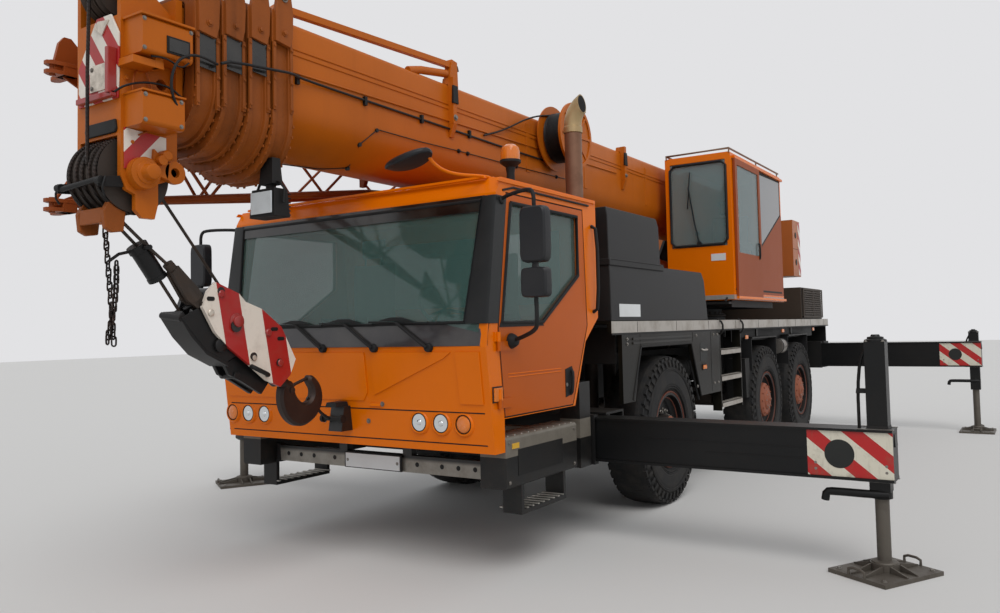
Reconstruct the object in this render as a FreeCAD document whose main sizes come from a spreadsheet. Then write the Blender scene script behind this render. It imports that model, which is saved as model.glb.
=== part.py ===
import FreeCAD, Part
import Sketcher
import math
import os
from FreeCAD import Placement, Rotation, Vector

# Three axle mobile crane on its outriggers, boom down and hook tied to the front.
# X points to the vehicle's left, Y to its rear and Z up. Lengths are millimetres.
# Y places below are measured from the front outriggers and moved to the middle at the end.

SIZES = {
    # Wheels
    "tyre_radius": 665,
    "tyre_width": 380,
    "tyre_tread_half": 150,
    "tyre_shoulder_radius": 625,
    "tyre_wall_radius": 500,
    "tyre_outer_x": 1273,
    "rim_radius": 322,
    "rim_wall": 14,
    "rim_lip": 22,
    "rim_well_radius": 270,
    "disc_offset": 62,
    "disc_thick": 22,
    "hub_radius": 118,
    "hub_reach": 96,
    "axle_one_y": 1262,
    "axle_two_y": 4388,
    "axle_three_y": 6039,
    # Axles and steering
    "axle_tube_radius": 92,
    "axle_drum_radius": 215,
    "axle_drum_half": 190,
    "yoke_inner_x": 826,
    "yoke_plate": 40,
    "yoke_reach": 46,
    "yoke_half": 62,
    "yoke_gap_half": 112,
    "yoke_ear": 34,
    "kingpin_x": 980,
    "kingpin_radius": 34,
    "knuckle_half": 62,
    "spindle_radius": 60,
    "spindle_gap": 0.3,
    "strut_radius": 62,
    "strut_x": 560,
    "strut_offset": 190,
    "hanger_thick": 30,
    # Chassis
    "frame_half": 390,
    "frame_low": 900,
    "nose_frame_low": 800,
    "frame_top": 1330,
    "frame_front": -1290,
    "frame_rear": 7930,
    "nose_frame_top": 1000,
    "body_half": 1250,
    "deck_top": 1650,
    "deck_edge": 100,
    "deck_thick": 24,
    "deck_front": 110,
    "deck_rear": 7950,
    "panel_thick": 36,
    "panel_low": 900,
    "panel_front": 300,
    "arch_top": 1430,
    "arch_half": 590,
    "arch_slant": 240,
    "ladder_front": 2720,
    "ladder_rear": 3400,
    "guard_thick": 14,
    "guard_top": 1440,
    # Outriggers
    "beam_wide": 220,
    "front_beam_high": 326,
    "rear_beam_high": 356,
    "beam_flange": 16,
    "beam_web_inset": 14,
    "beam_clearance": 5,
    "beam_pad_gap": 0.3,
    "beam_box_wall": 18,
    "beam_offset": 128,
    "front_pair_y": 30,
    "rear_pair_y": 7671,
    "front_beam_low": 592,
    "rear_beam_low": 920,
    "front_jack_x": 3229,
    "rear_jack_x": 3313,
    "parked_jack_x": 1142,
    "jack_square": 124,
    "jack_end": 92,
    "beam_inner_parked": 1232,
    "front_jack_top": 1472,
    "rear_jack_top": 1405,
    "front_jack_low": 520,
    "rear_jack_low": 596,
    "rod_radius": 43,
    "rod_gap": 0.3,
    "jack_cap": 20,
    "jack_down": 430,
    "foot_thick": 26,
    "foot_boss_top": 74,
    "foot_boss_radius": 88,
    "foot_wide": 430,
    "foot_long": 540,
    "front_foot_turn": -30,
    "rear_foot_turn": 0,
    "jack_slot_gap": 10,
    "mouth_joint": 0.3,
    # Driver's cab
    "cab_half": 1252,
    "cab_wall": 44,
    "cab_front": -1640,
    "cab_chin": -1560,
    "cab_chin_low": 830,
    "cab_sill": 1040,
    "cab_waist": 1500,
    "cab_glass_top_y": -1492,
    "cab_glass_top": 2480,
    "cab_roof": 2585,
    "cab_rear": -120,
    "cab_step_front": -1450,
    "door_gap": 5,
    "door_front_low": -1448,
    "door_front_waist": -1505,
    "door_front_top": -1378,
    "door_rear_low": -552,
    "door_rear_waist": -300,
    "door_rear_top": -336,
    "door_top": 2488,
    "door_waist": 1620,
    "pane": 8,
    "hinge_radius": 14,
    "hinge_long": 60,
    "hinge_low_z": 1110,
    "hinge_high_z": 1470,
    "glass_low": 1650,
    "glass_post": 47,
    "glass_head": 60,
    "screen_low": 1560,
    "screen_margin": 62,
    # Boxes on the deck
    "box_inner_x": 380,
    "box_front": 118,
    "high_box_rear": 1190,
    "high_box_top": 2580,
    "low_box_rear": 2360,
    "low_box_top": 2140,
    "rear_box_front": 6330,
    "rear_box_rear": 7620,
    "rear_box_top": 2110,
    "exhaust_x": 1010,
    "exhaust_y": 0,
    "exhaust_radius": 72,
    "exhaust_top": 3330,
    # Superstructure
    "slew_y": 4450,
    "ring_radius": 700,
    "ring_top": 1740,
    "ring_gap": 0.5,
    "turn_low": 1840,
    "turn_top": 1960,
    "cheek_x": 349,
    "cheek_thick": 38,
    "cheek_front": 4350,
    "tail_rear": 6960,
    "tail_front": 6540,
    "tail_half": 1100,
    "tail_low": 2290,
    "tail_top": 3120,
    "tail_bay_half": 345,
    "pivot_y": 5950,
    "pivot_z": 3120,
    "pivot_radius": 60,
    "drum_radius": 150,
    "drum_flange": 215,
    "drum_half": 300,
    "drum_y": 6770,
    "drum_z": 2800,
    # Operator's cab
    "op_inner_x": 450,
    "op_outer_x": 1236,
    "op_front": 3300,
    "op_rear": 5400,
    "op_low": 1880,
    "op_top": 3560,
    "op_wall": 46,
    "op_door_front": 3370,
    "op_door_rear": 4330,
    "op_door_thick": 28,
    "op_front_sill": 2500,
    "op_door_sill": 2420,
    "op_side_sill": 2600,
    "seat_front": 4000,
    "seat_deep": 520,
    "seat_half": 240,
    "seat_foot_half": 120,
    "seat_level": 2300,
    "seat_thick": 130,
    "seat_back_high": 720,
    # Boom
    "boom_top": 3520,
    "boom_low": 2740,
    "boom_half": 330,
    "boom_wall": 10,
    "boom_step": 25,
    "boom_front": -2385,
    "boom_rear": 6260,
    "collar_long": 152,
    "collar_gap": 10,
    "collar_side": 62,
    "collar_top": 26,
    "collar_low": 205,
    "collar_step": 16,
    "section_rear": 5560,
    "section_rear_step": 40,
    "slide_gap": 0.3,
    "nose_front": -3360,
    "nose_low": 2230,
    "nose_top": 3570,
    "nose_half": 200,
    "nose_plate": 30,
    "nose_back_half": 245,
    "nose_face_low": 2650,
    "nose_face_top": 3280,
    "sheave_radius": 200,
    "top_sheave_radius": 150,
    "sheave_thick": 46,
    "sheave_groove": 16,
    "sheave_pitch": 60,
    "nose_pin_radius": 40,
    "jib_hole_radius": 30,
    "jib_hole_y": -3130,
    "jib_hole_z": 2960,
    "low_sheave_y": -3250,
    "low_sheave_z": 2460,
    "top_sheave_y": -3270,
    "top_sheave_z": 3450,
    "side_box_out": 160,
    "ear_height": 110,
    "ear_thick": 30,
    "head_back_thick": 40,
    "nose_face_thick": 14,
    "nose_boss_radius": 85,
    "nose_boss_out": 45,
    "upper_box_deep": 290,
    "upper_box_low": 3060,
    "upper_box_high": 3250,
    "lower_box_deep": 240,
    "lower_box_low": 2690,
    "lower_box_high": 2860,
    "side_box_round": 22,
    "knob_in": 200,
    "knob_up": 310,
    "knob_radius": 26,
    "fin_out": 52,
    "fin_thick": 46,
    "fin_high": 320,
    "fin_above": 50,
    "top_bar_x": 200,
    "top_bar_front": -2360,
    "top_bar_rear": -700,
    "top_bar_z": 3580,
    "top_bar_square": 44,
    "side_bracket_y": -760,
    "rear_bracket_y": 2330,
    # Cable reel on the boom
    "reel_y": 800,
    "reel_z": 3365,
    "reel_inner_x": 372,
    "reel_wide": 230,
    "reel_radius": 300,
    "reel_core": 215,
    "reel_flange": 12,
    "reel_pin_radius": 34,
    # Folding jib stowed along the boom
    "jib_inner_x": -455,
    "jib_outer_x": -800,
    "jib_front": -3400,
    "jib_bend": -600,
    "jib_rear": 3500,
    "jib_low": 2780,
    "jib_front_low": 2350,
    "jib_top": 3120,
    "jib_lug_high": 190,
    "jib_plate_front": -900,
    "jib_plate_rear": 2400,
    "jib_chord": 30,
    "jib_lace": 16,
    "jib_bay": 512,
    # Lift cylinder
    "foot_pin_y": 4950,
    "foot_pin_z": 2260,
    "eye_pin_y": 1750,
    "eye_pin_z": 2560,
    "barrel_radius": 118,
    "lift_rod_radius": 70,
    "barrel_long": 2900,
    "eye_pin_radius": 50,
    "foot_pin_radius": 55,
    # Hook block
    "block_tilt": 50,
    "block_half": 125,
    "block_plate": 30,
    "block_sheave_radius": 185,
    "block_sheave_down": 1010,
    "block_sheave_front": 45,
    "block_shift": -150,
    "block_pin_radius": 36,
    "hook_neck": 40,
    "socket_radius": 44,
    "hook_thick": 72,
    "hook_edge": 16,
    "weight_radius": 50,
    "rope_radius": 9,
    # Bumper and tow bracket
    "bumper_half": 1000,
    "bumper_thick": 60,
    "bumper_low": 612,
    "bumper_high": 118,
    "bumper_drop_x": 270,
    "plate_half": 265,
    "bracket_low": 930,
    "bracket_high": 170,
    "bracket_half": 62,
    # Steps, lamps and mirrors of the driver's cab
    "step_inner_x": 1050,
    "step_outer_x": 1250,
    "step_front": -1440,
    "step_rear": -510,
    "step_low": 590,
    "step_top": 920,
    "tread_front": -1250,
    "tread_rear": -670,
    "tread_low": 400,
    "tread_thick": 30,
    "step_round": 24,
    "step_arm_low": 812,
    "step_arm_front": -1200,
    "step_arm_rear": -700,
    "housing_front": -415,
    "housing_rear": -250,
    "housing_low": 570,
    "housing_high": 1200,
    "lamp_radius": 74,
    "lamp_deep": 30,
    "lamp_z": 1010,
    "left_lamp_x": 670,
    "right_lamp_x": -1190,
    "lamp_pitch": 180,
    "mirror_x": 1585,
    "mirror_y": -1580,
    "mirror_half": 95,
    "mirror_deep": 70,
    "mirror_top": 2350,
    "mirror_split": 1990,
    "mirror_low": 1790,
    "mirror_arm": 14,
    "mirror_round": 30,
    "mirror_arm_z": 2400,
    "mirror_foot_y": -1588,
    "mirror_arm_y": -1465,
    "mirror_foot_radius": 24,
    "mirror_foot_z": 1560,
    "beacon_x": 1100,
    "beacon_y": -1050,
    "beacon_radius": 70,
    "beacon_top": 2860,
    "beacon_post_long": 90,
    "wide_mirror_x": 880,
    "wide_mirror_half": 170,
    "wide_foot_y": -1513,
    "wide_foot_z": 2440,
    "wide_mirror_y": -1900,
    "wide_mirror_z": 2660,
}


class Size:
    """A length that also carries the sheet expression it comes from."""

    def __init__(self, value, text):
        self.value = float(value)
        self.text = text

    def __add__(self, other):
        other = as_size(other)
        return Size(self.value + other.value, "(" + self.text + " + " + other.text + ")")

    def __sub__(self, other):
        other = as_size(other)
        return Size(self.value - other.value, "(" + self.text + " - " + other.text + ")")

    def __mul__(self, other):
        other = as_size(other)
        return Size(self.value * other.value, "(" + self.text + " * " + other.text + ")")

    def __truediv__(self, other):
        other = as_size(other)
        return Size(self.value / other.value, "(" + self.text + " / " + other.text + ")")

    def __neg__(self):
        return Size(-self.value, "(0 - " + self.text + ")")

    def __radd__(self, other):
        return as_size(other) + self

    def __rsub__(self, other):
        return as_size(other) - self

    def __rmul__(self, other):
        return as_size(other) * self


def as_size(amount):
    if isinstance(amount, Size):
        return amount
    if amount < 0:
        return Size(amount, "(0 - " + str(float(-amount)) + ")")
    return Size(amount, str(float(amount)))


class Names:
    """The sheet's sizes by name."""


doc = FreeCAD.newDocument("mobile_crane")
sheet = doc.addObject("Spreadsheet::Sheet", "size")
s = Names()
for row, (name, value) in enumerate(SIZES.items(), start=1):
    sheet.set("A" + str(row), name)
    sheet.set("B" + str(row), str(value))
    sheet.setAlias("B" + str(row), name)
    setattr(s, name, Size(value, "size." + name))
doc.recompute()

nodes = []


def bind(item, prop, amount):
    item.setExpression(prop, as_size(amount).text)


# The origin lies midway between the boom's front sheaves and the rear feet
front_end = s.low_sheave_y - s.sheave_radius
rear_end = s.rear_pair_y + s.beam_offset + s.foot_long / 2
middle_y = (front_end + rear_end) / 2


def place(item, x, y, z):
    bind(item, "Placement.Base.x", x)
    bind(item, "Placement.Base.y", as_size(y) - middle_y)
    bind(item, "Placement.Base.z", z)


def box(name, x, y, z):
    """A block between two places along each axis."""
    item = doc.addObject("Part::Box", name)
    bind(item, "Length", as_size(x[1]) - x[0])
    bind(item, "Width", as_size(y[1]) - y[0])
    bind(item, "Height", as_size(z[1]) - z[0])
    place(item, x[0], y[0], z[0])
    return item


TURNS = {
    "x": Rotation(Vector(0, 1, 0), 90),
    "-x": Rotation(Vector(0, 1, 0), -90),
    "y": Rotation(Vector(1, 0, 0), -90),
    "z": Rotation(),
}


def rod(name, axis, radius, start, length):
    """A cylinder from its start along an axis."""
    item = doc.addObject("Part::Cylinder", name)
    item.Placement = Placement(Vector(), TURNS[axis])
    bind(item, "Radius", radius)
    bind(item, "Height", length)
    place(item, start[0], start[1], start[2])
    return item


def fuse(name, items):
    item = doc.addObject("Part::MultiFuse", name)
    item.Shapes = items
    return item


def cut(name, base, tools):
    item = doc.addObject("Part::Cut", name)
    item.Base = base
    item.Tool = tools[0] if len(tools) == 1 else fuse(name + "_tools", tools)
    return item


def group(name, items):
    item = doc.addObject("Part::Compound", name)
    item.Links = items
    return item


def node(label, item):
    item.Label = label
    nodes.append(item)
    return item


PLANES = {"YZ": "YZ_Plane", "XZ": "XZ_Plane", "XY": "XY_Plane"}


def sketch_on(body, plane, outlines, offset):
    """A sketch of closed outlines, each corner held by two bound distances."""
    sketch = body.newObject("Sketcher::SketchObject", body.Name + "_sketch")
    for feature in body.Origin.OriginFeatures:
        if feature.Role == PLANES[plane]:
            sketch.AttachmentSupport = (feature, [""])
    sketch.MapMode = "FlatFace"
    if offset is not None:
        bind(sketch, "AttachmentOffset.Base.z", offset)
    for outline in outlines:
        first = sketch.GeometryCount
        count = len(outline)
        corners = []
        for across, up in outline:
            corners.append((as_size(across), as_size(up)))
        for index in range(count):
            here = corners[index]
            there = corners[(index + 1) % count]
            start = Vector(here[0].value, here[1].value, 0)
            end = Vector(there[0].value, there[1].value, 0)
            sketch.addGeometry(Part.LineSegment(start, end), False)
        for index in range(count):
            after = first + (index + 1) % count
            sketch.addConstraint(Sketcher.Constraint("Coincident", first + index, 2, after, 1))
        for index, (across, up) in enumerate(corners):
            for kind, amount in (("DistanceX", across), ("DistanceY", up)):
                held = Sketcher.Constraint(kind, first + index, 1, amount.value)
                place_index = sketch.addConstraint(held)
                sketch.setExpression("Constraints[" + str(place_index) + "]", amount.text)
    return sketch


def shifted(plane, outline):
    """Outline corners with their Y places moved to the part's own origin."""
    if plane == "YZ":
        return [(as_size(y) - middle_y, z) for y, z in outline]
    if plane == "XY":
        return [(x, as_size(y) - middle_y) for x, y in outline]
    return outline


def pad(name, plane, outline, low, high, rounds=None):
    """A plate or block padded from an outline, with some of its corners rounded."""
    body = doc.addObject("PartDesign::Body", name)
    flip = plane == "XZ"
    start = as_size(low)
    if flip:
        start = -(start - middle_y)
    sketch = sketch_on(body, plane, [shifted(plane, outline)], start)
    feature = body.newObject("PartDesign::Pad", name + "_pad")
    feature.Profile = sketch
    feature.Reversed = flip
    bind(feature, "Length", as_size(high) - low)
    if not rounds:
        return body
    doc.recompute([sketch, feature, body])
    last = feature
    for radius, picks in rounds:
        wanted = [shifted(plane, [outline[pick]])[0] for pick in picks]
        edges = []
        for number, edge in enumerate(last.Shape.Edges, start=1):
            ends = [vertex.Point for vertex in edge.Vertexes]
            if len(ends) < 2 or not along_normal(plane, ends):
                continue
            if any(near(plane, ends[0], corner) for corner in wanted):
                edges.append("Edge" + str(number))
        fillet = body.newObject("PartDesign::Fillet", name + "_round")
        fillet.Base = (last, edges)
        bind(fillet, "Radius", radius)
        body.Tip = fillet
        doc.recompute([fillet, body])
        last = fillet
    return body


def along_normal(plane, ends):
    span = ends[1] - ends[0]
    if plane == "YZ":
        return math.hypot(span.y, span.z) < 0.01
    if plane == "XZ":
        return math.hypot(span.x, span.z) < 0.01
    return math.hypot(span.x, span.y) < 0.01


def near(plane, point, corner):
    flat = {"YZ": (point.y, point.z), "XZ": (point.x, point.z), "XY": (point.x, point.y)}[plane]
    return math.hypot(flat[0] - as_size(corner[0]).value, flat[1] - as_size(corner[1]).value) < 0.05


def turned(name, profile, centre, side=1):
    """A body turned about the X axis from corners given as (along, radius)."""
    body = doc.addObject("PartDesign::Body", name)
    outline = [(side * as_size(along), radius) for along, radius in profile]
    sketch = sketch_on(body, "XY", [outline], None)
    feature = body.newObject("PartDesign::Revolution", name + "_turn")
    feature.Profile = sketch
    feature.ReferenceAxis = (sketch, ["H_Axis"])
    feature.Angle = 360
    place(body, centre[0], centre[1], centre[2])
    return body


def solid(name, shape):
    """A shape made from the sheet's sizes, where no feature fits."""
    item = doc.addObject("Part::Feature", name)
    item.Shape = shape
    return item


def point(x, y, z):
    return Vector(as_size(x).value, (as_size(y) - middle_y).value, as_size(z).value)


def bar(start, end, radius):
    """A round bar between two points."""
    span = end - start
    return Part.makeCylinder(as_size(radius).value, span.Length, start, span)


SIDES = (("left", 1), ("right", -1))
tyre_x = s.tyre_outer_x - s.tyre_width / 2
AXLES = (
    ("front", s.axle_one_y),
    ("middle", s.axle_two_y),
    ("rear", s.axle_three_y),
)


def make_wheels():
    """Six single wheels: a tyre and a dished rim with its hub."""
    for place_name, axle_y in AXLES:
        for side_name, side in SIDES:
            centre = (side * tyre_x, axle_y, s.tyre_radius)
            half = s.tyre_width / 2
            bead = half - 34
            tyre = [
                (-bead, s.rim_radius), (-bead, s.rim_radius + s.rim_lip + 6), (-half, s.rim_radius + 90),
                (-half, s.tyre_wall_radius),
                (-half + 16, s.tyre_shoulder_radius - 40), (-s.tyre_tread_half, s.tyre_radius - 8),
                (-s.tyre_tread_half + 40, s.tyre_radius), (s.tyre_tread_half - 40, s.tyre_radius),
                (s.tyre_tread_half, s.tyre_radius - 8), (half - 16, s.tyre_shoulder_radius - 40),
                (half, s.tyre_wall_radius), (half, s.rim_radius + 90),
                (bead, s.rim_radius + s.rim_lip + 6),
                (bead, s.rim_radius),
            ]
            label = place_name + "_" + side_name
            node("tyre_" + label, turned("tyre_" + label, tyre, centre))
            inner = s.rim_radius - s.rim_wall
            lip = bead + 12
            hub_bore = s.spindle_radius + s.spindle_gap
            disc_in = s.disc_offset - s.disc_thick / 2
            disc_out = s.disc_offset + s.disc_thick / 2
            rim = [
                (-lip, s.rim_radius + s.rim_lip), (-bead, s.rim_radius + s.rim_lip), (-bead, s.rim_radius),
                (bead, s.rim_radius), (bead, s.rim_radius + s.rim_lip), (lip, s.rim_radius + s.rim_lip),
                (lip, inner), (disc_out + 40, inner),
                (disc_out, s.rim_well_radius), (disc_out, s.hub_radius + 26), (disc_out + s.hub_reach,
                        s.hub_radius),
                (disc_out + s.hub_reach, 0), (disc_in + s.hub_reach, 0), (disc_in + s.hub_reach, hub_bore),
                (disc_in, hub_bore), (disc_in, s.rim_well_radius - 10), (disc_in + 30, inner),
                (-lip, inner),
            ]
            node("rim_" + label, turned("rim_" + label, rim, centre, side))


def make_axles():
    """Three axle beams with their drums, stub ends and suspension struts."""
    parts = []
    for place_name, axle_y in AXLES:
        steered = place_name == "front"
        reach = s.yoke_inner_x + s.yoke_plate if steered else tyre_x - s.tyre_width / 2 + 40
        pieces = [
            rod(place_name + "_axle_tube", "x", s.axle_tube_radius, (-reach, axle_y, s.tyre_radius),
                reach * 2),
            rod(place_name + "_axle_drum", "y", s.axle_drum_radius,
                (0, axle_y - s.axle_drum_half, s.tyre_radius), s.axle_drum_half * 2),
        ]
        for side_name, side in SIDES:
            if steered:
                pieces += make_yoke(place_name + "_" + side_name, side, axle_y)
            else:
                spindle = disc_seat() - reach
                pieces.append(rod(place_name + "_" + side_name + "_spindle", "x" if side > 0 else "-x",
                                  s.spindle_radius, (side * reach, axle_y, s.tyre_radius), spindle))
        for side_name, side in SIDES:
            for offset in (-s.strut_offset, s.strut_offset):
                name = place_name + "_" + side_name + "_strut"
                pieces.append(box(name + "_seat", (side * s.strut_x - 70, side * s.strut_x + 70),
                                  (axle_y + offset - 60, axle_y + offset + 60),
                                  (s.tyre_radius - 40, s.tyre_radius + 60)))
                pieces.append(box(name + "_arm", (side * s.strut_x - 70, side * s.strut_x + 70),
                                  (axle_y - s.strut_offset, axle_y + s.strut_offset),
                                  (s.tyre_radius - 40, s.tyre_radius + 30)))
                pieces.append(rod(name, "z", s.strut_radius,
                                  (side * s.strut_x, axle_y + offset, s.tyre_radius + 30),
                                  s.frame_top - s.hanger_thick - s.tyre_radius - 30))
        parts.append(fuse(place_name + "_axle", pieces))
    node("axles", group("axles", parts))


def disc_seat():
    """How far out a spindle goes: to the inside of the hub's closed end."""
    return tyre_x + s.disc_offset - s.disc_thick / 2 + s.hub_reach - s.spindle_gap


def make_yoke(name, side, axle_y):
    """Upper and lower ears that hold a steering knuckle by its kingpin."""
    low_x = s.yoke_inner_x
    far_x = s.kingpin_x + s.yoke_reach
    outer = s.yoke_gap_half + s.yoke_ear
    pieces = [box(name + "_yoke", span(side, low_x, low_x + s.yoke_plate),
                  (axle_y - s.yoke_half, axle_y + s.yoke_half), (s.tyre_radius - outer,
                          s.tyre_radius + outer))]
    for ear, low, high in (("low", -outer, -s.yoke_gap_half), ("high", s.yoke_gap_half, outer)):
        plate = box(name + "_" + ear + "_ear", span(side, low_x, far_x),
                    (axle_y - s.yoke_half, axle_y + s.yoke_half), (s.tyre_radius + low,
                            s.tyre_radius + high))
        hole = rod(name + "_" + ear + "_hole", "z", s.kingpin_radius + s.spindle_gap,
                   (side * s.kingpin_x, axle_y, s.tyre_radius + low - 5), s.yoke_ear + 10)
        pieces.append(cut(name + "_" + ear + "_bored", plate, [hole]))
    return pieces


def span(side, low, high):
    """The X range of a piece given by its distances from the middle, on one side."""
    if side > 0:
        return (as_size(low), as_size(high))
    return (-as_size(high), -as_size(low))


def make_knuckles():
    for side_name, side in SIDES:
        name = "knuckle_" + side_name
        centre_z = s.tyre_radius
        block = box(name + "_block", span(side, s.kingpin_x - s.knuckle_half,
                                          s.kingpin_x + s.knuckle_half),
                    (s.axle_one_y - s.knuckle_half, s.axle_one_y + s.knuckle_half),
                    (centre_z - s.yoke_gap_half + 0.3, centre_z + s.yoke_gap_half - 0.3))
        pin = rod(name + "_pin", "z", s.kingpin_radius,
                  (side * s.kingpin_x, s.axle_one_y, centre_z - s.yoke_gap_half - s.yoke_ear),
                  (s.yoke_gap_half + s.yoke_ear) * 2)
        spindle = rod(name + "_spindle", "x" if side > 0 else "-x", s.spindle_radius,
                      (side * s.kingpin_x, s.axle_one_y, centre_z), disc_seat() - s.kingpin_x)
        node(name, fuse(name, [block, pin, spindle]))


PAIRS = (
    ("front", s.front_pair_y, s.front_beam_low, s.front_beam_high),
    ("rear", s.rear_pair_y, s.rear_beam_low, s.rear_beam_high),
)
FOOT_TURNS = {"front": s.front_foot_turn, "rear": s.rear_foot_turn}


def make_chassis():
    """Box frame with the four outrigger tubes and the slew ring's seat."""
    pieces = [
        box("frame_box", (-s.frame_half, s.frame_half), (0, s.frame_rear), (s.frame_low, s.frame_top)),
        box("frame_nose", (-s.frame_half, s.frame_half), (s.frame_front, 0),
            (s.nose_frame_low, s.nose_frame_top)),
        rod("ring_seat", "z", s.ring_radius, (0, s.slew_y, s.frame_top), s.ring_top - s.frame_top),
    ]
    for side_name, side in SIDES:
        for place_name, axle_y in AXLES:
            pieces.append(box(place_name + side_name + "_hanger", span(side, s.frame_half - 10,
                    s.strut_x + 80),
                              (axle_y - s.strut_offset - 80, axle_y + s.strut_offset + 80),
                              (s.frame_top - s.hanger_thick, s.frame_top)))
        for mount_y in (s.frame_front + 60, s.door_rear_low - 160):
            pieces.append(box(side_name + "_cab_mount", span(side, s.frame_half - 110, s.frame_half),
                              (mount_y, mount_y + 100), (s.nose_frame_top, s.cab_sill)))
    tools = []
    mouths = []
    slot = s.jack_square / 2 + s.jack_slot_gap
    mouth_x = s.parked_jack_x - slot
    for name, pair_y, low, high in PAIRS:
        outer = s.beam_offset + s.beam_wide / 2 + s.beam_clearance + s.beam_box_wall
        floor = low - s.beam_clearance
        across = (pair_y - outer, pair_y + outer)
        tall = (floor - s.beam_box_wall, low + high + s.beam_clearance + s.beam_box_wall)
        pieces.append(box(name + "_tubes", (s.mouth_joint - mouth_x, mouth_x - s.mouth_joint), across, tall))
        cuts = []
        for side_name, side in SIDES:
            middle = pair_y - side * s.beam_offset
            half = s.beam_wide / 2 + s.beam_clearance
            cuts.append(box(name + side_name + "_channel", (-s.body_half - 10, s.body_half + 10),
                            (middle - half, middle + half), (floor, low + high + s.beam_clearance)))
            gap = box(name + side_name + "_slot", span(side, mouth_x - 5, s.body_half + 10),
                      (middle - slot, middle + slot), (tall[0] - 5, tall[1] + 5))
            mouths.append((box(name + side_name + "_mouth", span(side, mouth_x, s.body_half), across, tall),
                           cuts, gap))
        tools += cuts
    frame = cut("frame_with_channels", fuse("frame_raw", pieces), tools)
    ends = [cut("mouth_" + str(number), mouth, channels + [gap])
            for number, (mouth, channels, gap) in enumerate(mouths)]
    pads = []
    for name, pair_y, low, high in PAIRS:
        for side_name, side in SIDES:
            middle = pair_y - side * s.beam_offset
            pads.append(box(name + side_name + "_wear_pad", span(side, s.body_half - 330,
                    s.body_half - 230),
                            (middle - 80, middle + 80), (low - s.beam_clearance, low - s.beam_pad_gap)))
    node("chassis_frame", fuse("chassis_frame", [frame] + pads + ends))


def make_deck():
    """Deck plate with its edge strips, side panels, mudguards and ladders."""
    inner = s.body_half - s.panel_thick
    low = s.deck_top - s.deck_edge
    plate = box("deck_plate", (-s.body_half, s.body_half), (s.deck_front, s.deck_rear),
                (s.deck_top - s.deck_thick, s.deck_top))
    opening = rod("deck_opening", "z", s.ring_radius + 12, (0, s.slew_y, s.deck_top - s.deck_thick - 5),
                  s.deck_thick + 10)
    pieces = [cut("deck_cut", plate, [opening])]
    pieces.append(box("exhaust_shelf", (s.exhaust_x - 110, s.exhaust_x + 90), (-90, s.deck_front),
                      (s.deck_top - s.deck_thick, s.deck_top)))
    for post_y in (s.ladder_rear + 60, s.rear_pair_y - 620):
        pieces.append(box("deck_post", (-s.frame_half + 40, s.frame_half - 40), (post_y, post_y + 80),
                          (s.frame_top, low + 80)))
    pieces.append(box("deck_front_post", (-s.frame_half + 40, s.frame_half - 40),
                      (s.deck_front + 200, s.deck_front + 280), (s.frame_top, low + 80)))
    arch_front = s.axle_one_y - s.arch_half
    arch_rear = s.axle_one_y + s.arch_half
    panel = [
        (s.panel_front, low), (s.panel_front, s.front_beam_low + s.front_beam_high + 60),
        (arch_front - 140, s.front_beam_low + s.front_beam_high + 60), (arch_front, s.arch_top),
        (arch_rear, s.arch_top),
        (arch_rear + s.arch_slant, s.panel_low), (s.ladder_front - 30, s.panel_low),
        (s.ladder_front - 30, low),
    ]
    for side_name, side in SIDES:
        x = span(side, inner, s.body_half)
        pieces.append(box(side_name + "_edge", x, (s.deck_front, s.deck_rear), (low, s.deck_top)))
        pieces.append(pad(side_name + "_panel", "YZ", panel, x[0], x[1]))
        guard_x = span(side, s.tyre_outer_x - s.tyre_width, s.body_half)
        for axle_y in (s.axle_two_y, s.axle_three_y):
            guard = box("guard", guard_x, (axle_y - 520, axle_y + 520), (s.guard_top - s.guard_thick,
                    s.guard_top))
            hanger = box("guard_hanger", span(side, inner - 120, inner - 60), (axle_y - 30, axle_y + 30),
                         (s.guard_top - 5, s.deck_top - 5))
            pieces += [guard, hanger]
        for rung_z in (1290, 1010, 730):
            pieces.append(box("rung", span(side, inner - 60, s.body_half), (s.ladder_front, s.ladder_rear),
                              (rung_z, rung_z + 40)))
        for rail_y in (s.ladder_front - 20, s.ladder_rear):
            pieces.append(box("rail", span(side, inner - 60, s.body_half), (rail_y, rail_y + 20),
                              (690, low + 20)))
    node("deck", fuse("deck", pieces))


def make_outriggers():
    """Sliding beams with their jack housings, and the rods with their feet."""
    for name, pair_y, low, high in PAIRS:
        jack_x = s.front_jack_x if name == "front" else s.rear_jack_x
        jack_top = s.front_jack_top if name == "front" else s.rear_jack_top
        jack_low = s.front_jack_low if name == "front" else s.rear_jack_low
        for side_name, side in SIDES:
            label = name + "_" + side_name
            y = pair_y - side * s.beam_offset
            half = s.beam_wide / 2
            inner_x = jack_x - s.parked_jack_x - s.beam_inner_parked
            x = span(side, inner_x, jack_x + s.jack_end)
            web = box(label + "_web", x, (y - half + s.beam_web_inset, y + half - s.beam_web_inset),
                      (low, low + high))
            top = box(label + "_top", x, (y - half, y + half), (low + high - s.beam_flange, low + high))
            bottom = box(label + "_bottom", x, (y - half, y + half), (low, low + s.beam_flange))
            square = s.jack_square / 2
            housing = box(label + "_housing", span(side, jack_x - square, jack_x + square),
                          (y - square, y + square), (jack_low, jack_top))
            bore = rod(label + "_bore", "z", s.rod_radius + s.rod_gap, (side * jack_x, y, jack_low - 5),
                       jack_top - jack_low - s.jack_cap + 5)
            beam = fuse(label + "_beam_raw", [web, top, bottom, housing])
            node("outrigger_beam_" + label, cut("outrigger_beam_" + label, beam, [bore]))
            make_foot(label, side * jack_x, y, jack_top, FOOT_TURNS[name])


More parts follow.
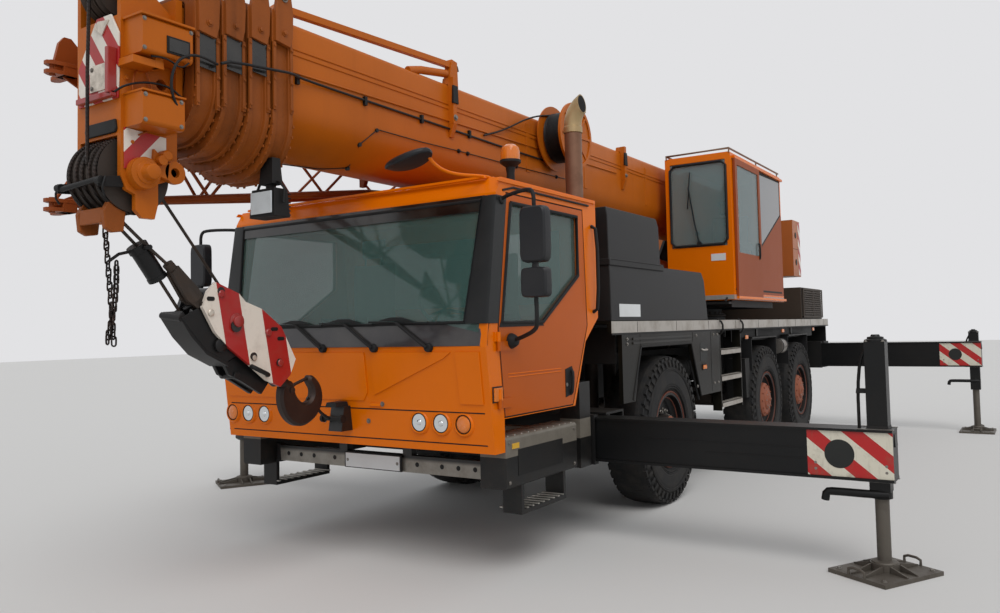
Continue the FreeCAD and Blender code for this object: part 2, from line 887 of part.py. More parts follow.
def make_foot(label, x, y, jack_top, foot_turn):
    long_half = s.foot_long / 2
    wide_half = s.foot_wide / 2
    plate = doc.addObject("Part::Box", label + "_plate")
    bind(plate, "Length", s.foot_wide)
    bind(plate, "Width", s.foot_long)
    bind(plate, "Height", s.foot_thick)
    turn = Rotation(Vector(0, 0, 1), foot_turn.value)
    corner = turn.multVec(Vector(-wide_half.value, -long_half.value, 0))
    plate.Placement = Placement(Vector(), turn)
    place(plate, x + corner.x, y + corner.y, 0)
    boss = rod(label + "_boss", "z", s.foot_boss_radius, (x, y, 0), s.foot_boss_top)
    stem = rod(label + "_stem", "z", s.rod_radius, (x, y, s.foot_thick),
               jack_top - s.jack_cap - s.jack_down - s.foot_thick - 20)
    node("jack_foot_" + label, fuse("jack_foot_" + label, [plate, boss, stem]))


CAB_SIDE = [
    (s.cab_step_front, s.cab_sill), (s.cab_step_front, s.cab_chin_low), (s.cab_chin, s.cab_chin_low),
    (s.cab_front, s.cab_waist), (s.cab_glass_top_y, s.cab_glass_top), (s.cab_glass_top_y + 60, s.cab_roof),
    (s.cab_rear, s.cab_roof), (s.cab_rear, s.cab_waist + 180), (s.cab_rear - 215, s.cab_waist),
    (s.door_rear_low + 32, s.cab_sill),
]
DOOR = [
    (s.door_front_low, s.cab_sill + 10), (s.door_front_waist, s.door_waist),
    (s.door_front_top, s.door_top),
    (s.door_rear_top, s.door_top), (s.door_rear_waist, s.door_waist), (s.door_rear_low, s.cab_sill + 10),
]
DOOR_WINDOW = [
    (s.door_front_top + s.glass_post, s.door_top - s.glass_head),
    (s.door_rear_top - 2 * s.glass_post, s.door_top - s.glass_head),
    (s.door_rear_top - 2 * s.glass_post, s.glass_low + 340),
    (s.door_rear_low - 400, s.glass_low), (s.door_front_waist + s.glass_post, s.glass_low),
]


def cab_face_y(z):
    """Where the cab's front panel stands at a height."""
    return s.cab_chin + (s.cab_front - s.cab_chin) * (z - s.cab_chin_low) / (s.cab_waist - s.cab_chin_low)


def grown(outline, amount):
    """The same corners moved away from the outline's middle."""
    count = len(outline)
    mid_y = sum(as_size(y).value for y, z in outline) / count
    mid_z = sum(as_size(z).value for y, z in outline) / count
    out = []
    for y, z in outline:
        far_y = 1 if as_size(y).value > mid_y else -1
        far_z = 1 if as_size(z).value > mid_z else -1
        out.append((as_size(y) + far_y * amount, as_size(z) + far_z * amount))
    return out


hinge_x = s.cab_half + s.hinge_radius + s.slide_gap
hinge_y = s.door_front_waist - s.hinge_radius


def hinge_leaves(name, side, reach_y, level):
    """Two hinge barrels on a door's upright axis, each with its leaf."""
    pieces = []
    for base in (s.hinge_low_z, s.hinge_high_z):
        low = base + level * (s.hinge_long + s.slide_gap)
        z = (low, low + s.hinge_long)
        pieces.append(rod(name + "_barrel", "z", s.hinge_radius, (side * hinge_x, hinge_y, low),
                          s.hinge_long))
        y = (hinge_y, reach_y) if level == 0 else (hinge_y - 34, hinge_y)
        pieces.append(box(name + "_leaf", span(side, s.cab_half + s.slide_gap, s.cab_half + 9), y, z))
        foot_y = (reach_y - 45, reach_y) if level == 0 else (hinge_y - 34, hinge_y - 8)
        pieces.append(box(name + "_leaf_foot", span(side, s.cab_half - 3, s.cab_half + 9), foot_y, z))
    return pieces


def make_cab():
    """Full width driver's cab: a hollow shell with door, screen and rear openings."""
    shell = pad("cab_outer", "YZ", CAB_SIDE, -s.cab_half, s.cab_half)
    wall = s.cab_wall
    hollow = [
        (s.cab_step_front + 10, s.cab_sill + wall), (s.cab_chin + wall, s.cab_sill + wall),
        (s.cab_front + wall, s.cab_waist), (s.cab_glass_top_y + wall, s.cab_glass_top - 10),
        (s.cab_glass_top_y + wall + 50, s.cab_roof - wall), (s.cab_rear - wall, s.cab_roof - wall),
        (s.cab_rear - wall, s.cab_waist + 200), (s.cab_rear - 215 - wall, s.cab_waist + 20),
        (s.door_rear_low - 10, s.cab_sill + wall),
    ]
    inside = pad("cab_inside", "YZ", hollow, -s.cab_half + wall, s.cab_half - wall)
    openings = []
    for side_name, side in SIDES:
        x = span(side, s.cab_half - wall - 1, s.cab_half + 10)
        openings.append(pad("cab_door_opening_" + side_name, "YZ", grown(DOOR, s.door_gap), x[0], x[1]))
    screen = [
        (s.cab_front - 60, s.screen_low), (s.cab_front + 160, s.screen_low),
        (s.cab_glass_top_y + 160, s.cab_glass_top - 40), (s.cab_glass_top_y - 60, s.cab_glass_top - 40),
    ]
    side_in = s.cab_half - s.screen_margin
    screen_hole = pad("cab_screen_opening", "YZ", screen, -side_in, side_in)
    rear_hole = box("cab_rear_opening", (-950, 950), (s.cab_rear - wall - 30, s.cab_rear + 10),
                    (1800, 2380))
    leaves = []
    for side_name, side in SIDES:
        leaves += hinge_leaves("cab", side, hinge_y, 1)
    body = cut("cab_body", shell, [inside, screen_hole, rear_hole] + openings)
    node("driver_cab", fuse("driver_cab", [body] + leaves))
    pane = s.pane
    slope = [
        (s.cab_front + 6, s.screen_low), (s.cab_front + 6 + pane, s.screen_low),
        (s.cab_glass_top_y + pane, s.cab_glass_top - 40), (s.cab_glass_top_y, s.cab_glass_top - 40),
    ]
    front_pane = pad("cab_screen_pane", "YZ", slope, -side_in, side_in)
    rear_pane = box("cab_rear_pane", (-950, 950), (s.cab_rear - 20, s.cab_rear - 20 + pane), (1800, 2380))
    node("driver_cab_glass", group("driver_cab_glass", [front_pane, rear_pane]))
    for side_name, side in SIDES:
        x = span(side, s.cab_half - wall, s.cab_half)
        panel = pad("door_" + side_name + "_panel", "YZ", DOOR, x[0], x[1])
        window = pad("door_" + side_name + "_window", "YZ", DOOR_WINDOW,
                     x[0] - 5, x[1] + 5)
        leaves = hinge_leaves("door", side, s.door_front_low + 70, 0)
        node("door_" + side_name, fuse("door_" + side_name,
                                       [cut("door_skin_" + side_name, panel, [window])] + leaves))
        glass_x = span(side, s.cab_half - wall / 2 - pane / 2, s.cab_half - wall / 2 + pane / 2)
        node("door_glass_" + side_name, pad("door_glass_" + side_name, "YZ", DOOR_WINDOW, glass_x[0],
                                            glass_x[1]))
    floor = s.cab_sill + wall
    seats = [box("dash", (-s.cab_half + s.cab_wall + 0.3, s.cab_half - s.cab_wall - 0.3),
                 (s.cab_front + 110, s.cab_front + 400), (1250, 1560)),
             box("dash_foot", (-200, 200), (s.cab_front + 200, s.cab_front + 380), (floor, 1250))]
    for x in (-680, 560):
        seats.append(box("seat", (x - 240, x + 240), (-1000, -500), (1480, 1600)))
        seats.append(box("seat_foot", (x - 150, x + 150), (-900, -600), (floor, 1480)))
        seats.append(box("seat_back", (x - 230, x + 230), (-600, -470), (1600, 2250)))
    node("cab_interior", group("cab_interior", [fuse("dash_all", seats[:2]), fuse("seat_one", seats[2:5]),
                                                fuse("seat_two", seats[5:])]))
    bar_y = (s.frame_front, s.frame_front + s.bumper_thick)
    bumper = [
        box("bumper_bar", (-s.bumper_half, s.bumper_half), bar_y,
            (s.bumper_low, s.bumper_low + s.bumper_high)),
        box("bumper_plate", (-s.plate_half, s.plate_half), (s.frame_front - 12, s.frame_front + 2),
            (s.bumper_low + 5, s.bumper_low + s.bumper_high)),
    ]
    for side_name, side in SIDES:
        bumper.append(box("bumper_drop_" + side_name, span(side, s.bumper_drop_x, s.bumper_drop_x + 80),
                          bar_y,
                          (s.bumper_low + 10, s.nose_frame_low - s.slide_gap)))
    low, high = s.bracket_low, s.bracket_low + s.bracket_high
    bracket = pad("tow_bracket", "YZ", [(cab_face_y(low) - 110, low), (cab_face_y(low) - s.slide_gap, low),
                                        (cab_face_y(high) - s.slide_gap, high), (cab_face_y(high) - 60,
                                                high)],
                  -s.bracket_half, s.bracket_half)
    node("front_bumper", group("front_bumper", [fuse("bumper_all", bumper), bracket]))


def make_deck_boxes():
    """Black boxes behind the cab, the louvred box at the rear, the engine and the exhaust."""
    pieces = [
        box("high_box", (s.box_inner_x, s.body_half), (s.box_front, s.high_box_rear),
            (s.deck_top, s.high_box_top)),
        box("low_box", (s.box_inner_x, s.body_half), (s.box_front, s.low_box_rear),
            (s.deck_top, s.low_box_top)),
    ]
    right = box("right_box", (-s.body_half, -s.box_inner_x), (s.box_front, s.low_box_rear),
                (s.deck_top, s.low_box_top))
    rear = box("louvre_box", (s.box_inner_x, s.body_half - 40), (s.rear_box_front, s.rear_box_rear),
               (s.deck_top, s.rear_box_top))
    node("deck_boxes", group("deck_boxes", [fuse("left_boxes", pieces), right, rear]))
    node("engine_block", box("engine_block", (-300, 300), (s.deck_front + 300, s.low_box_rear - 300),
                             (s.deck_top, s.low_box_top - 60)))
    stack = [
        rod("stack", "z", s.exhaust_radius, (s.exhaust_x, s.exhaust_y, s.deck_top),
            s.exhaust_top - s.deck_top),
    ]
    node("exhaust_stack", fuse("exhaust_stack", stack + [rod("stack_tip", "z", s.exhaust_radius - 10,
         (s.exhaust_x, s.exhaust_y, s.exhaust_top - 20), 120)]))


def make_superstructure():
    """Turning frame with cheek plates, tail weight, winch and operator's cab."""
    turn_half = s.op_inner_x - s.slide_gap
    pieces = [
        rod("turn_ring", "z", s.ring_radius - 40, (0, s.slew_y, s.ring_top + s.ring_gap),
            s.turn_low - s.ring_top),
        box("turn_plate", (-turn_half, turn_half), (s.slew_y - 900, s.pivot_y + 200),
            (s.turn_low, s.turn_top)),
        box("cab_arm", (turn_half - 10, s.op_outer_x - 100), (s.op_front + 200, s.op_rear - 200),
            (s.turn_low - 40, s.op_low)),
    ]
    cheek = [
        (s.cheek_front, s.turn_top), (s.cheek_front + 300, s.turn_top + 260),
        (s.pivot_y - 420, s.pivot_z + 60),
        (s.pivot_y - 150, s.pivot_z + 170), (s.pivot_y + 150, s.pivot_z + 170),
        (s.pivot_y + 280, s.pivot_z),
        (s.tail_front + 60, s.tail_low + 300), (s.tail_front + 60, s.tail_low),
        (s.pivot_y + 330, s.tail_low - 90), (s.pivot_y + 200, s.turn_top),
    ]
    for side_name, side in SIDES:
        x = span(side, s.cheek_x, s.cheek_x + s.cheek_thick)
        pieces.append(pad("cheek_" + side_name, "YZ", cheek, x[0], x[1]))
        pieces.append(box("foot_ear_" + side_name, span(side, s.barrel_radius + 12, s.barrel_radius + 52),
                          (s.foot_pin_y - 150, s.foot_pin_y + 150), (s.turn_top, s.foot_pin_z + 110)))
    reach = s.cheek_x + s.cheek_thick
    pieces.append(rod("boom_pin", "x", s.pivot_radius, (-reach - 20, s.pivot_y, s.pivot_z),
                      (reach + 20) * 2))
    pieces.append(rod("lift_foot_pin", "x", 55, (-s.barrel_radius - 52, s.foot_pin_y, s.foot_pin_z),
                      (s.barrel_radius + 52) * 2))
    node("turning_frame", fuse("turning_frame", pieces))
    weight = box("weight_block", (-s.tail_half, s.tail_half), (s.tail_front, s.tail_rear),
                 (s.tail_low, s.tail_top))
    bay = box("weight_bay", (-s.tail_bay_half, s.tail_bay_half), (s.tail_front - 10, s.tail_rear + 10),
              (s.drum_z - s.drum_flange - 40, s.tail_top + 10))
    slots = [box("weight_slot_" + side_name, span(side, s.cheek_x - 0.3, s.cheek_x + s.cheek_thick + 0.3),
                 (s.tail_front - 10, s.tail_front + 60 + s.slide_gap), (s.tail_low - 10, s.tail_low + 420))
             for side_name, side in SIDES]
    node("counterweight", cut("counterweight", weight, [bay] + slots))
    drum = [
        rod("drum_barrel", "x", s.drum_radius, (-s.drum_half, s.drum_y, s.drum_z), s.drum_half * 2),
        rod("drum_flange_left", "x", s.drum_flange, (s.drum_half, s.drum_y, s.drum_z), 20),
        rod("drum_flange_right", "x", s.drum_flange, (-s.drum_half - 20, s.drum_y, s.drum_z), 20),
        rod("drum_axle", "x", 45, (-s.tail_bay_half + 0.3, s.drum_y, s.drum_z), s.tail_bay_half * 2 - 0.6),
    ]
    node("winch_drum", fuse("winch_drum", drum))
    wall = s.op_wall
    shell = box("op_outer", (s.op_inner_x, s.op_outer_x), (s.op_front, s.op_rear), (s.op_low, s.op_top))
    tools = [
        box("op_inside", (s.op_inner_x + wall, s.op_outer_x - wall), (s.op_front + wall, s.op_rear - wall),
            (s.op_low + wall, s.op_top - wall)),
        box("op_front_hole", (s.op_inner_x + 60, s.op_outer_x - 60),
            (s.op_front - 10, s.op_front + wall + 10),
            (s.op_front_sill, s.op_top - 70)),
        box("op_door_hole", (s.op_outer_x - wall - 10, s.op_outer_x + 10),
            (s.op_door_front + 20, s.op_door_rear - 20), (s.op_low + 60, s.op_top - 80)),
        box("op_side_hole", (s.op_outer_x - wall - 10, s.op_outer_x + 10), (s.op_door_rear + 80,
                s.op_rear - 120),
            (s.op_side_sill, s.op_top - 80)),
    ]
    rails = []
    for name, low, high in (("low", s.op_low + 10, s.op_low + 40 - s.slide_gap),
                            ("high", s.op_top - 60 + s.slide_gap, s.op_top - 30)):
        rails.append(box("op_rail_" + name, (s.op_outer_x - 2,
                                             s.op_outer_x + s.door_gap + s.op_door_thick),
                         (s.op_door_front, s.op_rear), (low, high)))
    node("operator_cab", fuse("operator_cab", [cut("op_shell", shell, tools)] + rails))
    panes = [
        box("op_front_pane", (s.op_inner_x + 60, s.op_outer_x - 60),
            (s.op_front + 12, s.op_front + 12 + s.pane), (s.op_front_sill, s.op_top - 70)),
        box("op_side_pane", (s.op_outer_x - 24, s.op_outer_x - 24 + s.pane), (s.op_door_rear + 80,
                s.op_rear - 120),
            (s.op_side_sill, s.op_top - 80)),
    ]
    node("operator_cab_glass", group("operator_cab_glass", panes))
    x0 = s.op_outer_x + s.door_gap
    x1 = x0 + s.op_door_thick
    door = box("op_door_panel", (x0, x1), (s.op_door_front, s.op_door_rear),
               (s.op_low + 40, s.op_top - 60))
    hole = box("op_door_window", (x0 - 5, x1 + 5), (s.op_door_front + 70, s.op_door_rear - 70),
               (s.op_door_sill, s.op_top - 130))
    node("operator_door", cut("operator_door", door, [hole]))
    node("operator_door_glass", box("operator_door_glass", (x0 + 10, x0 + 10 + s.pane),
                                    (s.op_door_front + 70, s.op_door_rear - 70),
                                    (s.op_door_sill, s.op_top - 130)))
    mid_x = (s.op_inner_x + s.op_outer_x) / 2
    node("operator_seat", fuse("operator_seat", [
        box("op_seat_foot", (mid_x - s.seat_foot_half, mid_x + s.seat_foot_half),
            (s.seat_front + 150, s.seat_front + s.seat_deep - 70), (s.op_low + wall, s.seat_level)),
        box("op_seat_cushion", (mid_x - s.seat_half, mid_x + s.seat_half),
            (s.seat_front, s.seat_front + s.seat_deep),
            (s.seat_level, s.seat_level + s.seat_thick)),
        box("op_seat_back", (mid_x - s.seat_half + 10, mid_x + s.seat_half - 10),
            (s.seat_front + s.seat_deep - 120, s.seat_front + s.seat_deep + 10),
            (s.seat_level + s.seat_thick, s.seat_level + s.seat_thick + s.seat_back_high)),
    ]))


def u_block(name, half, top, low, front, rear):
    """A beam with a flat top and a rounded underside."""
    outline = [(-half, top), (half, top), (half, low), (-half, low)]
    return pad(name, "XZ", outline, front, rear, [(half * 0.86, [2, 3]), (half * 0.1, [0, 1])])


def section_size(index):
    """Half width, top and underside of a section's tube, the base being 0."""
    inset = index * s.boom_step
    return s.boom_half - inset, s.boom_top - inset, s.boom_low + inset


def make_boom():
    """Base section and four telescopes, each with its front collar."""
    for index in range(5):
        half, top, low = section_size(index)
        back = s.boom_front - index * (s.collar_long + s.collar_gap)
        last = index == 4
        front = back - (s.head_back_thick if last else s.collar_long)
        name = "boom_base" if index == 0 else "boom_section_" + str(index)
        rear = s.boom_rear if index == 0 else s.section_rear + (4 - index) * s.section_rear_step
        pieces = [u_block(name + "_tube", half, top, low, front, rear)]
        if not last:
            ring_half = half + s.collar_side + index * (s.boom_step - s.collar_step)
            ring_top = top + s.collar_top
            pieces.append(u_block(name + "_collar", ring_half, ring_top,
                                  low - s.collar_low + index * s.boom_step, front, back))
            pieces += collar_ears(name, ring_half, ring_top, front, back)
        hollow = [u_block(name + "_inside", half - s.boom_wall, top - s.boom_wall, low + s.boom_wall,
                          front - 5, rear + 5)]
        inner = []
        if index == 0:
            pieces += base_ears()
            hollow.append(rod("boom_pin_hole", "x", s.pivot_radius + s.spindle_gap,
                              (-s.cheek_x, s.pivot_y, s.pivot_z), s.cheek_x * 2))
            for side_name, side in SIDES:
                stub_x = span(side, s.lift_rod_radius + 22, s.lift_rod_radius + 66)
                inner.append(rod("eye_pin_" + side_name, "x", s.eye_pin_radius,
                                 (stub_x[0], s.eye_pin_y, s.eye_pin_z), 44))
            inner += base_fittings()
        else:
            pieces += slide_pads(name, half, top, rear)
        if last:
            inner += nose_pieces(front, back)
        shell = cut(name + "_shell", fuse(name + "_solid", pieces), hollow)
        node(name, fuse(name, [shell] + inner) if inner else shell)


def collar_ears(name, ring_half, ring_top, front, back):
    """Upright plates on a collar's sides that carry the jib and the hoses."""
    ears = []
    outline = [
        (front + 10, ring_top - 210), (back - 10, ring_top - 210),
        (back - 10, ring_top + s.ear_height - 25),
        (back - 35, ring_top + s.ear_height), (front + 35, ring_top + s.ear_height),
        (front + 10, ring_top + s.ear_height - 25),
    ]
    for side_name, side in SIDES:
        x = span(side, ring_half - 8, ring_half - 8 + s.ear_thick)
        ears.append(pad(name + "_ear_" + side_name, "YZ", outline, x[0], x[1]))
    return ears


def slide_pads(name, half, top, rear):
    """Wear pads at a section's rear end that run inside the section around it."""
    gap = s.boom_step - s.boom_wall - s.slide_gap
    pad_y = (rear - 160, rear - 20)
    pads = [box(name + "_top_pad", (-half * 0.7, half * 0.7), pad_y, (top - 2, top + gap))]
    for side_name, side in SIDES:
        pads.append(box(name + "_" + side_name + "_pad", span(side, half - 2, half + gap), pad_y,
                        (top - 260, top - 120)))
    return pads


def base_ears():
    """The base section's pivot bosses, and the lift cylinder's ears below it."""
    pieces = []
    for side_name, side in SIDES:
        pieces.append(box("base_boss_" + side_name, span(side, s.boom_half - 30, s.cheek_x - 6),
                          (s.pivot_y - 160, s.pivot_y + 160), (s.pivot_z - 160, s.pivot_z + 160)))
        ear_x = span(side, s.lift_rod_radius + 30, s.lift_rod_radius + 66)
        pieces.append(pad("eye_ear_" + side_name, "YZ",
                          [(s.eye_pin_y - 420, s.boom_low + 60), (s.eye_pin_y + 420, s.boom_low + 60),
                           (s.eye_pin_y + 90, s.eye_pin_z - 90), (s.eye_pin_y - 90, s.eye_pin_z - 90)],
                          ear_x[0], ear_x[1]))
    return pieces


def base_fittings():
    """The grab bar on the base section's top and the brackets on its left side."""
    half = s.top_bar_square / 2
    bar_x = (s.top_bar_x - half, s.top_bar_x + half)
    pieces = [box("top_bar", bar_x, (s.top_bar_front, s.top_bar_rear),
                  (s.top_bar_z - half, s.top_bar_z + half))]
    for number, y in enumerate((s.top_bar_front, (s.top_bar_front + s.top_bar_rear) / 2,
                                s.top_bar_rear - 60)):
        pieces.append(box("top_bar_foot_" + str(number), bar_x, (y, y + 60),
                          (s.boom_top - 2, s.top_bar_z)))
    for number, y in enumerate((s.side_bracket_y, s.rear_bracket_y)):
        pieces.append(box("side_fin_" + str(number), (s.boom_half - 4, s.boom_half + s.fin_out),
                          (y, y + s.fin_thick),
                          (s.boom_top - s.fin_high, s.boom_top + s.fin_above)))
        pieces.append(box("side_fin_cap_" + str(number), (s.boom_half - 60, s.boom_half + s.fin_out),
                          (y, y + s.fin_thick), (s.boom_top - 4, s.boom_top + s.fin_above)))
    return pieces


def nose_pieces(front, back):
    """Side plates, face, pins and boxes of the boom's head."""
    face = s.nose_front
    foot = s.nose_low
    inner_x = s.nose_half - s.nose_plate
    pieces = [
        box("nose_back", (-s.nose_back_half, s.nose_back_half), (front, back),
            (s.boom_low + 20, s.boom_top - 80)),
        box("nose_face", (-inner_x - 2, inner_x + 2), (face, face + s.nose_face_thick),
            (s.nose_face_low, s.nose_face_top)),
    ]
    outline = [
        (back - 3, foot + 370), (back - 3, s.nose_top - 240), (back - 120, s.nose_top - 150),
        (back - 190, s.nose_top),
        (face, s.nose_top), (face, foot + 210), (face + 30, foot + 140), (face + 80, foot + 120),
        (face + 80, foot + 40),
        (face + 120, foot), (face + 190, foot), (face + 210, foot + 80), (face + 210, foot + 190),
        (back - 42, foot + 220), (back - 3, foot + 260), (back - 3, foot + 325),
    ]
    for side_name, side in SIDES:
        x = span(side, inner_x, s.nose_half)
        plate = pad("nose_plate_" + side_name, "YZ", outline, x[0], x[1])
        hole = rod("jib_hole_" + side_name, "x", s.jib_hole_radius, (x[0] - 5, s.jib_hole_y, s.jib_hole_z),
                   s.nose_plate + 10)
        pieces.append(cut("nose_cheek_" + side_name, plate, [hole]))
        boss_x = span(side, s.nose_half - 2, s.nose_half + s.nose_boss_out)
        pieces.append(rod("nose_boss_" + side_name, "x", s.nose_boss_radius,
                          (boss_x[0], s.low_sheave_y, s.low_sheave_z), s.nose_boss_out + 2))
    for name, y, z in (("low", s.low_sheave_y, s.low_sheave_z), ("top", s.top_sheave_y, s.top_sheave_z)):
        reach = s.nose_half + s.nose_boss_out + 15 if name == "low" else s.nose_half + 15
        pieces.append(rod("nose_pin_" + name, "x", s.nose_pin_radius, (-reach, y, z), reach * 2))
    side_x = (s.nose_half - 2, s.nose_half + s.side_box_out)
    for name, deep, low, high in (("upper", s.upper_box_deep, s.upper_box_low, s.upper_box_high),
                                  ("lower", s.lower_box_deep, s.lower_box_low, s.lower_box_high)):
        start = face + 20
        pieces.append(pad("nose_box_" + name, "XZ",
                          [(side_x[0], low), (side_x[1], low), (side_x[1], high), (side_x[0], high)],
                          start, start + deep, [(s.side_box_round, [1, 2])]))
    knob = (s.nose_half - 2, face + s.knob_in, s.nose_low + s.knob_up)
    pieces.append(rod("nose_knob", "x", s.knob_radius, knob, s.nose_boss_out + 20))
    return pieces


def sheave_profile(radius, pin):
    half = s.sheave_thick / 2
    return [
        (-half, pin + s.slide_gap), (-half, radius), (-half * 0.45, radius - s.sheave_groove),
        (half * 0.45, radius - s.sheave_groove), (half, radius), (half, pin + s.slide_gap),
    ]


def make_sheaves():
    """The boom head's sheaves: five below and three above."""
    sets = []
    for y, z, radius, places in ((s.low_sheave_y, s.low_sheave_z, s.sheave_radius, (-2, -1, 0, 1, 2)),
                                 (s.top_sheave_y, s.top_sheave_z, s.top_sheave_radius, (-1, 0, 1))):
        for number in places:
            sets.append(turned("sheave", sheave_profile(radius, s.nose_pin_radius),
                               (number * s.sheave_pitch, y, z)))
    node("boom_sheaves", group("boom_sheaves", sets))


def make_reel():
    """Cable reel on the boom's left side."""
    centre = (s.reel_inner_x, s.reel_y, s.reel_z)
    wide = s.reel_wide
    flange = s.reel_flange
    profile = [
        (0, s.reel_pin_radius + s.slide_gap), (0, s.reel_radius), (flange, s.reel_radius),
        (flange, s.reel_core),
        (wide - flange, s.reel_core), (wide - flange, s.reel_radius), (wide, s.reel_radius),
        (wide, s.reel_pin_radius + s.slide_gap),
    ]
    drum = turned("reel_drum", profile, centre)
    start = s.boom_half + s.slide_gap
    axle = rod("reel_axle", "x", s.reel_pin_radius, (start, s.reel_y, s.reel_z),
               s.reel_inner_x + wide + 20 - start)
    plate = box("reel_plate", (start, start + 24), (s.reel_y - 110, s.reel_y + 110),
                (s.reel_z - 140, s.boom_top - 40))
    node("cable_reel", group("cable_reel", [drum, fuse("reel_bracket", [axle, plate])]))


def make_jib():
    """Lattice jib stowed along the boom's right side, forks to the front."""
    inner, outer = s.jib_inner_x, s.jib_outer_x
    bays = [s.jib_front + 60 + number * s.jib_bay for number in range(14)]
    bays[-1] = s.jib_rear - 60

    def low_z(y):
        if as_size(y).value >= s.jib_bend.value:
            return s.jib_low
        share = (y - s.jib_front) / (s.jib_bend - s.jib_front)
        return s.jib_front_low + (s.jib_low - s.jib_front_low) * share

    bars = []
    for x in (inner, outer):
        corners = [point(x, s.jib_front, s.jib_front_low), point(x, s.jib_bend, s.jib_low),
                   point(x, s.jib_rear, s.jib_low), point(x, s.jib_rear, s.jib_top),
                   point(x, s.jib_front, s.jib_top),
                   point(x, s.jib_front, s.jib_front_low)]
        for number in range(5):
            bars.append(bar(corners[number], corners[number + 1], s.jib_chord))
        for corner in corners[:5]:
            bars.append(Part.makeSphere(s.jib_chord.value, corner))
        for number in range(13):
            ends = [(bays[number], low_z(bays[number])), (bays[number + 1], s.jib_top)]
            if number % 2:
                ends = [(bays[number], s.jib_top), (bays[number + 1], low_z(bays[number + 1]))]
            bars.append(bar(point(x, *ends[0]), point(x, *ends[1]), s.jib_lace))
    for y in bays:
        for z in (low_z(y), s.jib_top):
            bars.append(bar(point(inner, y, z), point(outer, y, z), s.jib_lace))
    frame = bars[0].multiFuse(bars[1:])
    plates = []
    for z in (s.jib_front_low, s.jib_top):
        corner = point(outer - 15, s.jib_front - 34, z) - Vector(0, 0, 45)
        plates.append(Part.makeBox(30, 130, 90, corner))
        corner = point(inner - 15, s.jib_front - 34, z) - Vector(0, 0, 45)
        plates.append(Part.makeBox(30, 130, 90, corner))
    lug = point(inner - 12, s.jib_front + 50, s.jib_top)
    plates.append(Part.makeBox(24, 90, s.jib_lug_high.value, lug))
    for y in (s.jib_plate_front, s.jib_plate_rear):
        corner = point(inner - 15, y, s.jib_low)
        high = (s.jib_top - s.jib_low).value
        reach = (-s.boom_half - s.slide_gap - inner + 15).value
        plates.append(Part.makeBox(reach, 40, high, corner))
    node("jib", solid("jib", frame.multiFuse(plates).removeSplitter()))


def make_lift():
    """Lift cylinder: barrel on the turning frame, rod below the boom."""
    foot = point(0, s.foot_pin_y, s.foot_pin_z)
    eye = point(0, s.eye_pin_y, s.eye_pin_z)
    line = (eye - foot).normalize()
    start = foot + line * 90
    barrel = Part.makeCylinder(s.barrel_radius.value, s.barrel_long.value - 90, start, line)
    inner = Part.makeCylinder(s.lift_rod_radius.value + 0.3, s.barrel_long.value, start + line * 60, line)
    clevis = Part.makeCylinder(110, (s.barrel_radius.value + 8) * 2,
                               foot - Vector(s.barrel_radius.value + 8, 0, 0),
                               Vector(1, 0, 0))
    hole = Part.makeCylinder(s.foot_pin_radius.value + 0.3, 600, foot - Vector(300, 0, 0), Vector(1, 0, 0))
    body = barrel.cut(inner).fuse(clevis).cut(hole)
    node("lift_barrel", solid("lift_barrel", body))
    rod_start = start + line * 90
    stem = Part.makeCylinder(s.lift_rod_radius.value, (eye - rod_start).Length - 60, rod_start, line)
    eye_ring = Part.makeCylinder(95, 2 * s.lift_rod_radius.value + 40,
                                 eye - Vector(s.lift_rod_radius.value + 20, 0, 0), Vector(1, 0, 0))
    node("lift_rod", solid("lift_rod", stem.fuse(eye_ring)))


# Outlines in the hanging block's own plane: forward of its middle line, and down it
BLOCK_CHEEK = [
    (67, -746), (122, -911), (115, -976), (160, -1094), (173, -1282), (88, -1501), (-17, -1530),
    (-120, -1512),
    (-152, -1403), (-157, -1242), (-170, -1045), (-160, -926), (-103, -771), (-9, -739),
]
HOOK_EDGE = [
    (-79, -1600), (-130, -1635), (-178, -1700), (-198, -1790), (-172, -1880), (-90, -1942), (5, -1958),
    (90, -1925),
    (140, -1860), (152, -1795), (133, -1742), (104, -1748), (84, -1800), (50, -1838), (0, -1842),
    (-36, -1812),
    (-42, -1760), (-18, -1700), (12, -1650), (-10, -1606),
]
ROPES = (
    # across, head end and block end (forward of the pin's middle line, down it)
    (1, ((-193.5, 0), (-193.5, -330))),
    (0, ((-193.5, 0), (-205, -330), (-252, -512), (-367.9, -965.7))),
    (-1, ((189.4, -39.5), (-20.2, -1046.4))),
)


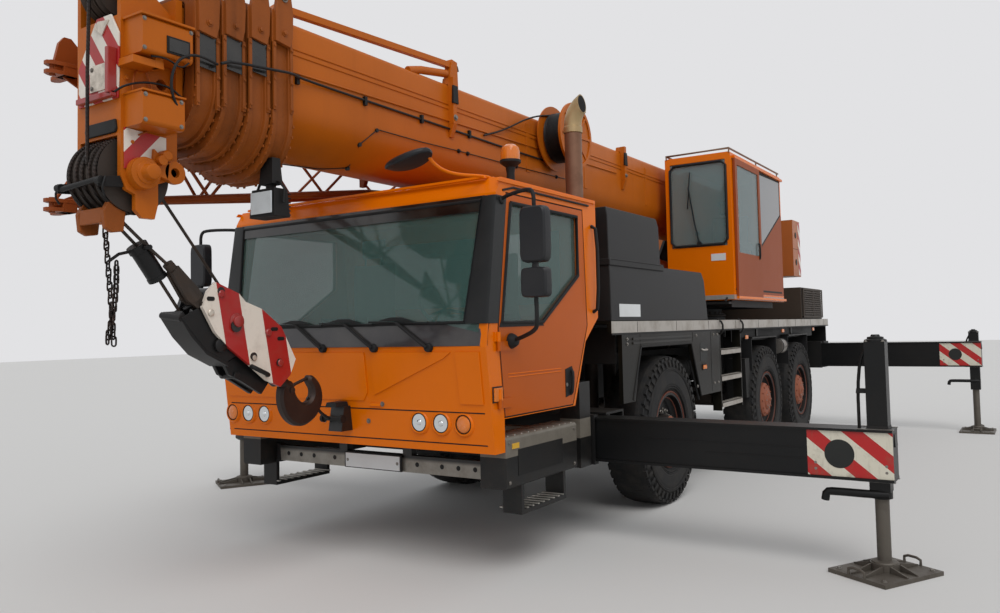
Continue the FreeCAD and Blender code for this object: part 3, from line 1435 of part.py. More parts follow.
def make_hook():
    """Hook block on its rope falls, drawn back to the bracket on the cab."""
    pin = point(0, s.low_sheave_y, s.low_sheave_z)
    seat = Placement(pin, Rotation(Vector(1, 0, 0), s.block_tilt.value))
    shift = s.block_shift.value
    half = s.block_half.value
    plate = s.block_plate.value

    def slab(outline, low, high):
        corners = [Vector(low, shift + ahead, down) for ahead, down in outline]
        face = Part.Face(Part.makePolygon(corners + corners[:1]))
        return face.extrude(Vector(high - low, 0, 0))

    def across(radius, ahead, down, reach):
        return Part.makeCylinder(radius, reach * 2, Vector(-reach, shift + ahead, down), Vector(1, 0, 0))

    sheave_ahead = -s.block_sheave_front.value
    sheave_down = -s.block_sheave_down.value
    frame = [slab(BLOCK_CHEEK, -half, plate - half), slab(BLOCK_CHEEK, half - plate, half),
             across(s.block_pin_radius.value, sheave_ahead, sheave_down, half + 14)]
    bar_low = [(-120, -1240), (110, -1240), (110, -1460), (60, -1500), (-90, -1500), (-120, -1460)]
    frame.append(slab(bar_low, plate - half - 1, half - plate + 1))
    for ahead, down in ((-12, -1406), (-104, -1225), (45, -800)):
        frame.append(across(24, ahead, down, half + 10))
    neck = s.hook_neck.value
    neck_at = Vector(0, shift - 30, -1640)
    bore = Part.makeCylinder(neck + s.slide_gap.value, 400, Vector(0, shift - 30, -1640), Vector(0, 0, 1))
    body = frame[0].multiFuse(frame[1:]).cut(bore)
    pieces = [body]
    half_thick = s.sheave_thick.value / 2
    reach = s.block_sheave_radius.value
    groove = s.sheave_groove.value
    pin_radius = s.block_pin_radius.value + s.slide_gap.value
    for number in (-1, 0, 1):
        x = number * s.sheave_pitch.value
        rim = [(-half_thick, pin_radius), (-half_thick, reach), (-half_thick * 0.45, reach - groove),
               (half_thick * 0.45, reach - groove), (half_thick, reach), (half_thick, pin_radius)]
        corners = [Vector(x + along, shift + sheave_ahead + radius, sheave_down) for along, radius in rim]
        wheel = Part.Face(Part.makePolygon(corners + corners[:1]))
        axis_at = Vector(x, shift + sheave_ahead, sheave_down)
        pieces.append(wheel.revolve(axis_at, Vector(1, 0, 0), 360))
    blocks = Part.makeCompound(pieces)
    blocks.Placement = seat
    node("hook_block", solid("hook_block", blocks))

    curve = Part.BSplineCurve()
    curve.interpolate(Points=[Vector(0, shift + ahead, down) for ahead, down in HOOK_EDGE],
                      PeriodicFlag=True)
    thick = s.hook_thick.value
    claw = Part.Face(Part.Wire([curve.toShape()])).extrude(Vector(thick, 0, 0))
    claw.translate(Vector(-thick / 2, 0, 0))
    flat_edges = [edge for edge in claw.Edges if edge.BoundBox.XLength < 0.01]
    claw = claw.makeChamfer(s.hook_edge.value, flat_edges)
    shank = Part.makeCylinder(neck, 260, neck_at, Vector(0, 0, 1))
    nut = Part.makeCylinder(neck + 22, 50, Vector(0, shift - 30, -1555), Vector(0, 0, 1))
    shape = claw.fuse(shank).fuse(nut.cut(bore).cut(body))
    shape.Placement = seat
    node("hook", solid("hook", shape))

    falls = []
    radius = s.rope_radius.value
    for number, places in ROPES:
        x = number * s.sheave_pitch.value
        corners = [Vector(x, ahead, down) for ahead, down in places]
        bars = []
        for index in range(len(corners) - 1):
            bars.append(bar(corners[index], corners[index + 1], s.rope_radius))
            if index:
                bars.append(Part.makeSphere(radius, corners[index]))
        falls.append(bars)
    weight_start = Vector(0, -205, -316)
    weight_end = Vector(0, -257, -512)
    falls[1].append(bar(weight_start, weight_end, s.weight_radius))
    socket_top = Vector(s.sheave_pitch.value, -186, -490)
    socket_low = Vector(s.sheave_pitch.value, -228, -735)
    falls[0].append(bar(Vector(s.sheave_pitch.value, -193.5, -320), socket_top, s.rope_radius))
    falls[0].append(Part.makeCone(s.socket_radius.value * 0.45, s.socket_radius.value,
                                  (socket_low - socket_top).Length, socket_top, socket_low - socket_top))
    fused = [bars[0].multiFuse(bars[1:]) if len(bars) > 1 else bars[0] for bars in falls]
    ropes = Part.makeCompound(fused)
    ropes.Placement = seat
    node("hoist_ropes", solid("hoist_ropes", ropes))


def make_cab_fittings():
    """Steps below the cab's doors, lamps on its front, mirrors and beacon."""
    steps = []
    gap = s.slide_gap
    for side_name, side in SIDES:
        x = span(side, s.step_inner_x, s.step_outer_x)
        outline = [(x[0], s.step_low), (x[1], s.step_low), (x[1], s.step_top), (x[0], s.step_top)]
        pieces = [pad("step_box_" + side_name, "XZ", outline, s.step_front, s.step_rear,
                      [(s.step_round, [1, 2] if side > 0 else [0, 3])])]
        tread_x = span(side, s.step_inner_x + 40, s.step_outer_x - 10)
        pieces.append(box("step_tread_" + side_name, tread_x, (s.tread_front, s.tread_rear),
                          (s.tread_low, s.tread_low + s.tread_thick)))
        for name, y in (("front", s.tread_front), ("rear", s.tread_rear - s.tread_thick)):
            pieces.append(box("tread_drop_" + name, tread_x, (y, y + s.tread_thick),
                              (s.tread_low, s.step_low + 5)))
        pieces.append(box("step_housing_" + side_name, span(side, s.step_inner_x + 10,
                                                            s.step_outer_x - 20),
                          (s.housing_front, s.housing_rear), (s.housing_low, s.housing_high)))
        pieces.append(box("housing_link_" + side_name, span(side, s.step_inner_x + 40,
                                                            s.step_outer_x - 60),
                          (s.step_rear - 5, s.housing_front + 5), (s.step_arm_low, s.step_arm_low + 60)))
        for name, y in (("front", s.step_arm_front), ("rear", s.step_arm_rear)):
            pieces.append(box("step_arm_" + name, span(side, s.frame_half + gap, s.step_inner_x + 5),
                              (y, y + 80),
                              (s.step_arm_low, s.step_arm_low + 80)))
        steps.append(fuse("steps_" + side_name, pieces))
    node("cab_steps", group("cab_steps", steps))

    lamps = []
    face = cab_face_y(s.lamp_z + s.lamp_radius) - gap
    for first in (s.left_lamp_x, s.right_lamp_x):
        for number in range(3):
            x = first + number * s.lamp_pitch
            lamps.append(rod("lamp", "y", s.lamp_radius, (x, face - s.lamp_deep, s.lamp_z), s.lamp_deep))
    for name, side in SIDES:
        lamps.append(box("marker_" + name, span(side, s.cab_half + gap, s.cab_half + 42),
                         (s.cab_chin + 20, s.cab_chin + 60),
                         (s.cab_chin_low + 90, s.cab_chin_low + 140)))
    node("cab_lamps", group("cab_lamps", lamps))

    mirrors = []
    for side_name, side in SIDES:
        x = span(side, s.mirror_x - s.mirror_half, s.mirror_x + s.mirror_half)
        y = (s.mirror_y - s.mirror_deep / 2, s.mirror_y + s.mirror_deep / 2)
        shells = []
        for name, low, high in (("upper", s.mirror_split + 10, s.mirror_top), ("lower", s.mirror_low,
                s.mirror_split - 10)):
            outline = [(x[0], low), (x[1], low), (x[1], high), (x[0], high)]
            shells.append(pad("mirror_" + name + "_" + side_name, "XZ", outline, y[0], y[1],
                              [(s.mirror_round, [0, 1, 2, 3])]))
        post = (side * s.mirror_x, s.mirror_y + s.mirror_deep / 2 + s.mirror_arm - 4)
        out = Vector(side, 0, 0)
        arm_from = point(side * (s.cab_half + gap), s.mirror_arm_y, s.mirror_arm_z)
        arm_to = point(post[0], post[1], s.mirror_top - 60)
        low_from = point(side * (s.cab_half + gap), s.mirror_foot_y, s.mirror_foot_z)
        low_to = point(post[0], post[1], s.mirror_low + 40)
        rods = [Part.makeSphere(s.mirror_arm.value, arm_to), Part.makeSphere(s.mirror_arm.value, low_to),
                bar(arm_from + out * 12, arm_to, s.mirror_arm), bar(low_from + out * 12, low_to,
                        s.mirror_arm),
                bar(arm_to, low_to, s.mirror_arm)]
        for foot in (arm_from, low_from):
            rods.append(Part.makeCylinder(s.mirror_foot_radius.value, 16, foot, out))
        frame = solid("mirror_rods_" + side_name, rods[0].multiFuse(rods[1:]))
        mirrors.append(fuse("mirror_set_" + side_name, shells + [frame]))
    wide = s.wide_mirror_half
    wide_shell = box("wide_mirror", (s.wide_mirror_x - wide, s.wide_mirror_x + wide),
                     (s.wide_mirror_y - 50, s.wide_mirror_y + 50),
                     (s.wide_mirror_z - 70, s.wide_mirror_z + 70))
    wide_foot = point(s.cab_half - 60, s.wide_foot_y, s.wide_foot_z)
    wide_arm = bar(wide_foot, point(s.wide_mirror_x + wide - 30, s.wide_mirror_y, s.wide_mirror_z),
                   s.mirror_arm)
    wide_arm = wide_arm.fuse(Part.makeSphere(s.mirror_arm.value, wide_foot))
    mirrors.append(fuse("wide_mirror_set", [wide_shell, solid("wide_mirror_arm", wide_arm)]))
    post_at = (s.beacon_x, s.beacon_y, s.cab_roof + gap)
    mirrors.append(rod("beacon_post", "z", s.mirror_arm, post_at, s.beacon_post_long))
    mirrors.append(rod("beacon", "z", s.beacon_radius, (s.beacon_x, s.beacon_y,
                                                        s.cab_roof + s.beacon_post_long + gap),
                       s.beacon_top - s.cab_roof - s.beacon_post_long))
    node("mirrors", group("mirrors", mirrors))


make_wheels()
make_axles()
make_knuckles()
make_chassis()
make_deck()
make_outriggers()
make_cab()
make_cab_fittings()
make_deck_boxes()
make_superstructure()
make_boom()
make_sheaves()
make_reel()
make_jib()
make_lift()
make_hook()
doc.recompute()

faults = []
for item in doc.Objects:
    if "Invalid" in item.State or "Error" in item.State:
        faults.append(item.Name + " " + str(item.State))
for item in nodes:
    if item.Shape.isNull() or not item.Shape.isValid() or not item.Shape.Solids:
        faults.append(item.Label + " has no valid solid")
if faults:
    raise RuntimeError("; ".join(faults))

os.makedirs("parts", exist_ok=True)
for item in nodes:
    item.Shape.exportStep("parts/" + item.Label + ".step")
print(len(nodes), "nodes written")
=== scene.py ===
import math

import bmesh
import bpy
from mathutils import Matrix, Vector


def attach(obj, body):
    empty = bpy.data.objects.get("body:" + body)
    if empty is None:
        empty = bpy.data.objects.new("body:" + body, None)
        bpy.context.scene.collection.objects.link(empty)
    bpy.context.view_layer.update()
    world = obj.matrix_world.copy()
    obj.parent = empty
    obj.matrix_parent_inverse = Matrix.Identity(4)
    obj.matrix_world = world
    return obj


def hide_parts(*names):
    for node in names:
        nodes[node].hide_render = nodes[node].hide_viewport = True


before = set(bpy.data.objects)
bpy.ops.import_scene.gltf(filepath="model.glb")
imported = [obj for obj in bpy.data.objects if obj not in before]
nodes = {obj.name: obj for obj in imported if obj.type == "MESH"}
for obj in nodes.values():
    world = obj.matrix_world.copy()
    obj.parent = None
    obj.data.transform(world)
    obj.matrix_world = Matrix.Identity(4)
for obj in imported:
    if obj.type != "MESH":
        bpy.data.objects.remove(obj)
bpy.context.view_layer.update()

# Places along the crane are measured from the front outriggers, as in the part's source
MIDDLE = 2.3095
# Half the deck's width, and the height of the wheels' centres
DECK_HALF = 1.25
AXLE_Z = 0.665
# The photo's size in pixels, and the width that the camera's focal length is stated for
PHOTO_WIDE, PHOTO_HIGH = 1000, 613
SENSOR = 36


def at(x, y, z):
    return Vector((x, y - MIDDLE, z))


# ---------------------------------------------------------------- shader maths


class Sock:
    """One output socket of a node tree, with arithmetic."""

    def __init__(self, tree, socket):
        self.tree = tree
        self.socket = socket

    def _maths(self, operation, first, second=None):
        node = self.tree.nodes.new("ShaderNodeMath")
        node.operation = operation
        for index, value in enumerate((first, second)):
            if isinstance(value, Sock):
                self.tree.links.new(value.socket, node.inputs[index])
            elif value is not None:
                node.inputs[index].default_value = value
        return Sock(self.tree, node.outputs[0])

    def __add__(self, other):
        return self._maths("ADD", self, other)

    def __radd__(self, other):
        return self._maths("ADD", other, self)

    def __sub__(self, other):
        return self._maths("SUBTRACT", self, other)

    def __rsub__(self, other):
        return self._maths("SUBTRACT", other, self)

    def __mul__(self, other):
        return self._maths("MULTIPLY", self, other)

    def __rmul__(self, other):
        return self._maths("MULTIPLY", other, self)

    def __truediv__(self, other):
        return self._maths("DIVIDE", self, other)

    def __gt__(self, other):
        return self._maths("GREATER_THAN", self, other)

    def __lt__(self, other):
        return self._maths("LESS_THAN", self, other)

    def __pow__(self, other):
        return self._maths("POWER", self, other)

    def fraction(self):
        return self._maths("FRACT", self)

    def size(self):
        return self._maths("ABSOLUTE", self)

    def least(self, other):
        return self._maths("MINIMUM", self, other)

    def most(self, other):
        return self._maths("MAXIMUM", self, other)


class Finish:
    """A material with its node tree and the nodes that finishes share."""

    def __init__(self, name):
        self.material = bpy.data.materials.new(name)
        self.material.use_nodes = True
        self.tree = self.material.node_tree
        self.tree.nodes.clear()
        self.place = self.make("ShaderNodeTexCoord", out="Object")
        parts = self.make_node("ShaderNodeSeparateXYZ", {}, {"Vector": self.place})
        self.x = Sock(self.tree, parts.outputs[0])
        self.y = Sock(self.tree, parts.outputs[1])
        self.z = Sock(self.tree, parts.outputs[2])

    def make_node(self, kind, settings, values):
        node = self.tree.nodes.new(kind)
        for key, value in settings.items():
            if key == "stops":
                ramp = node.color_ramp
                while len(ramp.elements) < len(value):
                    ramp.elements.new(0.5)
                for element, (position, colour) in zip(ramp.elements, value):
                    element.position = position
                    element.color = colour
            else:
                setattr(node, key, value)
        for key, value in values.items():
            if isinstance(value, Sock):
                self.tree.links.new(value.socket, node.inputs[key])
            else:
                node.inputs[key].default_value = value
        return node

    def make(self, kind, settings=None, values=None, out=0):
        return Sock(self.tree, self.make_node(kind, settings or {}, values or {}).outputs[out])

    def noise(self, scale, detail=4.0, rough=0.55, stretch=None):
        place = self.place
        if stretch:
            place = self.make("ShaderNodeMapping", {}, {"Vector": place, "Scale": stretch})
        return self.make("ShaderNodeTexNoise", {}, {"Vector": place, "Scale": scale, "Detail": detail,
                                                    "Roughness": rough}, "Fac")

    def ramp(self, fac, *stops):
        """A number that rises from 0 to 1 between two places, or follows given stops."""
        return self.make("ShaderNodeValToRGB", {"stops": [(p, (v, v, v, 1)) for p, v in stops]}, {"Fac": fac})

    def mix(self, fac, first, second):
        node = self.make_node("ShaderNodeMix", {"data_type": "RGBA"}, {})
        for index, value in ((0, fac), (6, first), (7, second)):
            if isinstance(value, Sock):
                self.tree.links.new(value.socket, node.inputs[index])
            else:
                node.inputs[index].default_value = value
        return Sock(self.tree, node.outputs[2])

    def within(self, value, low, high):
        """1 where a value lies between two places."""
        return (value > low) * (value < high)

    def done(self, colour, rough, metal=0.0, bump=None, depth=0.002, **more):
        shader = self.make_node("ShaderNodeBsdfPrincipled", {}, {"Base Color": colour, "Roughness": rough,
                                                                 "Metallic": metal})
        for key, value in more.items():
            name = {"ior": "IOR", "specular_ior_level": "Specular IOR Level"}.get(key,
                key.replace("_", " ").title())
            if isinstance(value, Sock):
                self.tree.links.new(value.socket, shader.inputs[name])
            else:
                shader.inputs[name].default_value = value
        if bump is not None:
            bumped = self.make("ShaderNodeBump", {}, {"Height": bump, "Distance": depth, "Strength": 1.0},
                               "Normal")
            self.tree.links.new(bumped.socket, shader.inputs["Normal"])
        output = self.make_node("ShaderNodeOutputMaterial", {}, {})
        self.tree.links.new(shader.outputs[0], output.inputs["Surface"])
        return self.material


def rgb(red, green, blue):
    """A colour as it looks on screen, from 0 to 255, as shader values."""
    out = []
    for value in (red, green, blue):
        share = value / 255
        out.append(share / 12.92 if share <= 0.04045 else ((share + 0.055) / 1.055) ** 2.4)
    return (*out, 1.0)


# ---------------------------------------------------------------- shapes


class Shape:
    """Mesh code for one piece, in metres, with Y measured from the front outriggers."""

    def __init__(self, name):
        self.name = name
        self.bm = bmesh.new()
        self.materials = []
        self.index = 0

    def use(self, material):
        """Give the faces that follow a material."""
        if material not in self.materials:
            self.materials.append(material)
        self.index = self.materials.index(material)
        return self

    def face(self, corners):
        made = self.bm.faces.new(corners)
        made.material_index = self.index
        return made

    def loft(self, rings, closed=True, caps=True):
        """Faces between rings of points of the same count."""
        levels = [[self.bm.verts.new(point) for point in ring] for ring in rings]
        count = len(levels[0])
        for low, high in zip(levels, levels[1:]):
            for index in range(count if closed else count - 1):
                after = (index + 1) % count
                self.face((low[index], low[after], high[after], high[index]))
        if caps and closed:
            self.face(list(reversed(levels[0])))
            self.face(levels[-1])
        return self

    def block(self, x, y, z, taper=0.0):
        """A block between two places along each axis, drawn in at its top."""
        rings = []
        for level, inset in ((z[0], 0.0), (z[1], taper)):
            rings.append([(x[0] + inset, y[0] + inset, level), (x[1] - inset, y[0] + inset, level),
                          (x[1] - inset, y[1] - inset, level), (x[0] + inset, y[1] - inset, level)])
        return self.loft(rings)

    def plate(self, axis, outline, low, high):
        """An outline in the plane across an axis, padded between two places along it."""
        def spot(first, second, along):
            return {"x": (along, first, second), "y": (first, along, second),
                    "z": (first, second, along)}[axis]
        return self.loft([[spot(a, b, level) for a, b in outline] for level in (low, high)])

    def turn(self, axis, centre, profile, steps=32, closed=False):
        """A profile of (along, radius) turned about an axis through a centre."""
        rings = []
        for along, radius in profile:
            ring = []
            for step in range(steps):
                angle = 2 * math.pi * step / steps
                a, b = radius * math.cos(angle), radius * math.sin(angle)
                offset = {"x": (along, a, b), "y": (b, along, a), "z": (a, b, along)}[axis]
                ring.append(tuple(c + o for c, o in zip(centre, offset)))
            rings.append(ring)
        if closed:
            rings.append(rings[0])
        return self.loft(rings, caps=not closed)

    def pipe(self, points, radius, steps=10, smooth=0):
        """A round bar or hose through points, its corners eased where asked."""
        line = [Vector(point) for point in points]
        for _ in range(smooth):
            eased = [line[0]]
            for first, second in zip(line, line[1:]):
                eased += [first.lerp(second, 0.25), first.lerp(second, 0.75)]
            line = eased + [line[-1]]
        side = None
        rings = []
        for index, spot in enumerate(line):
            before = line[max(index - 1, 0)]
            after = line[min(index + 1, len(line) - 1)]
            ahead = (after - before).normalized()
            if side is None:
                side = ahead.orthogonal().normalized()
            side = (side - ahead * side.dot(ahead)).normalized()
            up = ahead.cross(side)
            rings.append([spot + side * (radius * math.cos(2 * math.pi * step / steps))
                          + up * (radius * math.sin(2 * math.pi * step / steps)) for step in range(steps)])
        return self.loft(rings)

    def bolt(self, axis, centre, radius=0.012, high=0.008, side=1):
        """A six-sided bolt head with its washer."""
        self.turn(axis, centre, [(0, radius * 1.5), (side * high * 0.35, radius * 1.5)], 14)
        return self.turn(axis, centre, [(side * high * 0.3, radius), (side * high, radius),
                                        (side * high * 1.15, radius * 0.8)], 6)

    def make(self, body, bevel=0.0, smooth=True, replaces=(), segments=2):
        mesh = bpy.data.meshes.new(self.name)
        bmesh.ops.recalc_face_normals(self.bm, faces=self.bm.faces)
        bmesh.ops.translate(self.bm, verts=self.bm.verts, vec=(0, -MIDDLE, 0))
        self.bm.to_mesh(mesh)
        self.bm.free()
        for material in self.materials:
            mesh.materials.append(material)
        item = bpy.data.objects.new(self.name, mesh)
        bpy.context.collection.objects.link(item)
        finish_edges(item, bevel, smooth, segments)
        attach(item, body)
        if replaces:
            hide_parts(*replaces)
        return item


def finish_edges(item, bevel, smooth=True, segments=2):
    """Soft edges and smooth shading on a piece."""
    if smooth:
        for polygon in item.data.polygons:
            polygon.use_smooth = True
    if bevel:
        soft = item.modifiers.new("soft_edges", "BEVEL")
        soft.width = bevel
        soft.segments = segments
        soft.limit_method = "ANGLE"
        soft.angle_limit = math.radians(32)
        soft.harden_normals = True
    elif smooth:
        item.data.set_sharp_from_angle(angle=math.radians(34))


def in_block(ahead, down, x):
    """A place on the hanging hook block from its own plane: forward, down, across."""
    tilt = math.radians(50)
    ahead = (ahead - 150) / 1000
    down = down / 1000
    return (x, -3.25 + ahead * math.cos(tilt) - down * math.sin(tilt),
            2.46 + ahead * math.sin(tilt) + down * math.cos(tilt))


# ---------------------------------------------------------------- finishes


def paint(name, colour, dirt=0.3, gloss=0.32, dirt_colour=(92, 62, 38), streaks=0.35):
    """Machine paint with slight orange peel, dust and rain streaks."""
    f = Finish(name)
    blotch = f.ramp(f.noise(1.3, 6.0, 0.62), (0.42, 0.0), (0.74, 1.0))
    runs = f.ramp(f.noise(7.0, 5.0, 0.6, (1.0, 1.0, 0.08)), (0.5, 0.0), (0.78, 1.0))
    grit = f.ramp(f.noise(60.0, 3.0, 0.6), (0.55, 0.0), (0.8, 1.0))
    soil = (blotch * 0.55 + runs * streaks + grit * 0.25) * dirt
    tone = f.mix(f.noise(0.6, 2.0), colour, tuple(c * 0.86 for c in colour[:3]) + (1,))
    base = f.mix(soil.least(0.85), tone, rgb(*dirt_colour))
    peel = f.noise(420.0, 1.0)
    return f.done(base, soil * 0.45 + gloss, 0.0, peel, 0.0004, specular_ior_level=0.16, coat_weight=0.05,
                  coat_roughness=0.12)


def tough_black(name, colour=(9, 10, 11), rough=0.4, dust=(84, 76, 66), dusty=0.1):
    """Black painted steel with grey dust in patches, and lighter grey on faces that point up."""
    f = Finish(name)
    blotch = f.ramp(f.noise(2.4, 6.0, 0.65), (0.45, 0.0), (0.8, 1.0))
    grit = f.ramp(f.noise(90.0, 3.0), (0.5, 0.0), (0.8, 1.0))
    # Faces that point up are lightened towards the same grey
    up = f.make("ShaderNodeNewGeometry", out="Normal")
    parts = f.make_node("ShaderNodeSeparateXYZ", {}, {"Vector": up})
    top = f.ramp(Sock(f.tree, parts.outputs[2]), (0.4, 0.0), (1.0, 1.0))
    soil = (blotch * 0.5 + grit * 0.2 + top * 0.6) * dusty
    base = f.mix(soil.least(0.8), rgb(*colour), rgb(*dust))
    return f.done(base, soil * 0.3 + rough, 0.0, f.noise(300.0, 2.0), 0.0005, specular_ior_level=0.3)


def bare_metal(name, colour=(150, 150, 150), rough=0.35, metal=0.9, stain=(96, 70, 50), stained=0.3):
    f = Finish(name)
    patch = f.ramp(f.noise(5.0, 6.0, 0.65), (0.45, 0.0), (0.75, 1.0)) * stained
    base = f.mix(patch, rgb(*colour), rgb(*stain))
    return f.done(base, patch * 0.5 + rough, metal, f.noise(160.0, 3.0), 0.0006)


def rubber():
    """Tyre rubber, dusty on its tread and walls."""
    f = Finish("tyre_rubber")
    dust = f.ramp(f.noise(9.0, 6.0, 0.7), (0.42, 0.0), (0.8, 1.0)) * 0.35
    base = f.mix(dust * 0.7, rgb(20, 20, 21), rgb(92, 84, 74))
    return f.done(base, dust * 0.2 + 0.68, 0.0, f.noise(240.0, 3.0), 0.0008, specular_ior_level=0.3)


def clear_glass(name, tint, alpha, rough=0.03):
    """Thin window glass that shows what lies behind it."""
    f = Finish(name)
    film = f.ramp(f.noise(2.5, 4.0), (0.4, 0.0), (0.8, 1.0)) * 0.05
    return f.done(tint, film + rough, 0.0, alpha=alpha, specular_ior_level=0.8, ior=1.5)


def moulded(name, colour=(22, 22, 23), rough=0.46):
    """Moulded dark plastic with a fine grain."""
    f = Finish(name)
    fade = f.ramp(f.noise(1.8, 5.0, 0.6), (0.4, 0.0), (0.8, 1.0)) * 0.14
    base = f.mix(fade, rgb(*colour), rgb(84, 80, 76))
    return f.done(base, fade * 0.5 + rough, 0.0, f.noise(500.0, 2.0), 0.0005, specular_ior_level=0.28)


def striped(name, pitch, slope, across="y", start=0.0):
    """Red and white warning bands that lean across a plate."""
    f = Finish(name)
    along = {"x": f.x, "y": f.y}[across]
    band = ((along + f.z * slope + start) / pitch).fraction() > 0.5
    worn = f.ramp(f.noise(7.0, 6.0, 0.7), (0.5, 0.0), (0.8, 1.0)) * 0.35
    base = f.mix(band, rgb(222, 214, 202), rgb(168, 30, 30))
    return f.done(f.mix(worn, base, rgb(120, 96, 80)), worn * 0.4 + 0.35, 0.0, f.noise(200.0), 0.0003)


def seat_cloth():
    f = Finish("seat_cloth")
    weave = f.noise(260.0, 2.0)
    base = f.mix(f.noise(30.0), rgb(42, 44, 48), rgb(60, 62, 66))
    return f.done(base, 0.9, 0.0, weave, 0.002)


def glossy(name, colour, rough=0.16, dusty=0.12):
    """Smooth moulded or lacquered trim with a thin film of dust."""
    f = Finish(name)
    dust = f.ramp(f.noise(3.0, 5.0, 0.65), (0.42, 0.0), (0.8, 1.0)) * dusty
    base = f.mix(dust, rgb(*colour), rgb(150, 140, 126))
    return f.done(base, dust * 1.2 + rough, 0.0, f.noise(380.0, 2.0), 0.0002, coat_weight=0.4,
                  coat_roughness=0.08)


def lens(name, colour, ribs=140.0):
    """A ribbed plastic lamp lens."""
    f = Finish(name)
    wave = ((f.x + f.y + f.z) * ribs).fraction()
    grime = f.ramp(f.noise(12.0, 4.0), (0.45, 0.0), (0.8, 1.0)) * 0.25
    base = f.mix(grime, rgb(*colour), tuple(c * 0.5 for c in rgb(*colour)[:3]) + (1,))
    return f.done(base, grime * 0.5 + 0.12, 0.0, wave, 0.0008, coat_weight=0.6, coat_roughness=0.05)


def mirror_metal(name, colour=(225, 228, 230), rough=0.06):
    f = Finish(name)
    haze = f.ramp(f.noise(20.0, 4.0), (0.5, 0.0), (0.85, 1.0)) * 0.15
    return f.done(f.mix(haze, rgb(*colour), rgb(150, 146, 140)), haze + rough, 1.0, f.noise(60.0, 2.0),
                  0.0003)


def rope_steel():
    """Greased wire rope, its strands shown by slanting ridges."""
    f = Finish("greased_rope")
    lay = ((f.x * 0.6 + f.y + f.z) * 42.0).fraction()
    shade = f.ramp(lay, (0.0, 0.0), (0.5, 1.0), (1.0, 0.0))
    patch = f.ramp(f.noise(8.0, 4.0), (0.4, 0.0), (0.75, 1.0)) * 0.6
    base = f.mix(patch, rgb(38, 34, 32), rgb(74, 50, 38))
    return f.done(f.mix(shade * 0.5, base, rgb(20, 18, 17)), 0.5 - patch * 0.1, 0.6, shade, 0.003)


def block_paint():
    """Black hook block whose near cheek carries broad red and white bands."""
    f = Finish("hook_block_paint")
    lean = f.y + MIDDLE + f.z * 0.18
    red = f.within(lean, -2.388, -2.240) + f.within(lean, -2.088, -1.933)
    worn = f.ramp(f.noise(9.0, 6.0, 0.7), (0.5, 0.0), (0.8, 1.0)) * 0.3
    bands = f.mix(red, rgb(226, 214, 200), rgb(166, 26, 22))
    near = f.within(f.x, 0.1, 0.13) * (f.z < 2.05)
    grime = f.mix(worn, bands, rgb(112, 88, 72))
    soot = f.mix(f.ramp(f.noise(5.0, 5.0), (0.4, 0.0), (0.8, 1.0)) * 0.4, rgb(20, 20, 21), rgb(58, 52, 46))
    return f.done(f.mix(near, soot, grime), worn * 0.4 + 0.35, 0.0, f.noise(220.0), 0.0004, coat_weight=0.15)


def beam_end(name, level):
    """Warning bands on an outrigger beam's end, mirrored from side to side."""
    f = Finish(name)
    band = ((f.x.size() + (f.z - level) * 1.22 - 2.872) / 0.276).fraction() > 0.52
    worn = f.ramp(f.noise(11.0, 6.0, 0.72), (0.52, 0.0), (0.75, 1.0)) * 0.5
    runs = f.ramp(f.noise(26.0, 5.0, 0.65, (1.0, 1.0, 0.15)), (0.56, 0.0), (0.8, 1.0)) * 0.4
    base = f.mix(band, rgb(212, 206, 188), rgb(178, 24, 24))
    return f.done(f.mix((worn + runs).least(0.7), base, rgb(112, 92, 70)), worn * 0.4 + 0.4, 0.0,
                  f.noise(200.0), 0.0004)


def step_paint():
    """Grey upper box and tread over black sides."""
    f = Finish("step_grey")
    band = (f.z > 0.79) * (f.z < 0.93)
    scuff = f.ramp(f.noise(9.0, 5.0, 0.65), (0.42, 0.0), (0.8, 1.0)) * 0.4
    grey = f.mix(scuff, rgb(112, 106, 96), rgb(70, 62, 54))
    dark = f.mix(scuff, rgb(20, 20, 20), rgb(58, 52, 46))
    return f.done(f.mix(band, dark, grey), scuff * 0.4 + 0.4, 0.0, f.noise(150.0), 0.0006,
                  specular_ior_level=0.3)


def bumper_paint():
    """Galvanised bars, sooty above and on the tow bracket."""
    f = Finish("bumper_steel")
    dark = f.ramp(f.z, (0.69, 0.0), (0.715, 1.0))
    scuff = f.ramp(f.noise(12.0, 5.0, 0.65), (0.42, 0.0), (0.8, 1.0)) * 0.5
    metal = f.mix(scuff, rgb(142, 138, 130), rgb(92, 82, 70))
    return f.done(f.mix(dark, metal, rgb(22, 21, 20)), scuff * 0.3 + 0.42, (1.0 - dark) * 0.6, f.noise(140.0),
                  0.0006)


def tread_plate(name, colour=(150, 148, 144)):
    f = Finish(name)
    dirt = f.ramp(f.noise(14.0, 6.0, 0.7), (0.4, 0.0), (0.75, 1.0)) * 0.6
    base = f.mix(dirt, rgb(*colour), rgb(84, 74, 62))
    return f.done(base, dirt * 0.3 + 0.42, 0.75, f.noise(120.0, 3.0), 0.001)


def dull_pane(name, colour):
    """A dark smoked panel with soft reflections."""
    f = Finish(name)
    film = f.ramp(f.noise(6.0, 5.0), (0.4, 0.0), (0.8, 1.0)) * 0.25
    return f.done(f.mix(film, rgb(*colour), rgb(92, 88, 82)), film + 0.22, 0.0, f.noise(90.0, 3.0), 0.0004,
                  coat_weight=0.3)


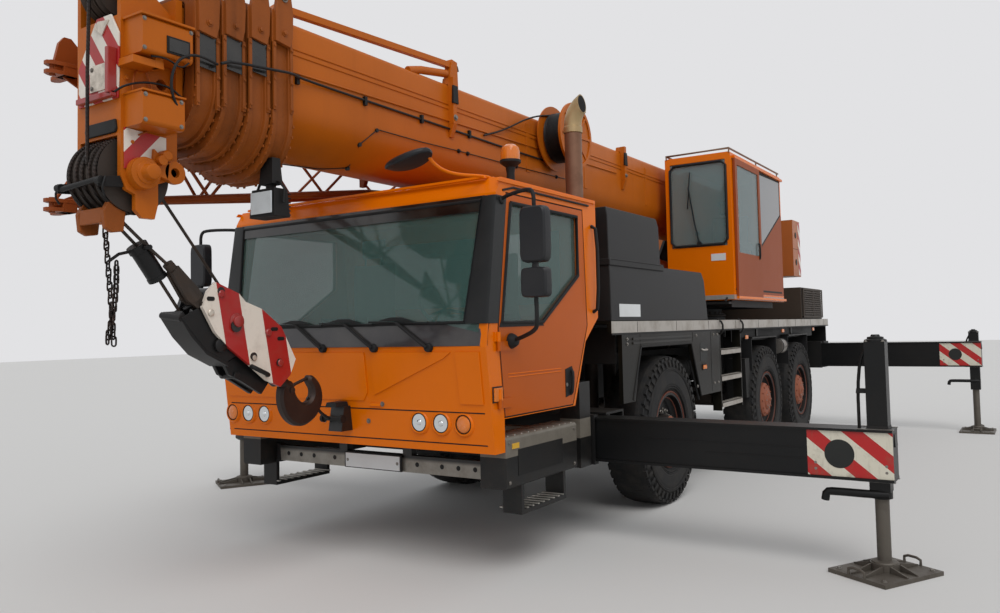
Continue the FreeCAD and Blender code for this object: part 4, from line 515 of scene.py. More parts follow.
orange = paint("cab_orange", rgb(232, 114, 0), 0.12, 0.24, (120, 62, 20), 0.3)
door_orange = paint("door_orange", rgb(192, 88, 0), 0.16, 0.28, (110, 56, 20), 0.3)
op_orange = paint("operator_orange", rgb(150, 70, 26), 0.25, 0.5, (120, 74, 50), 0.2)
boom_orange = paint("boom_orange", rgb(190, 98, 16), 0.32, 0.34, (104, 58, 26))
collar_orange = paint("collar_orange", rgb(152, 80, 28), 0.6, 0.42, (58, 34, 20), 0.7)
beam_black = tough_black("beam_black")
frame_black = tough_black("frame_black", (16, 16, 16), 0.55, (66, 56, 46), 0.3)
rim_black = tough_black("rim_black", (18, 19, 20), 0.45, (80, 66, 56), 0.25)
box_plastic = moulded("box_plastic")
panel_olive = paint("panel_olive", rgb(20, 19, 15), 0.22, 0.36, (70, 58, 42))
tail_orange = paint("tail_orange", rgb(176, 100, 52), 0.45)
louvre_brown = moulded("louvre_brown", (58, 48, 39), 0.6)
tyre_rubber = rubber()
cast_iron = bare_metal("cast_iron", (58, 50, 44), 0.6, 0.4)
dull_steel = bare_metal("dull_steel", (138, 134, 128), 0.4, 0.85)
bright_rod = bare_metal("bright_rod", (200, 200, 204), 0.14, 1.0, (120, 110, 100), 0.08)
exhaust_steel = bare_metal("exhaust_steel", (126, 92, 72), 0.4, 0.6, (78, 50, 36), 0.6)
elbow_steel = bare_metal("elbow_steel", (176, 152, 112), 0.34, 0.7, (120, 92, 62), 0.4)
rail_steel = bare_metal("rail_steel", (128, 98, 78), 0.4, 0.6)
mirror_shell = moulded("mirror_shell", (30, 31, 34), 0.4)
pillar_grey = moulded("pillar_grey", (26, 28, 29), 0.36)
pad_steel = bare_metal("pad_steel", (92, 86, 78), 0.5, 0.4, (60, 50, 42), 0.6)
cab_glass = clear_glass("cab_glass", rgb(74, 104, 98), 0.5)
op_glass = clear_glass("operator_glass", rgb(120, 142, 142), 0.5)
cloth = seat_cloth()
hook_iron = bare_metal("hook_iron", (48, 36, 32), 0.45, 0.5)
gloss_black = glossy("gloss_black", (14, 14, 15))
strip_black = glossy("strip_black", (40, 38, 40), 0.3, 0.1)
seal_rubber = moulded("seal_rubber", (22, 22, 23), 0.6)
# Dark joints, and painted shade where dark discs stand in for holes and hollows
dark_seams_and_hole_shade = moulded("dark_seams_and_hole_shade", (14, 13, 12), 0.8)
hose_black = moulded("hose_black", (20, 20, 21), 0.42)
dash_grey = moulded("dash_grey", (58, 60, 62), 0.7)
# Painted shade: a dark sheet that stands in for the shade inside recesses
recess_shade_black = moulded("recess_shade_black", (34, 36, 35), 0.5)
dark_pane = dull_pane("dark_pane", (22, 20, 18))
side_pane = glossy("side_pane", (92, 94, 96), 0.08, 0.1)
lamp_glass = lens("lamp_glass", (206, 212, 214))
amber_lens = lens("amber_lens", (226, 120, 18))
yellow_lens = lens("yellow_lens", (222, 170, 40))
red_lens = lens("red_lens", (170, 20, 18))
chrome = mirror_metal("chrome")
greased_rope = rope_steel()
block_black = tough_black("block_black", (18, 18, 19), 0.4, (60, 52, 44), 0.3)
jib_orange = paint("jib_orange", rgb(150, 72, 30), 0.45, 0.4)
worn_white = tread_plate("worn_white", (222, 212, 198))
blank_plate = glossy("blank_plate", (214, 216, 216), 0.3, 0.2)
deep_red = glossy("deep_red", (150, 26, 22), 0.35, 0.2)
copper_tube = bare_metal("copper_tube", (184, 96, 42), 0.35, 0.8)
bright_edge = bare_metal("bright_edge", (178, 172, 164), 0.42, 0.55, (118, 104, 88), 0.5)
bright_tread = tread_plate("bright_tread", (172, 168, 160))
rim_ring = paint("rim_ring", rgb(104, 56, 44), 0.4, 0.55)
hub_pink = paint("hub_pink", rgb(146, 86, 64), 0.35, 0.55)
step_grey = step_paint()
sign_stripes = striped("sign_stripes", 0.17, 0.75, "x", 0.02)
side_stripes = striped("side_stripes", 0.2, -0.9, "y", 0.06)
tail_stripes = striped("tail_stripes", 0.2, 0.9, "y", 0.0)
tail_stripes_back = striped("tail_stripes_back", 0.16, 0.9, "x", 0.0)
beam_stripes = {"front": beam_end("front_beam_end", 0.9), "rear": beam_end("rear_beam_end", 1.26)}


def finish_for(name):
    if name.startswith("tyre"):
        return tyre_rubber
    if name.startswith("rim"):
        return rim_black
    if name.startswith("outrigger_beam"):
        return beam_black
    if name.startswith("jack_foot"):
        return pad_steel
    if name.startswith("operator") and "glass" in name:
        return op_glass
    if name in ("door_left", "door_right"):
        return door_orange
    if name == "operator_door":
        return op_orange
    if "glass" in name:
        return cab_glass
    named = {
        "axles": cast_iron, "knuckle_left": cast_iron, "knuckle_right": cast_iron,
             "chassis_frame": frame_black,
        "deck": panel_olive, "exhaust_stack": exhaust_steel, "deck_boxes": box_plastic,
             "engine_block": cast_iron,
        "cab_interior": cloth, "operator_seat": cloth, "front_bumper": bumper_paint(),
             "boom_sheaves": cast_iron,
        "winch_drum": cast_iron, "hoist_ropes": cast_iron, "lift_rod": bright_rod, "hook": hook_iron,
        "hook_block": block_paint(), "jib": jib_orange, "cable_reel": boom_orange, "cab_steps": step_grey,
        "cab_lamps": seal_rubber, "mirrors": seal_rubber, "counterweight": tail_orange,
             "boom_base": boom_orange,
        "boom_section_1": collar_orange, "boom_section_2": collar_orange, "boom_section_3": collar_orange,
        "boom_section_4": boom_orange, "lift_barrel": boom_orange, "turning_frame": frame_black,
    }
    return named.get(name, orange)


for name, item in nodes.items():
    item.data.materials.clear()
    item.data.materials.append(finish_for(name))


# ---------------------------------------------------------------- boom head and hook block


def make_head():
    """Signs, rope wraps, hoses and brackets on the boom's head."""
    sign = Shape("head_front_sign").use(sign_stripes)
    face = -3.36
    sign.plate("y", [(-0.17, 2.84), (0.19, 2.84), (0.2, 3.06), (0.2, 3.18), (0.13, 3.29), (0.0, 3.29),
                     (-0.17, 3.05)],
               face - 0.012, face - 0.001)
    sign.make("section_4", 0.003)
    white = Shape("head_front_panel").use(worn_white)
    white.plate("y", [(-0.05, 2.9), (0.155, 2.9), (0.155, 3.04), (-0.05, 3.04)], face - 0.019, face - 0.012)
    white.plate("y", [(0.06, 3.19), (0.12, 3.26), (0.02, 3.27), (-0.02, 3.24)], face - 0.019, face - 0.012)
    for x, z in ((-0.03, 2.92), (0.135, 2.92), (-0.03, 3.02), (0.135, 3.02)):
        white.use(dull_steel).bolt("y", (x, face - 0.019, z), 0.009, 0.007, -1)
    white.make("section_4", 0.002)
    border = Shape("head_front_border").use(deep_red)
    border.plate("y", [(0.155, 2.86), (0.185, 2.86), (0.185, 3.1), (0.155, 3.1)], face - 0.06, face - 0.012)
    border.plate("y", [(-0.14, 2.845), (0.185, 2.845), (0.185, 2.875), (-0.14, 2.875)], face - 0.045,
                 face - 0.012)
    border.make("section_4", 0.004)
    side_sign = Shape("head_side_sign").use(side_stripes)
    side_sign.plate("x", [(-3.345, 2.475), (-3.2, 2.52), (-3.105, 2.6), (-3.105, 2.675), (-3.345, 2.69)], 0.2,
                    0.207)
    side_sign.make("section_4", 0.002)
    slot = Shape("head_slot_frame").use(frame_black)
    slot.plate("y", [(-0.1, 2.665), (0.165, 2.665), (0.175, 2.685), (0.165, 2.735), (-0.1, 2.735),
                     (-0.11, 2.7)],
               face - 0.014, face + 0.004)
    slot.make("section_4", 0.006)

    centre = (0, -3.25, 2.46)
    ropes = Shape("head_rope_wraps").use(greased_rope)
    for number in range(-2, 3):
        x = number * 0.06
        for turn in (0.0, 0.017) if number % 2 else (-0.009, 0.009):
            reach = 0.1935 + (0.006 if turn else 0)
            ropes.pipe([(x + turn * 0.5, centre[1] - reach * math.cos(a), centre[2] + reach * math.sin(a))
                        for a in [math.radians(95 - step * 7) for step in range(22 if number in (0,
                            1) else 30)]], 0.0085, 8)
    ropes.pipe([(0.03, -3.425, 3.52), (0.035, -3.44, 3.0), (0.05, -3.449, 2.5)], 0.0095, 8)
    ropes.pipe([(0.03, -3.275 - 0.147 * math.cos(a), 3.45 + 0.147 * math.sin(a)) for a in
                [math.radians(v) for v in range(0, 100, 8)]], 0.0095, 8)
    ropes.make("section_4")

    guard = Shape("rope_guard").use(frame_black)
    guard.pipe([(-0.2, -3.463, 2.39), (0.2, -3.463, 2.41)], 0.014, 12)
    for x in (-0.185, 0.185):
        guard.plate("x", [(-3.475, 2.37), (-3.475, 2.42), (-3.34, 2.44), (-3.34, 2.38)], x - 0.006, x + 0.006)
        guard.turn("x", (x - 0.02, -3.463, 2.4), [(0, 0.022), (0.04, 0.022)], 12)
    for x in (-0.215, 0.215):
        guard.pipe([(x, -3.45, 2.42), (x * 1.02, -3.47, 2.36), (x * 0.98, -3.45, 2.32)], 0.006, 8, 1)
    guard.make("section_4", 0.003)
    chock = Shape("rope_outlet").use(collar_orange)
    for x in (-0.135, 0.098):
        chock.plate("x", [(-3.4, 2.17), (-3.36, 2.15), (-3.3, 2.16), (-3.29, 2.25), (-3.28, 2.34),
                          (-3.37, 2.34), (-3.41, 2.26)],
                    x, x + 0.034)
    chock.plate("y", [(-0.105, 2.2), (0.1, 2.2), (0.1, 2.28), (-0.105, 2.28)], -3.405, -3.385)
    chock.make("section_4", 0.006)

    lug = Shape("head_eye_lug").use(boom_orange)
    ring = [(0, 0.026), (0, 0.062), (0.028, 0.062), (0.028, 0.026)]
    lug.turn("x", (0.2, -3.065, 2.49), ring + ring[:1], 28, closed=False)
    lug.plate("x", [(-3.2, 2.47), (-3.11, 2.445), (-3.1, 2.53), (-3.19, 2.6)], 0.2, 0.228)
    lug.turn("x", (0.2, -3.13, 2.57), [(0, 0.03), (0.06, 0.03), (0.068, 0.022)], 20)
    for y, z in ((-3.3, 2.62), (-3.12, 2.74), (-3.07, 2.9), (-3.33, 2.95), (-3.2, 3.33), (-3.1, 3.3)):
        lug.bolt("x", (0.2, y, z), 0.011, 0.01)
    lug.make("section_4", 0.004)
    hub = Shape("head_pin_cap").use(boom_orange)
    hub.turn("x", (0.245, -3.25, 2.46), [(0, 0.083), (0.006, 0.083), (0.012, 0.06), (0.02, 0.06),
                                         (0.026, 0.044), (0.075, 0.04),
                                          (0.08, 0.03)], 32)
    hub.make("section_4", 0.002)

    box = Shape("head_box_fittings").use(frame_black)
    box.block((0.358, 0.366), (-3.205, -3.07), (3.085, 3.175))
    box.use(dark_pane).block((0.366, 0.369), (-3.195, -3.08), (3.095, 3.165))
    box.use(boom_orange).block((0.198, 0.37), (-3.352, -3.04), (3.25, 3.262))
    box.use(boom_orange).block((0.198, 0.368), (-3.345, -3.095), (2.858, 2.868))
    for y, z in ((-3.33, 3.08), (-3.06, 3.23), (-3.33, 3.23), (-3.325, 2.71), (-3.12, 2.71), (-3.325, 2.84),
                 (-3.12, 2.84)):
        box.use(dull_steel).bolt("x", (0.36, y, z), 0.008, 0.006)
    box.use(boom_orange).block((0.2, 0.33), (-3.375, -3.23), (3.0, 3.04), 0.004)
    box.block((0.29, 0.33), (-3.25, -3.2), (3.0, 3.09), 0.004)
    box.make("section_4", 0.004)

    hoses = Shape("head_hoses").use(hose_black)
    hoses.pipe([(0.37, -2.9, 3.1), (0.39, -3.05, 3.115), (0.39, -3.16, 3.06), (0.385, -3.2, 2.95),
                (0.37, -3.18, 2.85),
                (0.33, -3.09, 2.78)], 0.0075, 8, 3)
    hoses.pipe([(0.21, -3.4, 2.86), (0.24, -3.36, 2.9), (0.28, -3.27, 2.93), (0.3, -3.15, 2.93),
                (0.31, -3.08, 2.88)],
               0.006, 8, 3)
    hoses.pipe([(0.34, -3.28, 3.05), (0.35, -3.2, 3.06), (0.36, -3.12, 3.02), (0.37, -3.08, 3.06)], 0.005, 8,
               2)
    hoses.use(copper_tube).pipe([(0.215, -3.22, 3.0), (0.22, -3.19, 2.9), (0.22, -3.23, 2.8),
                                 (0.215, -3.2, 2.7),
                                 (0.215, -3.27, 2.66)], 0.0045, 8, 3)
    hoses.pipe([(0.215, -3.26, 3.02), (0.22, -3.3, 2.98), (0.22, -3.31, 2.85), (0.215, -3.27, 2.75)], 0.0045,
               8, 3)
    hoses.make("section_4")


def make_chain():
    """The short chain under the head, its links turned by turns."""
    chain = Shape("head_chain").use(greased_rope)
    top, low = 2.17, 1.59
    count = 17
    for run, sway in ((0, 0.0), (1, 0.016)):
        for number in range(count):
            share = number / (count - 1)
            z = top - (top - low) * share if not run else low + 0.01 + (1.98 - low) * share
            y = -3.305 + 0.02 * share + sway * math.sin(share * 3)
            x = -0.03 + 0.045 * share + (0.02 if run else 0)
            flat = (number + run) % 2
            long, wide = (0.026, 0.0125)
            if not run and number < 2:
                long = 0.034
            spots = []
            for step in range(17):
                angle = 2 * math.pi * step / 16
                a = wide * math.cos(angle)
                b = (long - wide) * (1 if math.sin(angle) > 0 else -1) * (abs(math.sin(angle)) > 0.01) + wide * math.sin(angle)
                spots.append((x + (a if flat else 0), y + (0 if flat else a), z + b))
            chain.pipe(spots, 0.0048, 6)
    chain.make("section_4")


def make_block():
    """Fittings on the hook block: slots, bolts, sheave ropes, weight and bar."""
    near = 0.126
    trim = Shape("block_fittings").use(frame_black)

    def spot(ahead, down, x):
        return in_block(ahead, down, x)

    def oblong(shape, ahead, down, along, radius, lean, low, high):
        outline = []
        for step in range(16):
            angle = 2 * math.pi * step / 16
            a = radius * math.cos(angle)
            b = radius * math.sin(angle) + (along if math.sin(angle) >= 0 else -along)
            turn = math.radians(lean)
            place = spot(ahead + a * math.cos(turn) - b * math.sin(turn),
                         down + a * math.sin(turn) + b * math.cos(turn), 0)
            outline.append((place[1], place[2]))
        shape.plate("x", outline, low, high)

    for ahead, down, along, radius, lean in ((-32, -779, 14, 13, 40), (126, -1247, 16, 12, 40),
                                             (112, -1324, 16, 12, 40)):
        oblong(trim, ahead, down, along, radius, lean, near - 0.001, near + 0.002)
    for start, end in (((-158, -1251), (-127, -1381)),):
        trim.pipe([spot(*start, near), spot(start[0] - 6, start[1] - 10, near + 0.03),
                   spot(end[0] - 6, end[1] + 10, near + 0.03),
                   spot(*end, near)], 0.014, 12, 2)
    trim.use(deep_red)
    for ahead, down in ((36, -813), (79, -1222), (-9, -1413)):
        place = spot(ahead, down, near)
        trim.turn("x", place, [(0, 0.023), (0.008, 0.023), (0.014, 0.016)], 24)
    trim.turn("x", spot(-16, -1001, near),
              [(0, 0.05), (0.004, 0.05), (0.006, 0.036), (0.022, 0.034), (0.026, 0.026)], 32)
    trim.use(worn_white)
    for ahead, down in ((-93, -831), (-107, -1234)):
        trim.turn("x", spot(ahead, down, near), [(0, 0.021), (0.005, 0.021), (0.01, 0.014)], 20)
    trim.make("hook", 0.002)

    ropes = Shape("block_rope_wraps").use(greased_rope)
    for number in (-1, 0, 1):
        x = number * 0.06
        spots = []
        for step in range(26):
            angle = math.radians(165 + step * 8)
            spots.append(in_block(-45 + 178.5 * math.cos(angle), -1010 + 178.5 * math.sin(angle), x))
        ropes.pipe(spots, 0.009, 8)
    ropes.make("hook")
    body = Shape("block_guards").use(block_black)
    for x in (-0.094, 0.088):
        outline = [(-224, -720), (-30, -800), (-20, -880), (-60, -1190), (-150, -1150), (-225, -1120),
                   (-262, -960)]
        body.plate("x", [(in_block(a, d, 0)[1], in_block(a, d, 0)[2]) for a, d in outline], x, x + 0.006)
    guard = [(-224, -705), (-186, -702), (-214, -850), (-226, -965), (-205, -1110), (-238, -1150),
             (-277, -985), (-262, -840)]
    body.plate("x", [(in_block(a, d, 0)[1], in_block(a, d, 0)[2]) for a, d in guard], -0.09, 0.09)
    core = [(-222, -1160), (-160, -1190), (-128, -1250), (-124, -1440), (-200, -1440), (-226, -1300)]
    body.plate("x", [(in_block(a, d, 0)[1], in_block(a, d, 0)[2]) for a, d in core], -0.036, 0.036)
    lug = [(-235, -1130), (-150, -1165), (-122, -1240), (-120, -1466), (-212, -1466), (-238, -1300),
           (-262, -1200)]
    for x in (-0.062, 0.034):
        body.plate("x", [(in_block(a, d, 0)[1], in_block(a, d, 0)[2]) for a, d in lug], x, x + 0.028)
    body.pipe([in_block(-212, -705, -0.08), in_block(-222, -725, 0.09)], 0.02, 12)
    body.pipe([in_block(-236, -1240, -0.07), in_block(-236, -1240, 0.075)], 0.022, 16)
    body.turn("x", in_block(-187, -1014, 0.094), [(0, 0.04), (0.02, 0.04), (0.026, 0.03)], 24)
    body.pipe([in_block(-150, -735, 0.03), in_block(-60, -760, 0.07), in_block(-10, -752, 0.1)], 0.012, 10)
    body.make("hook", 0.003)

    weight = Shape("limit_weight").use(block_black)
    start, end = Vector(in_block(-55, -312, 0.0)), Vector(in_block(-107, -516, 0.0))
    line = (end - start).normalized()
    weight.pipe([start - line * 0.01, start + line * 0.002, start + line * 0.03], 0.058, 20)
    weight.pipe([start, end - line * 0.012], 0.0515, 20)
    weight.pipe([end - line * 0.02, end + line * 0.004], 0.055, 20)
    weight.pipe([start + line * 0.012 + Vector((0.03, 0, 0)), start + line * 0.012 + Vector((0.11, 0, 0))],
                0.014, 10)
    weight.pipe([start + line * 0.02, Vector(in_block(-160, -262, 0.0)),
                 Vector(in_block(-226, -250, -0.012))], 0.009, 8)
    weight.make("hook", 0.002)

    socket = Shape("rope_socket").use(cast_iron)
    side = 0.06
    socket.pipe([in_block(-33, -478, side), in_block(-36, -520, side)], 0.03, 16)
    for x in (0.026, 0.072):
        outline = [(-68, -520), (-10, -520), (-22, -700), (-50, -800), (-110, -800), (-122, -690)]
        socket.plate("x", [(in_block(a, d, 0)[1], in_block(a, d, 0)[2]) for a, d in outline], x, x + 0.022)
    socket.pipe([in_block(-78, -775, 0.01), in_block(-78, -775, 0.11)], 0.018, 14)
    socket.pipe([in_block(-33, -520, 0.06), in_block(-48, -600, 0.06), in_block(-20, -655, 0.062),
                 in_block(-8, -600, 0.062),
                 in_block(-16, -540, 0.06)], 0.009, 8, 2)
    socket.make("hook", 0.003)

    latch = Shape("hook_latch").use(hook_iron)
    latch.pipe([in_block(-36, -1668, 0.0), in_block(24, -1688, 0.0), in_block(118, -1748, 0.0)], 0.011, 10)
    latch.turn("x", in_block(-36, -1668, -0.045), [(0, 0.02), (0.09, 0.02)], 16)
    latch.make("hook", 0.002)
    strap = Shape("hook_strap").use(hose_black)
    strap.pipe([in_block(20, -1835, -0.005), in_block(25, -1870, 0.0), (0.0, -1.86, 1.12), (0.0, -1.8, 1.06),
                (0.0, -1.73, 1.02)],
               0.011, 10, 2)
    strap.make("hook")
    return strap


# ---------------------------------------------------------------- boom


def u_outline(half, top, low, share=0.86, small=0.1, steps=10):
    """A section's outline in X and z: small rounds above, one broad round below."""
    broad, tight = half * share, half * small
    out = []
    for x, z, radius, first in ((half - tight, top - tight, tight, 90), (half - broad, low + broad, broad, 0),
                                (broad - half, low + broad, broad, -90),
                                (tight - half, top - tight, tight, 180)):
        count = steps if radius > 0.1 else 3
        for step in range(count + 1):
            angle = math.radians(first - 90 * step / count)
            out.append((x + radius * math.cos(angle), z + radius * math.sin(angle)))
    return out


SECTIONS = (
    # node, body, half width, top, underside, collar half, collar top, collar underside, collar back, rear end
    ("boom_base", "boom", 0.33, 3.52, 2.74, 0.392, 3.546, 2.535, -2.385, 6.26),
    ("boom_section_1", "section_1", 0.305, 3.495, 2.765, 0.376, 3.521, 2.585, -2.547, 5.68),
    ("boom_section_2", "section_2", 0.28, 3.47, 2.79, 0.36, 3.496, 2.635, -2.709, 5.64),
    ("boom_section_3", "section_3", 0.255, 3.445, 2.815, 0.344, 3.471, 2.685, -2.871, 5.6),
)


def make_boom_shells():
    """The base and three telescopes with the rounded underside that the real tubes have."""
    for number, (node, body, half, top, low, ring, ring_top, ring_low, back, rear) in enumerate(SECTIONS):
        front = back - 0.152
        shell = Shape(node + "_shell").use(boom_orange if not number else collar_orange)
        outer = u_outline(half, top, low)
        inner = u_outline(half - 0.01, top - 0.01, low + 0.01)
        levels = [(outer, front), (outer, rear), (inner, rear), (inner, front), (outer, front)]
        shell.loft([[(x, y, z) for x, z in line] for line, y in levels], caps=False)
        shell.use(collar_orange)
        wide = u_outline(ring, ring_top, ring_low)
        slim = u_outline(ring - 0.02, ring_top - 0.014, ring_low + 0.02)
        hole = u_outline(half - 0.006, top - 0.006, low + 0.006)
        levels = [(hole, front), (wide, front), (wide, front + 0.03), (slim, front + 0.034),
                  (slim, back - 0.034), (wide, back - 0.03),
                  (wide, back), (hole, back), (hole, front)]
        shell.loft([[(x, y, z) for x, z in line] for line, y in levels], caps=False)
        for side in (1, -1):
            ear = [(front + 0.012, ring_top - 0.21), (back - 0.03, ring_top - 0.225),
                   (back - 0.012, ring_top - 0.16),
                   (back - 0.006, ring_top - 0.02), (back - 0.02, ring_top + 0.07),
                   (back - 0.045, ring_top + 0.125),
                   (back - 0.075, ring_top + 0.136), (front + 0.05, ring_top + 0.12),
                   (front + 0.03, ring_top + 0.06),
                   (front + 0.012, ring_top - 0.03)]
            shell.plate("x", ear, *sorted((side * (ring - 0.008), side * (ring + 0.022))))
            for step in range(9):
                angle = math.radians(-4 - 86 * step / 8)
                x = side * (ring - ring * 0.86 + (ring * 0.86 - 0.001) * math.cos(angle))
                z = ring_low + ring * 0.86 + (ring * 0.86 - 0.001) * math.sin(angle)
                shell.block((x - 0.009, x + 0.009), (back - 0.003, back + 0.006), (z - 0.009, z + 0.009))
                shell.block((x - 0.008, x + 0.008), (front - 0.004, front + 0.003), (z - 0.008, z + 0.008))
        if not number:
            shell.use(boom_orange)
            for side in (1, -1):
                shell.block(sorted((side * 0.3, side * 0.343)), (5.79, 6.11), (2.96, 3.28), 0.01)
                shell.turn("x", (side * 0.343, 5.95, 3.12), [(0, 0.13), (side * 0.002, 0.12)], 32)
                shell.plate("x", [(1.33, 2.8), (2.17, 2.8), (1.84, 2.47), (1.66, 2.47)],
                            *sorted((side * 0.1, side * 0.136)))
                shell.use(dull_steel).turn("x", (side * 0.092, 1.75, 2.56), [(0, 0.05), (side * 0.05, 0.05)],
                                           24)
                shell.turn("x", (side * 0.136, 1.75, 2.56), [(0, 0.068), (side * 0.012, 0.068)], 24)
                shell.use(boom_orange)
            for y in (-0.76, 2.33):
                shell.plate("x", [(y, 3.2), (y + 0.046, 3.2), (y + 0.046, 3.57), (y, 3.57)], 0.326, 0.382)
                shell.block((0.27, 0.382), (y, y + 0.046), (3.516, 3.57), 0.006)
                shell.plate("y", [(0.33, 3.1), (0.345, 3.1), (0.382, 3.2), (0.33, 3.2)], y, y + 0.046)
            shell.plate("x", [(-2.37, 3.575), (-0.66, 3.667), (-0.66, 3.711), (-2.37, 3.62)], 0.275, 0.319)
            shell.plate("x", [(-2.46, 3.54), (-2.34, 3.54), (-2.33, 3.63), (-2.38, 3.65), (-2.44, 3.6)], 0.26,
                        0.334)
            shell.plate("x", [(-0.74, 3.51), (-0.62, 3.51), (-0.63, 3.72), (-0.7, 3.73)], 0.265, 0.329)
            shell.pipe([(0.297, -1.2, 3.52), (0.297, -1.05, 3.56), (0.297, -0.74, 3.61)], 0.03, 12)
            shell.use(frame_black).block((0.27, 0.324), (-0.655, -0.6), (3.655, 3.7), 0.006)
        shell.make(body, 0.003, replaces=(node,))


def make_boom_details():
    """Panels, hoses, clips and lamp along the boom."""
    collars = ((-2.385, 0.392, 3.546, "boom"), (-2.547, 0.376, 3.521, "section_1"),
               (-2.709, 0.36, 3.496, "section_2"),
               (-2.871, 0.344, 3.471, "section_3"))
    for number, (back, half, top, body) in enumerate(collars):
        panel = Shape("collar_panel_%d" % number)
        for side in (1, -1):
            x = side * half
            if number:
                panel.use(dark_pane).plate("x",
                                           [(back - 0.135, top - 0.4), (back - 0.02, top - 0.41),
                                            (back - 0.018, top - 0.2),
                                                 (back - 0.05, top - 0.17), (back - 0.11, top - 0.17),
                                                 (back - 0.14, top - 0.2)],
                                           *sorted((x, x + side * 0.004)))
            edge = collar_orange
            panel.use(edge).block(sorted((x - side * 0.01, x + side * 0.012)), (back - 0.152, back - 0.132),
                                  (top - 0.62, top - 0.215))
            panel.block(sorted((x - side * 0.01, x + side * 0.009)), (back - 0.022, back - 0.002),
                        (top - 0.62, top - 0.215))
            for z in (top - 0.24, top - 0.44, top - 0.6):
                for y in (back - 0.142, back - 0.012):
                    panel.use(collar_orange).bolt("x", (x + side * 0.01, y, z), 0.008, 0.007, side)
            ear_x = half + 0.022
            panel.use(dull_steel).bolt("x", (side * ear_x, back - 0.076, top + 0.06), 0.016, 0.016, side)
            panel.use(collar_orange).bolt("x", (side * ear_x, back - 0.076, top - 0.15), 0.014, 0.012, side)
        panel.use(collar_orange)
        panel.block((-half * 0.8, half * 0.8), (back - 0.15, back - 0.13), (top - 0.002, top + 0.014))
        panel.block((-0.06, 0.06), (back - 0.12, back - 0.03), (top - 0.002, top + 0.05), 0.01)
        panel.make(body, 0.003)

    line = Shape("boom_side_hoses").use(hose_black)
    line.pipe([(0.4, -2.84, 3.125), (0.41, -2.7, 3.14), (0.42, -2.55, 3.15), (0.41, -2.4, 3.17),
               (0.348, -2.28, 3.18),
               (0.34, -1.6, 3.175), (0.34, -0.8, 3.165), (0.34, 0.2, 3.15), (0.34, 0.75, 3.15)], 0.0085, 8, 2)
    line.pipe([(0.4, -2.9, 3.1), (0.41, -2.84, 3.125)], 0.0085, 8)
    line.use(boom_orange).pipe([(0.336, -2.36, 3.21), (0.336, -1.0, 3.225), (0.336, 2.2, 3.26)], 0.006, 8)
    line.use(hose_black)
    clips = [(0.33, -1.58, 3.0), (0.292, -1.71, 2.883), (0.13, -1.66, 2.748)]
    line.pipe([(x + 0.006, y, z - 0.003) for x, y, z in clips] + [(0.0, -1.8, 2.733), (-0.1, -2.2, 2.733)],
              0.004, 6)
    for x, y, z in clips:
        line.turn("x", (x - 0.012, y, z - 0.006), [(0, 0.014), (0.022, 0.014)], 12)
    line.pipe([(0.337, -1.58, 3.0), (0.337, -1.1, 3.0), (0.337, -0.64, 3.012), (0.337, 0.2, 3.02),
               (0.337, 1.4, 3.04)], 0.004, 6)
    for y, z in ((-0.64, 3.012), (-0.52, 3.012), (0.2, 3.02), (0.9, 3.03)):
        line.use(frame_black).bolt("x", (0.331, y, z), 0.012, 0.016)
    for y in (-2.3, -1.7, -1.1, -0.5, 0.1):
        line.block((0.33, 0.352), (y - 0.012, y + 0.012), (3.14, 3.2))
    line.make("boom", 0.0)

    ledge = Shape("boom_seams").use(boom_orange)
    for side in (1, -1):
        for z, thick in ((3.33, 0.012), (3.36, 0.007)):
            ledge.block(sorted((side * 0.328, side * 0.336)), (-2.37, 6.1), (z - thick, z + thick))
        for y in (0.4, 1.5, 3.0, 4.6):
            ledge.block(sorted((side * 0.328, side * 0.3345)), (y - 0.03, y + 0.03), (3.0, 3.44))
    ledge.block((-0.29, 0.29), (-2.37, 6.1), (3.519, 3.527))
    for y in (-1.9, -0.4, 1.2, 2.8, 4.4):
        ledge.block((-0.2, 0.14), (y - 0.05, y + 0.05), (3.52, 3.548), 0.01)
    ledge.make("boom", 0.003)

    fins = Shape("boom_fin_latches").use(frame_black)
    for y in (-0.737, 2.353):
        fins.block((0.372, 0.392), (y - 0.034, y + 0.034), (3.36, 3.5), 0.004)
        fins.use(dull_steel).bolt("x", (0.382, y, 3.25), 0.016, 0.014)
        fins.use(frame_black)
    fins.make("boom", 0.004)

    lamp = Shape("boom_floodlight").use(frame_black)
    lamp.block((0.17, 0.39), (-2.53, -2.41), (2.3, 2.47), 0.01)
    for step in range(6):
        lamp.block((0.19, 0.37), (-2.405, -2.385), (2.315 + step * 0.025, 2.323 + step * 0.025))
    lamp.use(lamp_glass).block((0.19, 0.37), (-2.538, -2.529), (2.32, 2.45))
    lamp.use(frame_black).pipe([(0.16, -2.47, 2.38), (0.16, -2.46, 2.5), (0.24, -2.46, 2.54),
                                (0.4, -2.46, 2.5), (0.4, -2.47, 2.38)],
                               0.009, 8, 1)
    lamp.block((0.22, 0.34), (-2.5, -2.42), (2.5, 2.66), 0.01)
    lamp.turn("z", (0.28, -2.46, 2.47), [(0, 0.03), (0.07, 0.03)], 16)
    lamp.make("boom", 0.006)

    rope = Shape("hoist_rope_on_boom").use(greased_rope)
    rope.pipe([(0.02, -2.6, 3.6), (0.02, -1.0, 3.585), (0.0, 2.0, 3.572), (0.0, 5.9, 3.56)], 0.0095, 8)
    for y in (-1.5, 1.0, 3.5, 5.6):
        rope.use(frame_black).turn("x", (-0.08, y, 3.548), [(0, 0.022), (0.16, 0.022)], 12)
    rope.make("boom")


